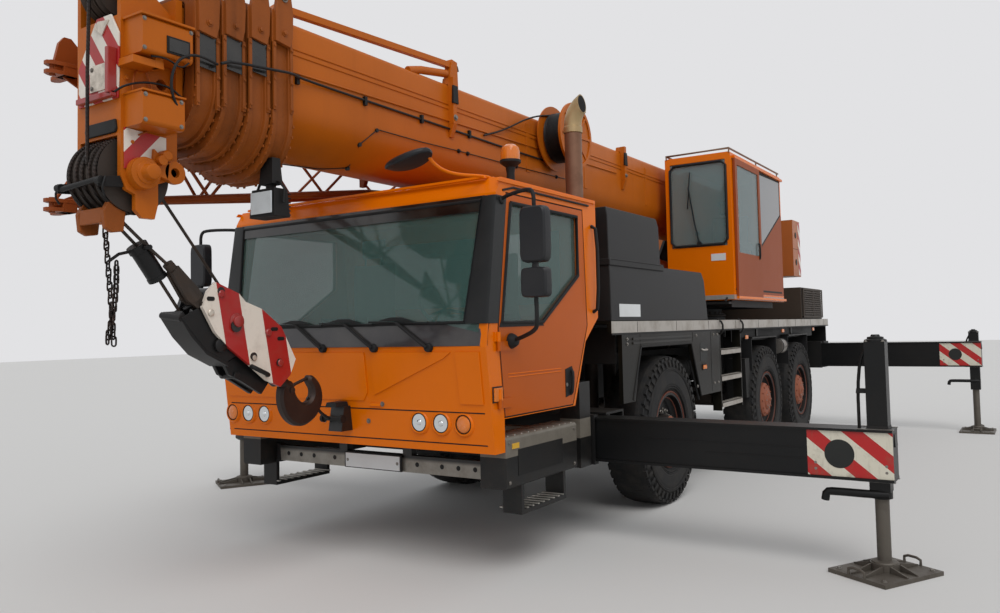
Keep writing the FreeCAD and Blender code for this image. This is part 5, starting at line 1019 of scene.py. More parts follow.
def make_reel_cable():
    """Cable wound on the reel, with spokes on its flanges."""
    cable = Shape("reel_cable").use(hose_black)
    spots = []
    for step in range(14 * 24 + 1):
        angle = 2 * math.pi * step / 24
        share = step / (14 * 24)
        x = 0.372 + 0.022 + (0.23 - 0.044) * share
        spots.append((x, 0.8 + 0.2235 * math.cos(angle), 3.365 + 0.2235 * math.sin(angle)))
    cable.pipe(spots, 0.0078, 6)
    cable.pipe([(0.4, 0.8, 3.588), (0.38, 0.4, 3.5), (0.345, 0.0, 3.3), (0.342, -0.3, 3.2)], 0.0075, 8, 3)
    cable.make("boom")
    spokes = Shape("reel_spokes").use(boom_orange)
    for number in range(8):
        angle = math.pi * number / 4
        c, d = math.cos(angle), math.sin(angle)
        inner, outer, half = 0.05, 0.285, 0.016
        corners = [(0.8 + c * r - d * w, 3.365 + d * r + c * w) for r, w in
                   ((inner, -half), (outer, -half * 0.6), (outer, half * 0.6), (inner, half))]
        spokes.plate("x", corners, 0.602, 0.612)
    ring = [(0, 0.268), (0, 0.3), (0.014, 0.302), (0.014, 0.266)]
    spokes.turn("x", (0.6, 0.8, 3.365), ring + ring[:1], 48)
    spokes.turn("x", (0.602, 0.8, 3.365), [(0, 0.075), (0.03, 0.07), (0.05, 0.05)], 24)
    spokes.make("boom", 0.003)


def make_jib():
    """Stowed lattice jib: four chords that draw in to fork tips, lacing, lugs and seats."""
    jib = Shape("jib_lattice").use(jib_orange)
    stations = [-3.36, -2.85, -2.34, -1.83, -1.32, -0.82, -0.32, 0.18, 0.68, 1.18, 1.68, 2.18, 2.68, 3.18,
                3.44]

    def corner(y, outer, top):
        taper = max(0.0, min(1.0, (-1.32 - y) / 1.53))
        x = -0.8 + 0.33 * taper if outer else -0.455
        low = 2.78 if y >= -0.6 else 2.35 + 0.43 * (y + 3.4) / 2.8
        return (x, y, 3.12 if top else low)

    for outer in (False, True):
        for top in (False, True):
            jib.pipe([corner(y, outer, top) for y in (stations[1:] if outer else stations)], 0.026, 14)
        for number, (near, far) in enumerate(zip(stations[:-1], stations[1:])):
            if number or not outer:
                jib.pipe([corner(near, outer, number % 2), corner(far, outer, not number % 2)], 0.011, 8)
    for number, (near, far) in enumerate(zip(stations[:-1], stations[1:])):
        for top in (False, True):
            if number:
                jib.pipe([corner(near, number % 2, top), corner(far, not number % 2, top)], 0.01, 8)
                jib.pipe([corner(near, False, top), corner(near, True, top)], 0.01, 8)
    jib.pipe([corner(3.44, False, True), corner(3.44, False, False)], 0.029, 14)
    jib.pipe([corner(3.44, True, True), corner(3.44, True, False)], 0.029, 14)
    for z, way in ((3.12, -1), (2.35, 1)):
        jib.block((-0.5, -0.41), (-3.32, -3.24), (z - 0.036, z + 0.036), 0.004)
        for low in (z - 0.036, z + 0.014):
            jib.plate("z", [(-0.5, -3.3), (-0.49, -3.37), (-0.47, -3.4), (-0.44, -3.4), (-0.42, -3.37),
                            (-0.41, -3.3)], low, low + 0.022)
            jib.plate("z", [(-0.41, -3.3), (-0.41, -3.24), (-0.58, -3.25), (-0.6, -3.27), (-0.6, -3.29),
                            (-0.58, -3.305)], low, low + 0.022)
        jib.turn("z", (-0.455, -3.36, z - 0.044), [(0, 0.016), (0.088, 0.016)], 16)
        jib.plate("x", [(-3.3, z), (-3.3, z + way * 0.04), (-2.9, z + way * 0.24), (-2.9, z)], -0.462, -0.448)
    jib.plate("x", [(-3.36, 3.14), (-3.33, 3.27), (-3.3, 3.31), (-3.26, 3.31), (-3.22, 3.27), (-3.2, 3.14)],
              -0.467, -0.443)
    for y in (-0.9, 2.4):
        jib.block((-0.47, -0.3303), (y, y + 0.04), (3.03, 3.12), 0.004)
        jib.plate("y", [(-0.48, 2.78), (-0.44, 2.78), (-0.3303, 3.03), (-0.3303, 3.12), (-0.48, 3.12)], y,
                  y + 0.04)
        for z in (3.06, 3.1):
            jib.use(dull_steel).bolt("y", (-0.38, y, z), 0.014, 0.012, -1)
            jib.use(jib_orange)
    jib.make("boom", 0.003, replaces=("jib",))


# ---------------------------------------------------------------- driver's cab

CAB_FACE = -1.64


def screen_y(z):
    """Where the windscreen's plane stands at a height."""
    return CAB_FACE + 0.151 * (z - 1.5)


def panel_y(z):
    """Where the front panel under the windscreen stands at a height."""
    return -1.56 - 0.08 * (z - 0.83) / 0.67


def make_cab_front():
    """Pillar covers, strip, wipers, seals and pressings of the cab's front."""
    cover = Shape("cab_pillar_covers").use(pillar_grey)
    for side in (1, -1):
        rings = []
        for z in (1.645, 1.9, 2.2, 2.462):
            y = screen_y(z)
            edge = 1.075 + 0.075 * (z - 1.645) / 0.817
            rings.append([(side * edge, y - 0.008, z), (side * 1.236, y - 0.014, z),
                          (side * 1.2585, y - 0.006, z),
                          (side * 1.2585, y + 0.112, z), (side * DECK_HALF, y + 0.112, z),
                          (side * edge, y + 0.004, z)])
        cover.loft(rings)
    rings = []
    for x in (-1.252, -1.2, -0.6, 0.0, 0.6, 1.2, 1.252):
        back = 0.012 * (abs(x) > 1.19) + 0.02 * (abs(x) > 1.24)
        rings.append([(x, panel_y(1.506) - 0.012 + back, 1.506), (x, screen_y(1.57) - 0.014 + back, 1.58),
                      (x, screen_y(1.645) - 0.008 + back, 1.648), (x, screen_y(1.645) + 0.01, 1.648),
                      (x, panel_y(1.506) + 0.01, 1.506)])
    cover.use(strip_black).loft(rings)
    cover.use(gloss_black)
    rings = []
    for x in (-1.17, 0.0, 1.17):
        rings.append([(x, screen_y(2.36) - 0.006, 2.36), (x, screen_y(2.47) - 0.006, 2.466),
                      (x, screen_y(2.47) + 0.01, 2.466),
                      (x, screen_y(2.36) + 0.002, 2.36)])
    cover.loft(rings)
    cover.make("carrier", 0.005)

    seal = Shape("windscreen_seal").use(seal_rubber)
    corners = [(-1.076, 1.655), (1.076, 1.655), (1.146, 2.436), (-1.146, 2.436), (-1.076, 1.655)]
    seal.pipe([(x, screen_y(z) - 0.006, z) for x, z in corners], 0.011, 8)
    seal.make("carrier")

    wipers = Shape("wipers").use(seal_rubber)
    for x in (-0.14, 0.34, 0.81):
        y = panel_y(1.5)
        wipers.turn("y", (x, y - 0.03, 1.5), [(0, 0.026), (0.012, 0.03), (0.04, 0.03)], 16)
        wipers.pipe([(x, y - 0.034, 1.5), (x - 0.05, y - 0.034, 1.53),
                     (x - 0.27, screen_y(1.66) - 0.036, 1.665)], 0.011, 8)
        wipers.plate("y", [(x - 0.52, 1.668), (x - 0.02, 1.652), (x - 0.02, 1.664), (x - 0.52, 1.68)],
                     screen_y(1.66) - 0.032,
                     screen_y(1.66) - 0.02)
        wipers.plate("y", [(x - 0.44, 1.68), (x - 0.11, 1.668), (x - 0.22, 1.7), (x - 0.32, 1.702)],
                     screen_y(1.66) - 0.034,
                     screen_y(1.66) - 0.026)
    wipers.make("carrier", 0.003)

    press = Shape("front_pressings").use(orange)
    for outline in ([(0.3, 1.18), (0.92, 1.43), (0.98, 1.47), (0.3, 1.47)],
                    [(1.02, 1.14), (1.2, 1.14), (1.2, 1.47), (1.01, 1.47)],
                    [(-1.2, 1.14), (0.2, 1.14), (0.24, 1.2), (0.24, 1.47), (-1.2, 1.47)]):
        rings = []
        for out in (-0.001, -0.009):
            rings.append([(x, panel_y(z) + out, z) for x, z in outline])
        press.loft(rings)
    press.use(dark_seams_and_hole_shade)
    for z in (1.085, 0.882):
        press.block((-1.2, 1.2), (panel_y(z) - 0.0015, panel_y(z) + 0.002), (z - 0.004, z + 0.004))
    press.use(orange)
    for x in (-0.3, 0.3):
        press.block((x - 0.05, x + 0.05), (panel_y(1.12) - 0.012, panel_y(1.12) + 0.002), (1.105, 1.125),
                    0.004)
    press.use(dull_steel)
    for x, z in ((-0.2, 0.99), (0.22, 1.0), (-0.36, 1.12), (0.36, 1.12)):
        press.bolt("y", (x, panel_y(z), z), 0.012, 0.01, -1)
    press.make("carrier", 0.004)

    nose = Shape("bumper_fittings").use(dull_steel)
    for x in (-0.9, -0.76, -0.62, -0.4, 0.4, 0.62, 0.76, 0.9):
        nose.use(frame_black).turn("y", (x, -1.2915, 0.671), [(0, 0.017), (0.001, 0.017)], 20)
    nose.use(frame_black).block((-0.275, 0.275), (-1.312, -1.302), (0.613, 0.728))
    nose.use(blank_plate).block((-0.26, 0.26), (-1.318, -1.312), (0.62, 0.72))
    nose.use(dull_steel)
    for x in (-0.24, 0.24):
        nose.bolt("y", (x, -1.318, 0.67), 0.008, 0.005, -1)
    for side in (1, -1):
        nose.use(seal_rubber).block(sorted((side * 0.99, side * 1.04)), (-1.296, -1.224), (0.6, 0.74), 0.006)
    nose.use(frame_black).pipe([(-0.09, -1.7, 1.02), (0.09, -1.7, 1.02)], 0.016, 14)
    nose.turn("x", (-0.1, -1.7, 1.02), [(0, 0.028), (0.02, 0.028)], 16)
    nose.turn("x", (0.08, -1.7, 1.02), [(0, 0.028), (0.02, 0.028)], 16)
    nose.use(seal_rubber).block((-0.05, 0.05), (-1.72, -1.6), (1.1, 1.13), 0.006)
    nose.make("carrier", 0.005)

    lamps = Shape("front_lamps")
    for x in (0.67, 0.85, 1.03, -0.83, -1.01, -1.19):
        amber = abs(x) in (1.03, 1.19)
        spot = (x, panel_y(1.01), 1.01)
        lamps.use(orange).turn("y", spot,
                               [(0.014, 0.084), (-0.004, 0.078), (-0.012, 0.07), (-0.013, 0.064),
                                (-0.006, 0.06), (0.014, 0.06)],
                               40, closed=True)
        lamps.use(seal_rubber).turn("y", spot,
                                    [(-0.006, 0.06), (-0.012, 0.0585), (-0.012, 0.0555), (-0.004, 0.0555),
                                     (0.01, 0.06)], 40,
                                    closed=True)
        lamps.use(amber_lens if amber else chrome)
        if amber:
            bowl = [(-0.005, 0.056), (-0.012, 0.05), (-0.017, 0.036), (-0.02, 0.018), (-0.021, 0.002)]
        else:
            bowl = [(-0.008, 0.056), (0.004, 0.05), (0.008, 0.042), (0.01, 0.034), (0.011, 0.028),
                    (-0.006, 0.02), (-0.012, 0.016),
                    (-0.014, 0.008), (-0.0145, 0.002)]
            lamps.use(dark_seams_and_hole_shade).turn("y", spot,
                                      [(0.009, 0.036), (0.006, 0.0335), (0.006, 0.029), (0.011, 0.0285)], 36,
                                      closed=True)
            lamps.use(chrome)
        lamps.turn("y", spot, bowl, 36)
    for x, y, z in ((1.258, -1.57, 1.2), (-1.258, -1.57, 1.2)):
        lamps.use(seal_rubber).block(sorted((x, x - math.copysign(0.01, x))), (y - 0.012, y + 0.09),
                                     (z - 0.05, z + 0.05), 0.0)
        lamps.use(amber_lens).block(sorted((x, x + math.copysign(0.012, x))), (y - 0.005, y + 0.083),
                                    (z - 0.042, z + 0.042))
    beacon = (1.08, -1.05, 2.585)
    lamps.use(amber_lens).turn("z", beacon,
                               [(0.186, 0.06), (0.19, 0.067), (0.25, 0.067), (0.28, 0.058), (0.297, 0.036),
                                (0.302, 0.006)], 36)
    lamps.use(seal_rubber).turn("z", beacon,
                                [(0, 0.062), (0.012, 0.06), (0.02, 0.03), (0.1, 0.028), (0.14, 0.034),
                                 (0.16, 0.06),
                                              (0.172, 0.074), (0.19, 0.074)], 32)
    lamps.make("carrier", 0.002, replaces=("cab_lamps",))
def make_mirrors():
    """Door mirrors in two housings on bent tubes, and the wide mirror on its thin arm."""
    for name, side in (("left", 1), ("right", -1)):
        house = Shape("mirror_housings_" + name).use(mirror_shell)
        for low, high, deep in ((2.003, 2.347, 0.074), (1.793, 1.975, 0.066)):
            rings = []
            for share, back in ((0.86, -0.5 * deep), (0.97, -0.36 * deep), (1.0, 0.1 * deep),
                                (1.0, 0.46 * deep), (0.96, 0.5 * deep)):
                half, mid, tall = 0.094 * share, (low + high) / 2, (high - low) / 2 * (share * 0.5 + 0.5)
                ring = []
                for step in range(24):
                    a = 2 * math.pi * step / 24
                    c, d = math.cos(a), math.sin(a)
                    ring.append((side * 1.585 + half * math.copysign(abs(c) ** 0.32, c), -1.58 + back,
                                 mid + tall * math.copysign(abs(d) ** 0.3, d)))
                rings.append(ring)
            house.loft(rings)
            house.use(chrome).block(sorted((side * 1.507, side * 1.663)),
                                    (-1.58 + 0.5 * deep, -1.58 + 0.5 * deep + 0.003),
                                    (low + 0.018, high - 0.018))
            house.use(mirror_shell)
        house.block(sorted((side * 1.565, side * 1.605)), (-1.595, -1.565), (1.965, 2.01), 0.004)
        house.make("carrier", 0.004, segments=3)
        arm = Shape("mirror_arms_" + name).use(seal_rubber)
        arm.pipe([(side * 1.245, -1.44, 2.43), (side * 1.3, -1.45, 2.455), (side * 1.54, -1.565, 2.46),
                  (side * 1.583, -1.58, 2.43),
                  (side * 1.585, -1.58, 2.33)], 0.0125, 12, 2)
        arm.pipe([(side * 1.585, -1.58, 1.81), (side * 1.585, -1.575, 1.66), (side * 1.56, -1.54, 1.6),
                  (side * 1.36, -1.4, 1.55),
                  (side * 1.27, -1.36, 1.535)], 0.0135, 12, 2)
        arm.turn("x", (side * 1.2515, -1.36, 1.53),
                 [(0, 0.05), (side * 0.012, 0.05), (side * 0.03, 0.042), (side * 0.05, 0.03),
                                                    (side * 0.056, 0.01)], 24)
        arm.turn("x", (side * 1.235, -1.44, 2.43), [(0, 0.026), (side * 0.03, 0.026), (side * 0.036, 0.018)],
                 18)
        arm.make("carrier", 0.002, replaces=("mirrors",) if side > 0 else ())
    wide = Shape("wide_mirror").use(mirror_shell)
    rings = []
    for step in range(-12, 13):
        along = step / 12
        swell = math.sqrt(max(0.0, 1 - along * along))
        high, deep = 0.012 + 0.036 * swell, 0.008 + 0.1 * swell
        centre = (0.88 + 0.166 * along, -1.9, 2.652 + 0.036 * along + 0.012 * along * along)
        rings.append([(centre[0], centre[1] + deep * math.cos(a), centre[2] + high * max(math.sin(a), -0.35))
                      for a in (2 * math.pi * n / 28 for n in range(28))])
    wide.loft(rings)
    wide.turn("z", (0.96, -1.9, 2.69), [(0, 0.026), (0.02, 0.024), (0.028, 0.012)], 18)
    wide.use(orange).pipe([(0.96, -1.9, 2.712), (0.99, -1.87, 2.7), (1.01, -1.78, 2.62), (1.05, -1.66, 2.59),
                           (1.14, -1.44, 2.6),
                           (1.16, -1.4, 2.587)], 0.0105, 10, 2)
    wide.block((1.13, 1.19), (-1.43, -1.37), (2.584, 2.594), 0.006)
    wide.make("carrier", 0.003)


def make_doors():
    """Seals, handles and pressed lines on the cab's doors."""
    door = [(-1.448, 1.05), (-1.505, 1.62), (-1.378, 2.488), (-0.336, 2.488), (-0.3, 1.62), (-0.552, 1.05)]
    window = [(-1.331, 2.428), (-0.43, 2.428), (-0.43, 1.99), (-0.952, 1.65), (-1.458, 1.65)]
    for name, side in (("left", 1), ("right", -1)):
        out = side * 1.252
        seal = Shape("door_seal_" + name).use(seal_rubber)
        seal.pipe([(out, y, z) for y, z in window + window[:1]], 0.0135, 8)
        inner = [(y * 0.992 - 0.006, z * 0.998 + 0.003) for y, z in door]
        seal.use(dark_seams_and_hole_shade).pipe([(out - side * 0.002, y, z) for y, z in inner + inner[:1]], 0.0045, 6)
        seal.use(seal_rubber).plate("x", [(-1.49, 1.62), (-1.47, 1.66), (-0.96, 1.64), (-0.94, 1.625)],
                                    *sorted((out, out + side * 0.004)))
        seal.use(orange)
        for z in (1.3, 1.32):
            seal.pipe([(out, -1.4, z), (out, -0.72, z)], 0.004, 6)
        seal.make("door_" + name, 0.0)
        handle = Shape("door_handle_" + name).use(seal_rubber)
        handle.plate("x", [(-0.66, 1.11), (-0.66, 1.31), (-0.56, 1.33), (-0.53, 1.28), (-0.55, 1.13)],
                     *sorted((out, out + side * 0.003)))
        handle.pipe([(out, -0.585, 1.13), (out + side * 0.02, -0.59, 1.15), (out + side * 0.02, -0.575, 1.28),
                     (out, -0.565, 1.3)],
                    0.012, 10, 1)
        handle.use(dull_steel).turn("x", (out, -0.64, 1.2), [(0, 0.014), (side * 0.006, 0.014)], 18)
        handle.make("door_" + name, 0.002)

    trim = Shape("cab_side_trim").use(orange)
    for side in (1, -1):
        out = side * 1.252
        rail = [(-1.49, 2.55), (-0.14, 2.555), (-0.14, 2.575), (-1.47, 2.575)]
        trim.plate("x", rail, *sorted((out, out + side * 0.012)))
        trim.use(frame_black).pipe([(out, -1.42, 2.5), (out + side * 0.008, -1.3, 2.53),
                                    (out + side * 0.008, -0.25, 2.53)], 0.008, 8)
        trim.pipe([(out, -0.2, 1.72), (out + side * 0.05, -0.2, 1.75), (out + side * 0.05, -0.2, 2.35),
                   (out, -0.2, 2.38)], 0.014, 10, 1)
        trim.use(orange)
    trim.block((-1.15, 1.15), (-1.47, -1.44), (2.583, 2.6), 0.004)
    for x in (-0.8, -0.4, 0.0, 0.4, 0.8):
        trim.block((x - 0.02, x + 0.02), (-1.3, -0.25), (2.584, 2.593), 0.004)
    trim.use(seal_rubber).block((-0.3, 0.3), (-0.85, -0.4), (2.585, 2.63), 0.03)
    trim.make("carrier", 0.004)

    steps = Shape("cab_step_fittings")
    for side in (1, -1):
        out = side * DECK_HALF
        steps.use(yellow_lens).block(sorted((out, out + side * 0.006)), (-1.37, -1.29), (0.84, 0.875))
        steps.use(bright_tread)
        for number in range(9):
            y = -1.24 + number * 0.068
            steps.block(sorted((side * 1.06, side * 1.24)), (y - 0.01, y + 0.01), (0.43, 0.438), 0.002)
        for number in range(11):
            y = -1.39 + number * 0.083
            steps.block(sorted((side * 1.07, side * 1.235)), (y - 0.008, y + 0.008), (0.919, 0.926), 0.002)
        steps.use(frame_black).block(sorted((out, out + side * 0.003)), (-1.3, -0.72), (0.66, 0.83))
        for y in (-1.4, -0.55):
            for z in (0.63, 0.88):
                steps.use(dull_steel).bolt("x", (out, y, z), 0.009, 0.007, side)
    steps.make("carrier", 0.003)


def cushion(name, x, y, z, body, upright=False, replaces=()):
    """A crowned cushion with sewn channels, its sides drawn in between its corners."""
    count = 10
    bm = bmesh.new()
    grid = []
    for i in range(count + 1):
        row = []
        for j in range(count + 1):
            a, b = 2 * i / count - 1, 2 * j / count - 1
            pull = 1 - 0.05 * (1 - a * a) * abs(b) ** 3 - 0.05 * (1 - b * b) * abs(a) ** 3
            crown = (1 - a ** 4) * (1 - b ** 4)
            seam = 0.12 * math.exp(-((abs(a) - 0.62) * 14) ** 2) * (1 - b ** 6)
            row.append((a * pull, b * pull, crown * (1 - seam)))
        grid.append(row)

    def spot(a, b, c):
        mid_x, half_x = (x[0] + x[1]) / 2, (x[1] - x[0]) / 2
        if upright:
            mid_z, half_z = (z[0] + z[1]) / 2, (z[1] - z[0]) / 2
            return (mid_x + a * half_x, y[1] - (y[1] - y[0]) * c - MIDDLE, mid_z + b * half_z)
        mid_y, half_y = (y[0] + y[1]) / 2, (y[1] - y[0]) / 2
        return (mid_x + a * half_x, mid_y + b * half_y - MIDDLE, z[0] + (z[1] - z[0]) * c)

    top = [[bm.verts.new(spot(a, b, 0.45 + 0.55 * c)) for a, b, c in row] for row in grid]
    low = [[bm.verts.new(spot(a * 0.95, b * 0.95, 0.0 + 0.08 * (1 - c))) for a, b, c in row] for row in grid]
    for i in range(count):
        for j in range(count):
            bm.faces.new((top[i][j], top[i + 1][j], top[i + 1][j + 1], top[i][j + 1]))
            bm.faces.new((low[i][j], low[i][j + 1], low[i + 1][j + 1], low[i + 1][j]))
    edge = [(i, 0) for i in range(count)] + [(count, j) for j in range(count)]
    edge += [(i, count) for i in range(count, 0, -1)] + [(0, j) for j in range(count, 0, -1)]
    for (i, j), (m, n) in zip(edge, edge[1:] + edge[:1]):
        bm.faces.new((top[i][j], low[i][j], low[m][n], top[m][n]))
    bmesh.ops.recalc_face_normals(bm, faces=bm.faces)
    mesh = bpy.data.meshes.new(name)
    bm.to_mesh(mesh)
    bm.free()
    mesh.materials.append(cloth)
    item = bpy.data.objects.new(name, mesh)
    bpy.context.collection.objects.link(item)
    item.modifiers.new("soft_form", "SUBSURF").levels = 1
    item.modifiers["soft_form"].render_levels = 2
    finish_edges(item, 0)
    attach(item, body)
    if replaces:
        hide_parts(*replaces)
    return item


def make_inside():
    """Dash, wheel, consoles and seats behind the glass."""
    dash = Shape("dashboard").use(dash_grey)
    rings = []
    for x in (-1.2, -1.1, -0.2, 0.1, 1.0, 1.1, 1.2):
        high = 1.54 if abs(x) < 1.15 else 1.5
        hood = 0.05 if -0.15 > x > -1.15 or 0.05 < x < 1.05 else 0.0
        rings.append([(x, -1.53, 1.25), (x, -1.53, high - 0.02), (x, -1.5, high), (x, -1.36, high + hood),
                      (x, -1.26, high + hood * 0.8),
                      (x, -1.24, 1.4), (x, -1.3, 1.25)])
    dash.loft(rings)
    dash.block((-0.2, 0.2), (-1.44, -1.26), (1.09, 1.4), 0.01)
    dash.use(seal_rubber)
    for x in (-0.9, -0.75, -0.6, 0.3, 0.42, 0.54, 0.66, 0.78):
        dash.turn("y", (x, -1.25, 1.47), [(0, 0.04), (0.014, 0.04), (0.018, 0.034)], 20)
    for x in (-0.1, 0.0, 0.1):
        for z in (1.2, 1.28, 1.36):
            dash.block((x - 0.03, x + 0.03), (-1.262, -1.25), (z - 0.02, z + 0.02))
    dash.use(dash_grey)
    for x in (-0.68, 0.56):
        dash.pipe([(x, -0.75, 1.09), (x, -0.75, 1.3), (x, -0.75, 1.47)], 0.09, 20)
        dash.block((x - 0.2, x + 0.2), (-0.95, -0.55), (1.44, 1.49), 0.01)
        dash.use(seal_rubber).block((x - 0.27, x - 0.235), (-0.9, -0.56), (1.68, 1.73), 0.01)
        dash.block((x + 0.235, x + 0.27), (-0.9, -0.56), (1.68, 1.73), 0.01)
        dash.use(dash_grey).pipe([(x - 0.1, -0.52, 2.18), (x - 0.1, -0.515, 2.3)], 0.01, 8)
        dash.pipe([(x + 0.1, -0.52, 2.18), (x + 0.1, -0.515, 2.3)], 0.01, 8)
    dash.make("carrier", 0.008, replaces=("cab_interior",))
    for number, x in enumerate((-0.68, 0.56)):
        cushion("cab_cushion_%d" % number, (x - 0.24, x + 0.24), (-1.0, -0.5), (1.485, 1.62), "carrier")
        cushion("cab_backrest_%d" % number, (x - 0.23, x + 0.23), (-0.62, -0.47), (1.6, 2.2), "carrier", True)
        cushion("cab_headrest_%d" % number, (x - 0.13, x + 0.13), (-0.58, -0.49), (2.23, 2.4), "carrier",
                True)
    wheel = Shape("steering_wheel").use(seal_rubber)
    tilt = math.radians(40)

    def on_wheel(angle, radius, lift=0.0):
        a, b = radius * math.cos(angle), radius * math.sin(angle)
        return (0.56 + a, -1.16 + b * math.sin(tilt) - lift * math.cos(tilt) + 0.02,
                1.76 + b * math.cos(tilt) * -1 + lift * math.sin(tilt))
    wheel.pipe([on_wheel(2 * math.pi * n / 40, 0.21) for n in range(41)], 0.014, 10)
    for angle in (0.3, 2.8, 4.71):
        wheel.pipe([on_wheel(angle, 0.03), on_wheel(angle, 0.205)], 0.011, 8)
    wheel.pipe([on_wheel(0, 0.0, -0.02), (0.56, -1.3, 1.5)], 0.035, 14)
    wheel.make("carrier")


# ---------------------------------------------------------------- wheels


WHEELS = (("front", 1.262), ("middle", 4.388), ("rear", 6.039))


def make_wheels():
    """Tread blocks, wall ribs, hub caps and wheel nuts."""
    for label, axle_y in WHEELS:
        for name, side in (("left", 1), ("right", -1)):
            body = "wheel_%s_%s" % (label, name)
            middle = side * 1.083
            centre = (middle, axle_y, AXLE_Z)
            tread = Shape("tread_%s_%s" % (label, name)).use(tyre_rubber)
            count = 44
            for number in range(count):
                turn = 2 * math.pi * number / count
                for row, (low, high, lean) in enumerate(((-0.178, -0.092, 0.35), (-0.084, -0.006, -0.2),
                                                         (0.006, 0.084, 0.2),
                                                         (0.092, 0.178, -0.35))):
                    shift = (row % 2) * 0.5
                    rings = []
                    for radius, shrink in ((0.644, 1.0), (0.6665, 0.86)):
                        corners = []
                        for along, part in ((low, -1), (high, -1), (high, 1), (low, 1)):
                            wide = 2 * math.pi / count * 0.36 * shrink
                            angle = turn + (shift * 2 * math.pi / count) + part * wide + lean * (along - (low + high) / 2)
                            drop = 0.016 if abs(along) > 0.15 else 0.004 if abs(along) > 0.09 else 0
                            reach = radius - drop
                            corners.append((middle + along * (1 if shrink == 1 else 0.99),
                                            axle_y + reach * math.sin(angle),
                                            AXLE_Z + reach * math.cos(angle)))
                        rings.append(corners)
                    tread.loft(rings)
                for edge in (-1, 1):
                    rings = []
                    for along, radius in ((0.181, 0.625), (0.1915, 0.575), (0.1895, 0.565), (0.175, 0.59)):
                        for part in (0,):
                            a0, a1 = turn - 0.03, turn + 0.03
                            rings.append([(middle + edge * along, axle_y + radius * math.sin(a),
                                           AXLE_Z + radius * math.cos(a))
                                          for a in (a0, a1)])
                    tread.loft([[r[0] for r in rings], [r[1] for r in rings]])
            for radius, wide in ((0.548, 0.1905), (0.535, 0.1905), (0.395, 0.186), (0.378, 0.184)):
                for edge in (-1, 1):
                    profile = [(edge * (wide - 0.004), radius + 0.008),
                               (edge * (wide + 0.002), radius + 0.003),
                               (edge * (wide + 0.002), radius - 0.003),
                               (edge * (wide - 0.004), radius - 0.008)]
                    tread.turn("x", centre, profile, 56, closed=True)
            tread.make(body)

            hub = Shape("hub_%s_%s" % (label, name))
            face = middle + side * (0.062 + 0.011)
            hub.use(rim_ring)
            for radius, thick, place in ((0.337, 0.009, 0.166), (0.285, 0.006, 0.124)):
                ring = [(middle + side * place, axle_y + radius * math.sin(2 * math.pi * n / 56),
                         AXLE_Z + radius * math.cos(2 * math.pi * n / 56)) for n in range(57)]
                hub.pipe(ring, thick, 8)
            for number in range(10):
                angle = 2 * math.pi * (number + 0.5) / 10
                spot = (face, axle_y + 0.168 * math.sin(angle), AXLE_Z + 0.168 * math.cos(angle))
                hub.use(dull_steel).turn("x", spot, [(0, 0.028), (side * 0.006, 0.028)], 16)
                hub.turn("x", spot, [(side * 0.005, 0.02), (side * 0.03, 0.02), (side * 0.034, 0.016)], 6)
                hub.turn("x", spot, [(side * 0.03, 0.011), (side * 0.048, 0.011), (side * 0.05, 0.008)], 12)
            # Painted shade: thin dark discs stand in for the shade seen through the rim's holes
            for number in range(10):
                angle = 2 * math.pi * number / 10
                spot = (face - side * 0.001, axle_y + 0.222 * math.sin(angle),
                        AXLE_Z + 0.222 * math.cos(angle))
                hub.use(dark_seams_and_hole_shade).turn("x", spot, [(0, 0.024), (side * 0.002, 0.024)], 20)
            cap = middle + side * (0.062 + 0.011 + 0.096)
            hub.use(hub_pink)
            hub.turn("x", (cap, axle_y, AXLE_Z),
                     [(-side * 0.09, 0.124), (-side * 0.03, 0.1205), (0, 0.1185), (side * 0.012, 0.11),
                                                (side * 0.02, 0.09), (side * 0.023, 0.05),
                                                 (side * 0.03, 0.046), (side * 0.032, 0.02)], 40)
            if label != "front":
                drum = [(0.062, 0.212), (0.115, 0.208), (0.142, 0.2), (0.158, 0.18), (0.166, 0.14),
                        (0.168, 0.118)]
                hub.turn("x", (middle, axle_y, AXLE_Z), [(side * along, radius) for along, radius in drum], 44)
                for number in range(12):
                    angle = 2 * math.pi * number / 12
                    spot = (middle + side * 0.158, axle_y + 0.172 * math.sin(angle),
                            AXLE_Z + 0.172 * math.cos(angle))
                    hub.bolt("x", spot, 0.009, 0.012, side)
            for number in range(8):
                angle = 2 * math.pi * number / 8
                spot = (cap + side * 0.014, axle_y + 0.092 * math.sin(angle), AXLE_Z + 0.092 * math.cos(angle))
                hub.use(dull_steel).turn("x", spot, [(0, 0.009), (side * 0.008, 0.009)], 6)
            hub.use(hub_pink).bolt("x", (cap + side * 0.03, axle_y, AXLE_Z), 0.014, 0.01, side)
            hub.use(seal_rubber).pipe([(middle + side * 0.15, axle_y + 0.02, AXLE_Z - 0.3),
                                       (middle + side * 0.165, axle_y, AXLE_Z - 0.25)],
                                      0.006, 8)
            hub.make(body, 0.0)


# ---------------------------------------------------------------- carrier


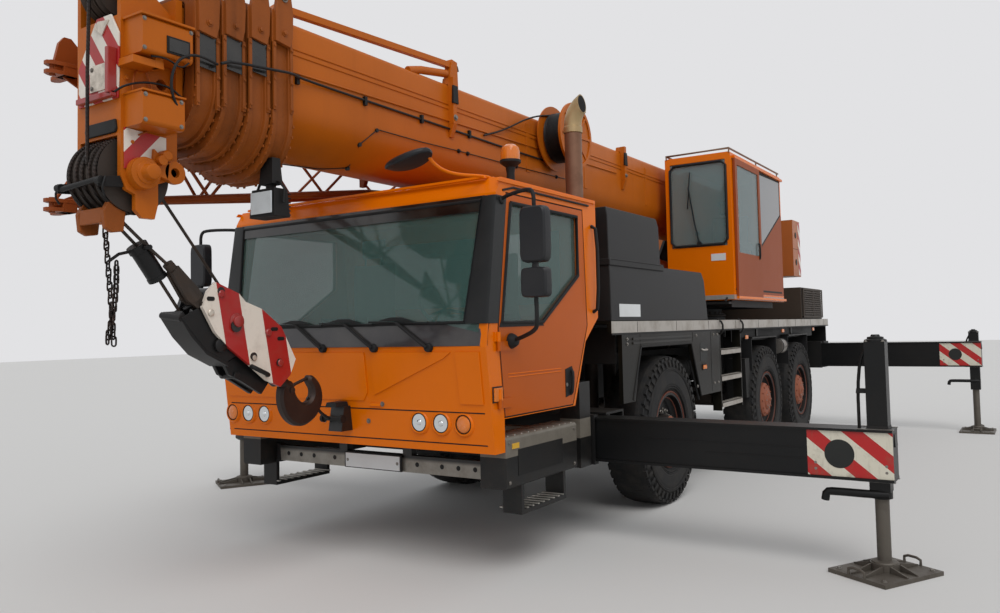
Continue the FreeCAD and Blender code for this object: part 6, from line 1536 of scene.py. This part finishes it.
def make_deck_details():
    """Edge strips, ladders, handles, lamps and mudguard flaps along the carrier."""
    strips = Shape("deck_edge_strips").use(bright_edge)
    for side in (1, -1):
        out = side * DECK_HALF
        strips.block(sorted((out, out + side * 0.004)), (0.11, 7.95), (1.553, 1.6485))
        strips.use(frame_black).block(sorted((out, out + side * 0.006)), (0.11, 7.95), (1.538, 1.553))
        strips.use(dark_seams_and_hole_shade)
        for number in range(9):
            y = 0.6 + number * 0.88
            strips.block(sorted((out + side * 0.003, out + side * 0.0055)), (y, y + 0.006), (1.556, 1.646))
        strips.use(frame_black)
        arch = [(0.49, 0.99), (0.672, 1.43), (1.852, 1.43), (2.09, 0.9)]
        for first, second in zip(arch, arch[1:]):
            strips.pipe([(out + side * 0.001, *first), (out + side * 0.001, *second)], 0.009, 8)
        strips.use(seal_rubber)
        strips.pipe([(side * 1.2, 1.93, 1.26), (side * 1.22, 2.1, 0.86)], 0.012, 8)
    strips.make("carrier", 0.003)

    trim = Shape("deck_fittings")
    for side in (1, -1):
        out = side * DECK_HALF
        # Painted shade: a dark plate stands in for the shade inside the handle's recess
        trim.use(recess_shade_black).block(sorted((out, out + side * 0.002)), (2.1, 2.3), (1.24, 1.42))
        trim.use(bright_edge).pipe([(out, 2.14, 1.36), (out + side * 0.022, 2.15, 1.35),
                                    (out + side * 0.022, 2.25, 1.35),
                                    (out, 2.26, 1.36)], 0.008, 8)
        for y, z in ((2.2, 1.18), (3.62, 1.45), (5.2, 1.5), (6.9, 1.5)):
            trim.use(seal_rubber).block(sorted((out, out + side * 0.006)), (y - 0.055, y + 0.055),
                                        (z - 0.03, z + 0.03))
            trim.use(amber_lens).block(sorted((out + side * 0.004, out + side * 0.014)),
                                       (y - 0.045, y + 0.045), (z - 0.02, z + 0.02))
        trim.use(panel_olive)
        for z in (1.455, 1.49):
            trim.block(sorted((out, out + side * 0.01)), (0.5, 1.86), (z, z + 0.02), 0.004)
        trim.use(dark_seams_and_hole_shade)
        for y in (0.66, 1.9, 2.42):
            trim.block(sorted((out, out + side * 0.0015)), (y - 0.003, y + 0.003),
                       (1.44 if y < 2 else 0.92, 1.535))
        trim.use(panel_olive)
        for y in (0.4, 2.0, 2.5, 2.62):
            for z in (1.5, 1.46 if y < 2 else 1.0):
                trim.use(dull_steel).bolt("x", (out, y, z), 0.01, 0.008, side)
        trim.use(bright_edge)
        for z in (1.29, 1.01, 0.73):
            trim.block(sorted((out - side * 0.055, out + side * 0.006)), (2.725, 3.395),
                       (z + 0.038, z + 0.046))
            trim.block(sorted((out + side * 0.001, out + side * 0.006)), (2.725, 3.395),
                       (z - 0.008, z + 0.046))
            for number in range(10):
                y = 2.76 + number * 0.066
                trim.block(sorted((out - side * 0.05, out + side * 0.002)), (y, y + 0.02),
                           (z + 0.046, z + 0.051))
        trim.use(frame_black)
        for y in (2.71, 3.41):
            trim.pipe([(out, y, 1.5), (out + side * 0.035, y, 1.53), (out + side * 0.035, y, 1.62),
                       (out - side * 0.02, y, 1.66)],
                      0.011, 8, 1)
        for _, axle_y in WHEELS[1:]:
            for end in (-1, 1):
                y = axle_y + end * 0.53
                trim.use(seal_rubber).block(sorted((side * 0.9, side * 1.24)), (y - 0.006, y + 0.006),
                                            (1.02, 1.43))
            trim.use(frame_black).block(sorted((side * 0.9, out)), (axle_y - 0.53, axle_y + 0.53),
                                        (1.438, 1.445))
        trim.block(sorted((side * 1.0, side * 1.235)), (3.62, 3.8), (0.75, 1.2), 0.01)
        trim.block(sorted((side * 1.13, side * 1.142)), (3.42, 7.3), (1.4, 1.556))
        trim.use(dull_steel).pipe([(side * 1.18, 5.1, 1.3), (side * 1.18, 5.35, 1.3)], 0.1, 24)
        trim.use(frame_black)
        for y in (5.12, 5.33):
            trim.pipe([(side * 1.18, y, 1.3), (side * 1.18, y + 0.02, 1.3)], 0.106, 24)
        for y in (5.16, 5.29):
            trim.block(sorted((side * 1.1, side * 1.14)), (y - 0.015, y + 0.015), (1.3, 1.56))
    trim.use(frame_black)
    for x in (-1.0, 1.0):
        trim.block((x - 0.18, x + 0.18), (7.93, 7.975), (1.2, 1.38), 0.006)
        for offset, lens in ((-0.12, red_lens), (-0.04, red_lens), (0.04, amber_lens), (0.12, lamp_glass)):
            trim.use(lens).turn("y", (x + offset, 7.974, 1.29), [(0, 0.034), (0.006, 0.034), (0.01, 0.028)],
                                24)
        trim.use(frame_black).block(sorted((x * 0.82, x * 1.22)), (7.912, 7.932), (1.24, 1.6))
    trim.block((-0.8, 0.8), (7.935, 7.965), (1.17, 1.23), 0.008)
    trim.block((-1.0, 1.2), (0.28, 0.3), (1.3, 1.6))
    trim.use(blank_plate).block((-0.26, 0.26), (7.966, 7.972), (1.3, 1.41))
    trim.make("carrier", 0.003)

    deck = Shape("deck_treads").use(bright_tread)
    for side in (1, -1):
        for number in range(26):
            y = 2.5 + number * 0.07
            deck.block(sorted((side * 0.85, side * 1.2)), (y, y + 0.016), (1.6495, 1.6535))
    deck.use(frame_black)
    for x, y in ((0.9, 0.8), (1.05, 1.6), (-0.9, 2.6), (0.95, 7.75), (-0.95, 7.75)):
        deck.block((x - 0.12, x + 0.12), (y - 0.08, y + 0.08), (1.649, 1.69), 0.012)
        deck.use(dull_steel).pipe([(x - 0.05, y, 1.69), (x - 0.05, y, 1.71), (x + 0.05, y, 1.71),
                                   (x + 0.05, y, 1.69)], 0.006, 8)
        deck.use(frame_black)
    for x in (-0.2, 0.2):
        deck.pipe([(x, 2.4, 1.66), (x * 1.4, 3.0, 1.668), (x * 1.2, 3.65, 1.665)], 0.015, 10, 2)
    deck.make("carrier", 0.003)


def make_boxes_details():
    """Lid lines, catches, rims and ribs on the boxes behind the cab and at the rear."""
    shells = Shape("deck_box_shells").use(box_plastic)
    for side in (1, -1):
        inner, out = side * 0.4, side * DECK_HALF
        rings = []
        for z, inset, back in ((1.65, 0.0, 0.0), (2.05, 0.006, 0.06), (2.135, 0.022, 0.075)):
            rings.append([(inner, 0.118 + inset, z), (out - side * inset, 0.118 + inset, z),
                          (out - side * inset, 2.36 - back - inset, z),
                          (inner, 2.36 - back - inset, z)])
        shells.loft(rings)
        rings = []
        for z, inset in ((2.1, 0.002), (2.15, 0.002), (2.162, 0.012)):
            rings.append([(inner, 0.118 + inset, z), (out - side * inset, 0.118 + inset, z),
                          (out - side * inset, 1.24 - inset, z),
                          (inner, 1.24 - inset, z)])
        shells.loft(rings)
        rings = []
        for z, inset in ((2.15, 0.012), (2.5, 0.018), (2.576, 0.034)):
            rings.append([(inner, 0.118 + inset * 0.5, z), (out - side * inset, 0.118 + inset * 0.5, z),
                          (out - side * inset, 1.19 - inset, z),
                          (inner, 1.19 - inset, z)])
        shells.loft(rings)
    shells.use(louvre_brown)
    shells.block((-1.236, 1.236), (6.336, 7.614), (1.651, 2.11), 0.004)
    shells.make("carrier", 0.026, replaces=("deck_boxes",), segments=4)
    lids = Shape("deck_box_lines").use(dark_seams_and_hole_shade)
    for side in (1, -1):
        out = side * DECK_HALF
        lids.block(sorted((out - side * 0.012, out - side * 0.0003)), (0.15, 1.2), (2.146, 2.15))
        lids.use(blank_plate).block(sorted((out - side * 0.004, out + side * 0.0015)), (0.27, 0.68),
                                    (1.685, 1.79))
        lids.use(dark_seams_and_hole_shade)
    lids.make("carrier", 0.0)

    louvres = Shape("rear_box_louvres").use(louvre_brown)
    for side in (1, -1):
        out = side * DECK_HALF
        for number in range(11):
            z = 1.72 + number * 0.032
            rings = []
            for y in (6.42, 7.52):
                rings.append([(out - side * 0.002, y, z), (out + side * 0.014, y, z - 0.004),
                              (out + side * 0.014, y, z + 0.004),
                              (out - side * 0.002, y, z + 0.024)])
            louvres.loft(rings)
        louvres.plate("x", [(6.37, 1.67), (7.58, 1.67), (7.58, 1.7), (6.37, 1.7)],
                      *sorted((out - side * 0.001, out + side * 0.012)))
        louvres.plate("x", [(6.37, 2.07), (7.58, 2.07), (7.58, 2.1), (6.37, 2.1)],
                      *sorted((out - side * 0.001, out + side * 0.012)))
        for y in (6.37, 6.97, 7.55):
            louvres.block(sorted((out - side * 0.001, out + side * 0.013)), (y, y + 0.03), (1.67, 2.1))
    louvres.make("carrier", 0.003)

    pipe = Shape("exhaust_pipe").use(exhaust_steel)
    pipe.pipe([(1.01, 0.0, 1.65), (1.01, 0.0, 2.4), (1.01, 0.0, 3.2)], 0.07, 36)
    for z in (1.72, 2.5):
        pipe.turn("z", (1.01, 0, z), [(0, 0.07), (0.003, 0.075), (0.033, 0.075), (0.036, 0.07)], 32)
    pipe.use(elbow_steel)
    pipe.turn("z", (1.01, 0, 3.17), [(0, 0.07), (0.004, 0.077), (0.05, 0.077), (0.056, 0.072)], 36)
    elbow = []
    for step in range(10):
        bend = math.radians(-6 + 62 * step / 9)
        centre = Vector((1.01 + 0.2 * (1 - math.cos(bend)), 0, 3.235 + 0.2 * math.sin(bend)))
        across = Vector((math.cos(bend), 0, -math.sin(bend)))
        if step > 7:
            lean = math.radians(58 if step == 8 else 84)
            across = Vector((math.cos(lean), 0, -math.sin(lean))) * (1.03 if step == 8 else 1.12)
        elbow.append([centre + across * (0.0705 * math.cos(a)) + Vector((0, 0.0705 * math.sin(a), 0))
                      for a in (2 * math.pi * n / 36 for n in range(36))])
    pipe.loft(elbow)
    # Painted shade: a dark disc just inside the elbow's mouth stands in for the shade inside the pipe
    mouth = [elbow[-1], [p + (elbow[-1][9] + elbow[-1][27] - p * 2) * 0.06 + Vector((0.0006, 0,
        0.0001)) for p in elbow[-1]]]
    pipe.use(dark_seams_and_hole_shade).loft([mouth[1], [p + Vector((0.0005, 0, 0)) for p in mouth[1]]])
    pipe.make("carrier", 0.0, replaces=("exhaust_stack",))


# ---------------------------------------------------------------- outriggers


OUTRIGGERS = (
    # name, side, pair y, low, high, jack x, jack top
    ("front", 0.03, 0.592, 0.326, 3.229, 1.472), ("rear", 7.671, 0.92, 0.356, 3.313, 1.405),
)


def make_outrigger_details():
    """Warning ends, dark discs painted as the shade of round recesses, caps, pipes, handles and the feet's
    ribs.
    """
    for label, pair_y, low, high, jack_x, top in OUTRIGGERS:
        for name, side in (("left", 1), ("right", -1)):
            y = pair_y - side * 0.128
            mark, dot = (2.8, 0.092) if label == "front" else (2.88, 0.084)
            beam = "beam_%s_%s" % (label, name)
            ends = Shape("beam_end_%s_%s" % (label, name))
            for face, sign in ((y - 0.096, -1), (y + 0.096, 1)):
                ends.use(beam_stripes[label]).block(sorted((side * mark, side * (jack_x + 0.092))),
                                                    sorted((face, face + sign * 0.0015)),
                                                     (low + 0.018, low + high - 0.018))
                # Painted shade: a dark disc stands in for the shade in the beam end's round recess
                ends.use(recess_shade_black).turn("y", (side * (mark + 0.2), face + sign * 0.0015, low + high / 2),
                                            [(0, dot), (sign * 0.0015, dot)], 40)
                ends.use(dull_steel)
                for x in (mark + 0.05, jack_x + 0.05):
                    for z in (low + 0.06, low + 0.1):
                        ends.bolt("y", (side * x, face + sign * 0.0015, z), 0.006, 0.0014, sign)
                ends.use(beam_black).block(sorted((side * (mark - 1.15), side * (mark - 0.02))),
                                           sorted((face, face + sign * 0.003)),
                                           (low + 0.19, low + 0.196))
                ends.block(sorted((side * (mark - 0.7), side * (mark - 0.02))),
                           sorted((face, face + sign * 0.003)),
                           (low + 0.12, low + 0.125))
            ends.use(dull_steel)
            for flange, way in ((low + high, 1), (low, -1)):
                for edge in (-1, 1):
                    ends.block(sorted((side * (jack_x - 0.12), side * (jack_x + 0.098))),
                               sorted((y + edge * 0.07, y + edge * 0.099)),
                               sorted((flange - way * 0.002, flange + way * 0.003)))
            ends.use(beam_black).block(sorted((side * (jack_x + 0.075), side * (jack_x + 0.1))),
                                       (y - 0.05, y + 0.05),
                                       (low + high - 0.11, low + high - 0.03), 0.004)
            cap = [(0, 0.068), (0.012, 0.068), (0.02, 0.05), (0.03, 0.05), (0.034, 0.03), (0.046, 0.024)]
            ends.turn("z", (side * jack_x, y, top), cap, 28)
            for corner in (-1, 1):
                for other in (-1, 1):
                    ends.use(dull_steel).bolt("z", (side * jack_x + corner * 0.05, y + other * 0.05, top),
                                              0.009, 0.01)
            ends.use(frame_black)
            pipe_x = side * (jack_x - 0.115)
            ends.pipe([(pipe_x, y - 0.02, low + high), (pipe_x, y - 0.02, top - 0.3),
                       (pipe_x + side * 0.02, y - 0.02, top - 0.12),
                       (pipe_x + side * 0.06, y - 0.02, top - 0.04),
                       (pipe_x + side * 0.07, y - 0.02, top - 0.01)], 0.0105, 10, 1)
            ends.block(sorted((side * (jack_x - 0.125), side * (jack_x - 0.06))), (y - 0.04, y),
                       (top - 0.33, top - 0.3), 0.003)
            ends.block(sorted((side * (jack_x - 0.067), side * (jack_x + 0.067))), (y - 0.067, y + 0.067),
                       (low + high, low + high + 0.02), 0.004)
            ends.make(beam, 0.003)
            grip = Shape("jack_grip_%s_%s" % (label, name)).use(beam_black)
            z = low - 0.085 if label == "front" else low - 0.2
            grip.turn("z", (side * jack_x, y, z - 0.03), [(0, 0.066), (0.06, 0.066)], 24)
            grip.pipe([(side * (jack_x + 0.05), y - 0.045, z), (side * (jack_x - 0.05), y - 0.065, z),
                       (side * (jack_x - 0.28), y - 0.06, z),
                       (side * (jack_x - 0.325), y - 0.06, z - 0.005),
                       (side * (jack_x - 0.335), y - 0.06, z - 0.06)],
                      0.026 if label == "front" else 0.022, 12, 1)
            grip.make(beam, 0.003)
            foot = Shape("foot_fittings_%s_%s" % (label, name)).use(pad_steel)
            turn = math.radians(-30 if label == "front" else 0)
            c, d = math.cos(turn), math.sin(turn)

            def on_foot(a, b, z):
                return (side * jack_x + a * c - b * d, y + a * d + b * c, z)
            for a, b in ((1, 0), (-1, 0), (0, 1), (0, -1)):
                for offset in (-0.045, 0.045):
                    reach = 0.2 if a else 0.25
                    ring = []
                    for along, z in ((0.08, 0.026), (reach, 0.026), (reach, 0.034), (0.08, 0.068)):
                        ring.append((a * along + (offset if b else 0), b * along + (offset if a else 0), z))
                    out = []
                    for shift in (-0.006, 0.006):
                        out.append([on_foot(p + (shift if b else 0), q + (shift if a else 0), z) for p, q,
                                    z in ring])
                    foot.loft(out)
            for b in (-0.262, 0.262):
                foot.pipe([on_foot(-0.06, b, 0.026), on_foot(-0.06, b * 1.0, 0.07), on_foot(0.06, b, 0.07),
                           on_foot(0.06, b, 0.026)],
                          0.009, 8, 1)
            foot.turn("z", (side * jack_x, y, 0.074), [(0, 0.08), (0.008, 0.076), (0.014, 0.055)], 32)
            foot.use(dull_steel)
            for a in (-0.17, 0.17):
                for b in (-0.22, 0.22):
                    foot.bolt("z", on_foot(a, b, 0.026), 0.012, 0.01)
            foot.make("foot_%s_%s" % (label, name), 0.003)


# ---------------------------------------------------------------- superstructure


def make_operator_details():
    """Frames, rails, wiper, handles and seat of the operator's cab."""
    frame_lines = Shape("operator_cab_trim")
    front = 3.3
    frame_lines.use(seal_rubber)
    corners = [(0.56, 2.52), (1.13, 2.52), (1.18, 2.57), (1.18, 3.42), (1.13, 3.47), (0.56, 3.47),
               (0.51, 3.42), (0.51, 2.57)]
    frame_lines.pipe([(x, front - 0.003, z) for x, z in corners + corners[:1]], 0.015, 8)
    frame_lines.pipe([(0.85, front - 0.02, 2.56), (0.8, front - 0.03, 2.8), (0.74, front - 0.03, 3.2)], 0.009,
                     8)
    frame_lines.turn("y", (0.85, front - 0.02, 2.54), [(0, 0.028), (0.025, 0.028)], 16)
    frame_lines.pipe([(0.72, front - 0.016, 2.95), (0.76, front - 0.016, 3.38)], 0.007, 6)
    frame_lines.use(orange)
    frame_lines.block((0.46, 1.226), (3.31, 5.39), (3.556, 3.572), 0.012)
    frame_lines.block((0.62, 1.06), (3.9, 4.7), (3.57, 3.592), 0.02)
    frame_lines.use(rail_steel)
    rail = [(0.47, 5.3, 3.6), (0.47, 3.3, 3.6), (1.225, 3.3, 3.605), (1.225, 5.36, 3.61)]
    frame_lines.pipe(rail, 0.0115, 10)
    for x, y in ((0.47, 3.3), (1.225, 3.3), (1.225, 4.35), (1.225, 5.3), (0.47, 4.35), (0.47, 5.26)):
        frame_lines.pipe([(x, y, 3.555), (x, y, 3.6)], 0.009, 8)
    frame_lines.use(blank_plate).block((0.98, 1.15), (3.296, 3.3), (2.33, 2.41))
    frame_lines.use(bright_edge).block((1.2355, 1.24), (3.31, 5.39), (1.885, 1.935))
    frame_lines.block((0.46, 1.236), (3.2955, 3.3), (1.885, 1.935))
    frame_lines.use(dark_seams_and_hole_shade).block((1.2355, 1.2375), (4.36, 4.366), (1.95, 3.5))
    frame_lines.use(seal_rubber)
    for z in (2.0, 3.49):
        frame_lines.block((1.236, 1.2408), (3.36, 5.3), (z - 0.012, z + 0.012))
    pane = [(4.42, 3.47), (5.33, 3.49), (5.33, 3.04), (4.42, 2.56)]
    frame_lines.use(seal_rubber)
    for (y, z), (after_y, after_z) in zip(pane, pane[1:] + pane[:1]):
        way = Vector((after_y - y, after_z - z)).normalized() * 0.011
        frame_lines.plate("x", [(y - way.y - way.x, z + way.x - way.y),
                                (y + way.y - way.x, z - way.x - way.y),
                                (after_y + way.y + way.x, after_z - way.x + way.y),
                                (after_y - way.y + way.x, after_z + way.x + way.y)],
                          1.2362, 1.2412)
    frame_lines.use(side_pane).plate("x", pane, 1.2362, 1.2395)
    frame_lines.use(op_orange).plate("x",
                                     [(4.38, 1.96), (5.385, 1.96), (5.385, 3.03), (5.34, 3.035), (4.42, 2.55),
                                      (4.38, 2.55)],
                                     1.236, 1.2405)
    frame_lines.use(dark_seams_and_hole_shade)
    frame_lines.pipe([(1.2362, y, z) for y, z in ((4.4, 2.3), (5.36, 2.3))], 0.004, 6)
    frame_lines.use(frame_black)
    frame_lines.block((0.5, 1.2), (3.2, 3.3), (1.83, 1.855))
    for x in (0.55, 1.15):
        frame_lines.pipe([(x, 3.3, 1.9), (x, 3.22, 1.86)], 0.012, 8)
    frame_lines.make("superstructure", 0.003)

    door = Shape("operator_door_trim").use(seal_rubber)
    door.pipe([(1.262, 4.22, 2.38), (1.282, 4.22, 2.4), (1.282, 4.22, 2.56), (1.262, 4.22, 2.58)], 0.01, 10,
              1)
    door.use(dull_steel).turn("x", (1.26, 4.22, 2.32), [(0, 0.018), (0.008, 0.018)], 18)
    door.make("operator_door", 0.002)

    for low, high, y, z, upright, label in (
            (-0.24, 0.24, (3.995, 4.5), (2.28, 2.44), False, "cushion"),
            (-0.24, 0.24, (4.36, 4.52), (2.42, 2.98), True, "backrest"),
            (-0.14, 0.14, (4.4, 4.49), (3.0, 3.18), True, "headrest")):
        middle = 0.843
        cushion("operator_" + label, (middle + low, middle + high), y, z, "superstructure", upright,
                ("operator_seat",) if label == "cushion" else ())
    seat = Shape("operator_seat_stand").use(dash_grey)
    seat.block((0.7, 0.98), (4.1, 4.4), (1.93, 2.2), 0.02)
    seat.block((0.63, 1.05), (4.02, 4.48), (2.2, 2.28), 0.01)
    for x in (0.56, 1.09):
        seat.block((x, x + 0.05), (3.92, 4.42), (2.52, 2.6), 0.01)
        seat.pipe([(x + 0.025, 4.4, 2.3), (x + 0.025, 4.42, 2.54)], 0.016, 8)
        seat.use(seal_rubber).pipe([(x + 0.025, 3.96, 2.6), (x + 0.025, 3.95, 2.72)], 0.012, 8)
        seat.turn("z", (x + 0.025, 3.95, 2.7), [(0, 0.02), (0.04, 0.026), (0.06, 0.014)], 14)
        seat.use(dash_grey)
    seat.block((0.55, 1.14), (3.42, 3.58), (1.93, 2.3), 0.03)
    seat.use(dark_pane).block((0.62, 0.86), (3.44, 3.47), (2.35, 2.55))
    seat.make("superstructure", 0.006)


def make_turntable_details():
    """Bolts, hooks, pipes and plates on the turning frame, counterweight and winch."""
    ring = Shape("slew_ring_bolts").use(cast_iron)
    for number in range(36):
        angle = 2 * math.pi * number / 36
        ring.bolt("z", (0.655 * math.cos(angle), 4.45 + 0.655 * math.sin(angle), 1.742), 0.018, 0.022)
    ring.turn("z", (0, 4.45, 1.7), [(0, 0.701), (0.012, 0.712), (0.024, 0.712), (0.032, 0.701)], 64)
    ring.make("carrier", 0.0)
    hooks = Shape("turntable_fittings").use(bright_edge)
    for x in (0.5, 0.75):
        hooks.pipe([(x, 3.87, 1.95), (x, 3.82, 1.93), (x + 0.02, 3.8, 1.88), (x + 0.05, 3.82, 1.85)], 0.014,
                   10, 2)
    hooks.use(frame_black)
    for x in (-0.28, -0.2, 0.2, 0.28):
        hooks.pipe([(x, 4.5, 1.962), (x, 5.0, 1.985), (x, 5.4, 1.98), (x * 0.9, 5.75, 2.05),
                    (x * 0.9, 6.2, 2.4)], 0.014, 8, 2)
    hooks.block((-0.24, 0.24), (4.55, 4.85), (1.955, 2.03), 0.02)
    for x in (-0.15, -0.05, 0.05, 0.15):
        hooks.use(dull_steel).turn("z", (x, 4.7, 2.03), [(0, 0.022), (0.05, 0.022), (0.055, 0.014)], 14)
    hooks.use(frame_black)
    hooks.make("superstructure", 0.003)

    tail = Shape("counterweight_trim")
    for side in (1, -1):
        x = side * 1.1
        tail.use(tail_stripes).block(sorted((x, x + side * 0.003)), (6.84, 6.955), (2.31, 3.1))
        tail.use(frame_black)
        for z in (2.5, 2.9):
            tail.turn("x", (x, 6.7, z), [(0, 0.045), (side * 0.004, 0.045)], 24)
        tail.use(tail_orange).pipe([(side * 0.6, 6.72, 3.12), (side * 0.6, 6.72, 3.19),
                                    (side * 0.78, 6.72, 3.19), (side * 0.78, 6.72, 3.12)],
                                   0.018, 10, 1)
        tail.use(dark_seams_and_hole_shade).block(sorted((x, x + side * 0.0015)), (6.545, 6.955), (2.69, 2.696))
    tail.use(tail_stripes_back)
    for x in (-0.93, 0.93):
        tail.block((x - 0.16, x + 0.16), (6.96, 6.963), (2.32, 2.45))
    tail.use(red_lens)
    for x in (-0.95, 0.95):
        tail.block((x - 0.09, x + 0.09), (6.96, 6.972), (2.6, 2.68))
    tail.use(dull_steel)
    for x in (-0.85, 0.85):
        for z in (2.4, 3.0):
            tail.bolt("y", (x, 6.96, z), 0.025, 0.02)
    tail.make("superstructure", 0.004)

    drum = Shape("winch_rope").use(greased_rope)
    spots = []
    turns = 24
    for step in range(turns * 16 + 1):
        angle = 2 * math.pi * step / 16
        x = -0.265 + 0.53 * step / (turns * 16)
        spots.append((x, 6.77 + 0.1605 * math.cos(angle), 2.8 + 0.1605 * math.sin(angle)))
    drum.pipe(spots, 0.0108, 6)
    for side in (1, -1):
        for number in range(8):
            angle = 2 * math.pi * number / 8
            drum.use(dull_steel).bolt("x",
                                      (side * 0.3, 6.77 + 0.12 * math.cos(angle),
                                       2.8 + 0.12 * math.sin(angle)), 0.014, 0.012, side)
    drum.make("winch")

    rings = Shape("lift_cylinder_trim").use(frame_black)
    foot, eye = Vector((0, 4.95, 2.26)), Vector((0, 1.75, 2.56))
    line = (eye - foot).normalized()
    for along, radius in ((2.86, 0.127), (2.82, 0.124), (0.35, 0.122)):
        rings.pipe([foot + line * (along - 0.02), foot + line * (along + 0.02)], radius, 36)
    rings.use(boom_orange)
    for x in (-0.06, 0.06):
        rings.pipe([foot + line * 0.3 + Vector((x, 0, -0.125)), foot + line * 2.7 + Vector((x, 0, -0.125))],
                   0.014, 10)
        for along in (0.5, 1.5, 2.5):
            rings.pipe([foot + line * along + Vector((x, 0, -0.14)),
                        foot + line * (along + 0.03) + Vector((x, 0, -0.14))], 0.018, 10)
    rings.make("lift_barrel", 0.002)


def make_underside():
    """Propeller shafts and air tanks seen below the carrier."""
    under = Shape("drive_shafts").use(cast_iron)
    for first, last in ((1.5, 4.2), (4.55, 5.85)):
        under.pipe([(0, first, 0.72), (0, first + 0.12, 0.72)], 0.075, 18)
        under.pipe([(0, first + 0.12, 0.72), (0, last - 0.12, 0.72)], 0.05, 18)
        under.pipe([(0, last - 0.12, 0.72), (0, last, 0.72)], 0.075, 18)
    under.make("carrier", 0.004)
    tanks = Shape("air_tanks").use(frame_black)
    for side in (1, -1):
        tanks.pipe([(side * 0.62, 2.3, 1.12), (side * 0.62, 2.36, 1.12), (side * 0.62, 3.14, 1.12),
                    (side * 0.62, 3.2, 1.12)], 0.13, 28)
        for y in (2.45, 3.05):
            tanks.pipe([(side * 0.62, y, 1.12), (side * 0.62, y + 0.03, 1.12)], 0.134, 28)
            tanks.block(sorted((side * 0.38, side * 0.64)), (y, y + 0.03), (1.24, 1.27))
    tanks.make("carrier", 0.006)


for build in (make_head, make_chain, make_block, make_boom_shells, make_boom_details, make_reel_cable,
              make_jib, make_mirrors, make_cab_front,
              make_doors, make_inside, make_wheels, make_deck_details, make_boxes_details,
              make_outrigger_details,
              make_operator_details, make_turntable_details, make_underside):
    build()


# ---------------------------------------------------------------- floor, light and camera


def make_floor():
    mesh = bpy.data.meshes.new("floor")
    far = 60
    mesh.from_pydata([(-far, -far, 0), (far, -far, 0), (far, far, 0), (-far, far, 0)], [], [(0, 1, 2, 3)])
    floor = bpy.data.objects.new("floor", mesh)
    bpy.context.collection.objects.link(floor)
    f = Finish("pale_floor")
    floor.data.materials.append(f.done(rgb(205, 203, 200), 0.9))


def make_light():
    world = bpy.data.worlds.new("studio")
    bpy.context.scene.world = world
    world.use_nodes = True
    tree = world.node_tree
    tree.nodes.clear()
    path = tree.nodes.new("ShaderNodeLightPath")
    lit = tree.nodes.new("ShaderNodeBackground")
    lit.inputs["Color"].default_value = (0.93, 0.96, 1.0, 1)
    lit.inputs["Strength"].default_value = 0.64
    seen = tree.nodes.new("ShaderNodeBackground")
    seen.inputs["Color"].default_value = rgb(226, 226, 228)
    seen.inputs["Strength"].default_value = 1.0
    mix = tree.nodes.new("ShaderNodeMixShader")
    out = tree.nodes.new("ShaderNodeOutputWorld")
    seen_by = Sock(tree, path.outputs["Is Camera Ray"]) + Sock(tree, path.outputs["Is Glossy Ray"])
    seen_by = seen_by + Sock(tree, path.outputs["Is Transmission Ray"])
    tree.links.new(seen_by.least(1.0).socket, mix.inputs[0])
    tree.links.new(lit.outputs[0], mix.inputs[1])
    tree.links.new(seen.outputs[0], mix.inputs[2])
    tree.links.new(mix.outputs[0], out.inputs["Surface"])
    sun = bpy.data.lights.new("soft_sun", "SUN")
    sun.energy = 1.4
    sun.angle = math.radians(40)
    lamp = bpy.data.objects.new("soft_sun", sun)
    lamp.rotation_euler = (math.radians(38), math.radians(14), math.radians(28))
    bpy.context.collection.objects.link(lamp)


CAMERA = {
    "place": (4.133155, -5.774219, 1.608763), "yaw": 0.566479, "pitch": 0.046150, "roll": -0.022988,
    "focal": 817.9785, "centre": (519.2081, 290.6748),
}


def make_camera():
    yaw, pitch, roll = CAMERA["yaw"], CAMERA["pitch"], CAMERA["roll"]
    ahead = Vector((-math.sin(yaw) * math.cos(pitch), math.cos(yaw) * math.cos(pitch), math.sin(pitch)))
    level = Vector((math.cos(yaw), math.sin(yaw), 0))
    up = level.cross(ahead)
    right = level * math.cos(roll) + up * math.sin(roll)
    up = up * math.cos(roll) - level * math.sin(roll)
    data = bpy.data.cameras.new("photo_view")
    data.sensor_width = SENSOR
    data.lens = CAMERA["focal"] * SENSOR / PHOTO_WIDE
    data.shift_x = (PHOTO_WIDE / 2 - CAMERA["centre"][0]) / PHOTO_WIDE
    data.shift_y = (CAMERA["centre"][1] - PHOTO_HIGH / 2) / PHOTO_WIDE
    data.clip_end = 200
    camera = bpy.data.objects.new("photo_view", data)
    place = at(*CAMERA["place"])
    camera.matrix_world = Matrix((
        (right.x, up.x, -ahead.x, place.x), (right.y, up.y, -ahead.y, place.y),
        (right.z, up.z, -ahead.z, place.z), (0, 0, 0, 1)))
    bpy.context.collection.objects.link(camera)
    bpy.context.scene.camera = camera


make_floor()
make_light()
make_camera()
bpy.context.scene.view_settings.view_transform = "Standard"
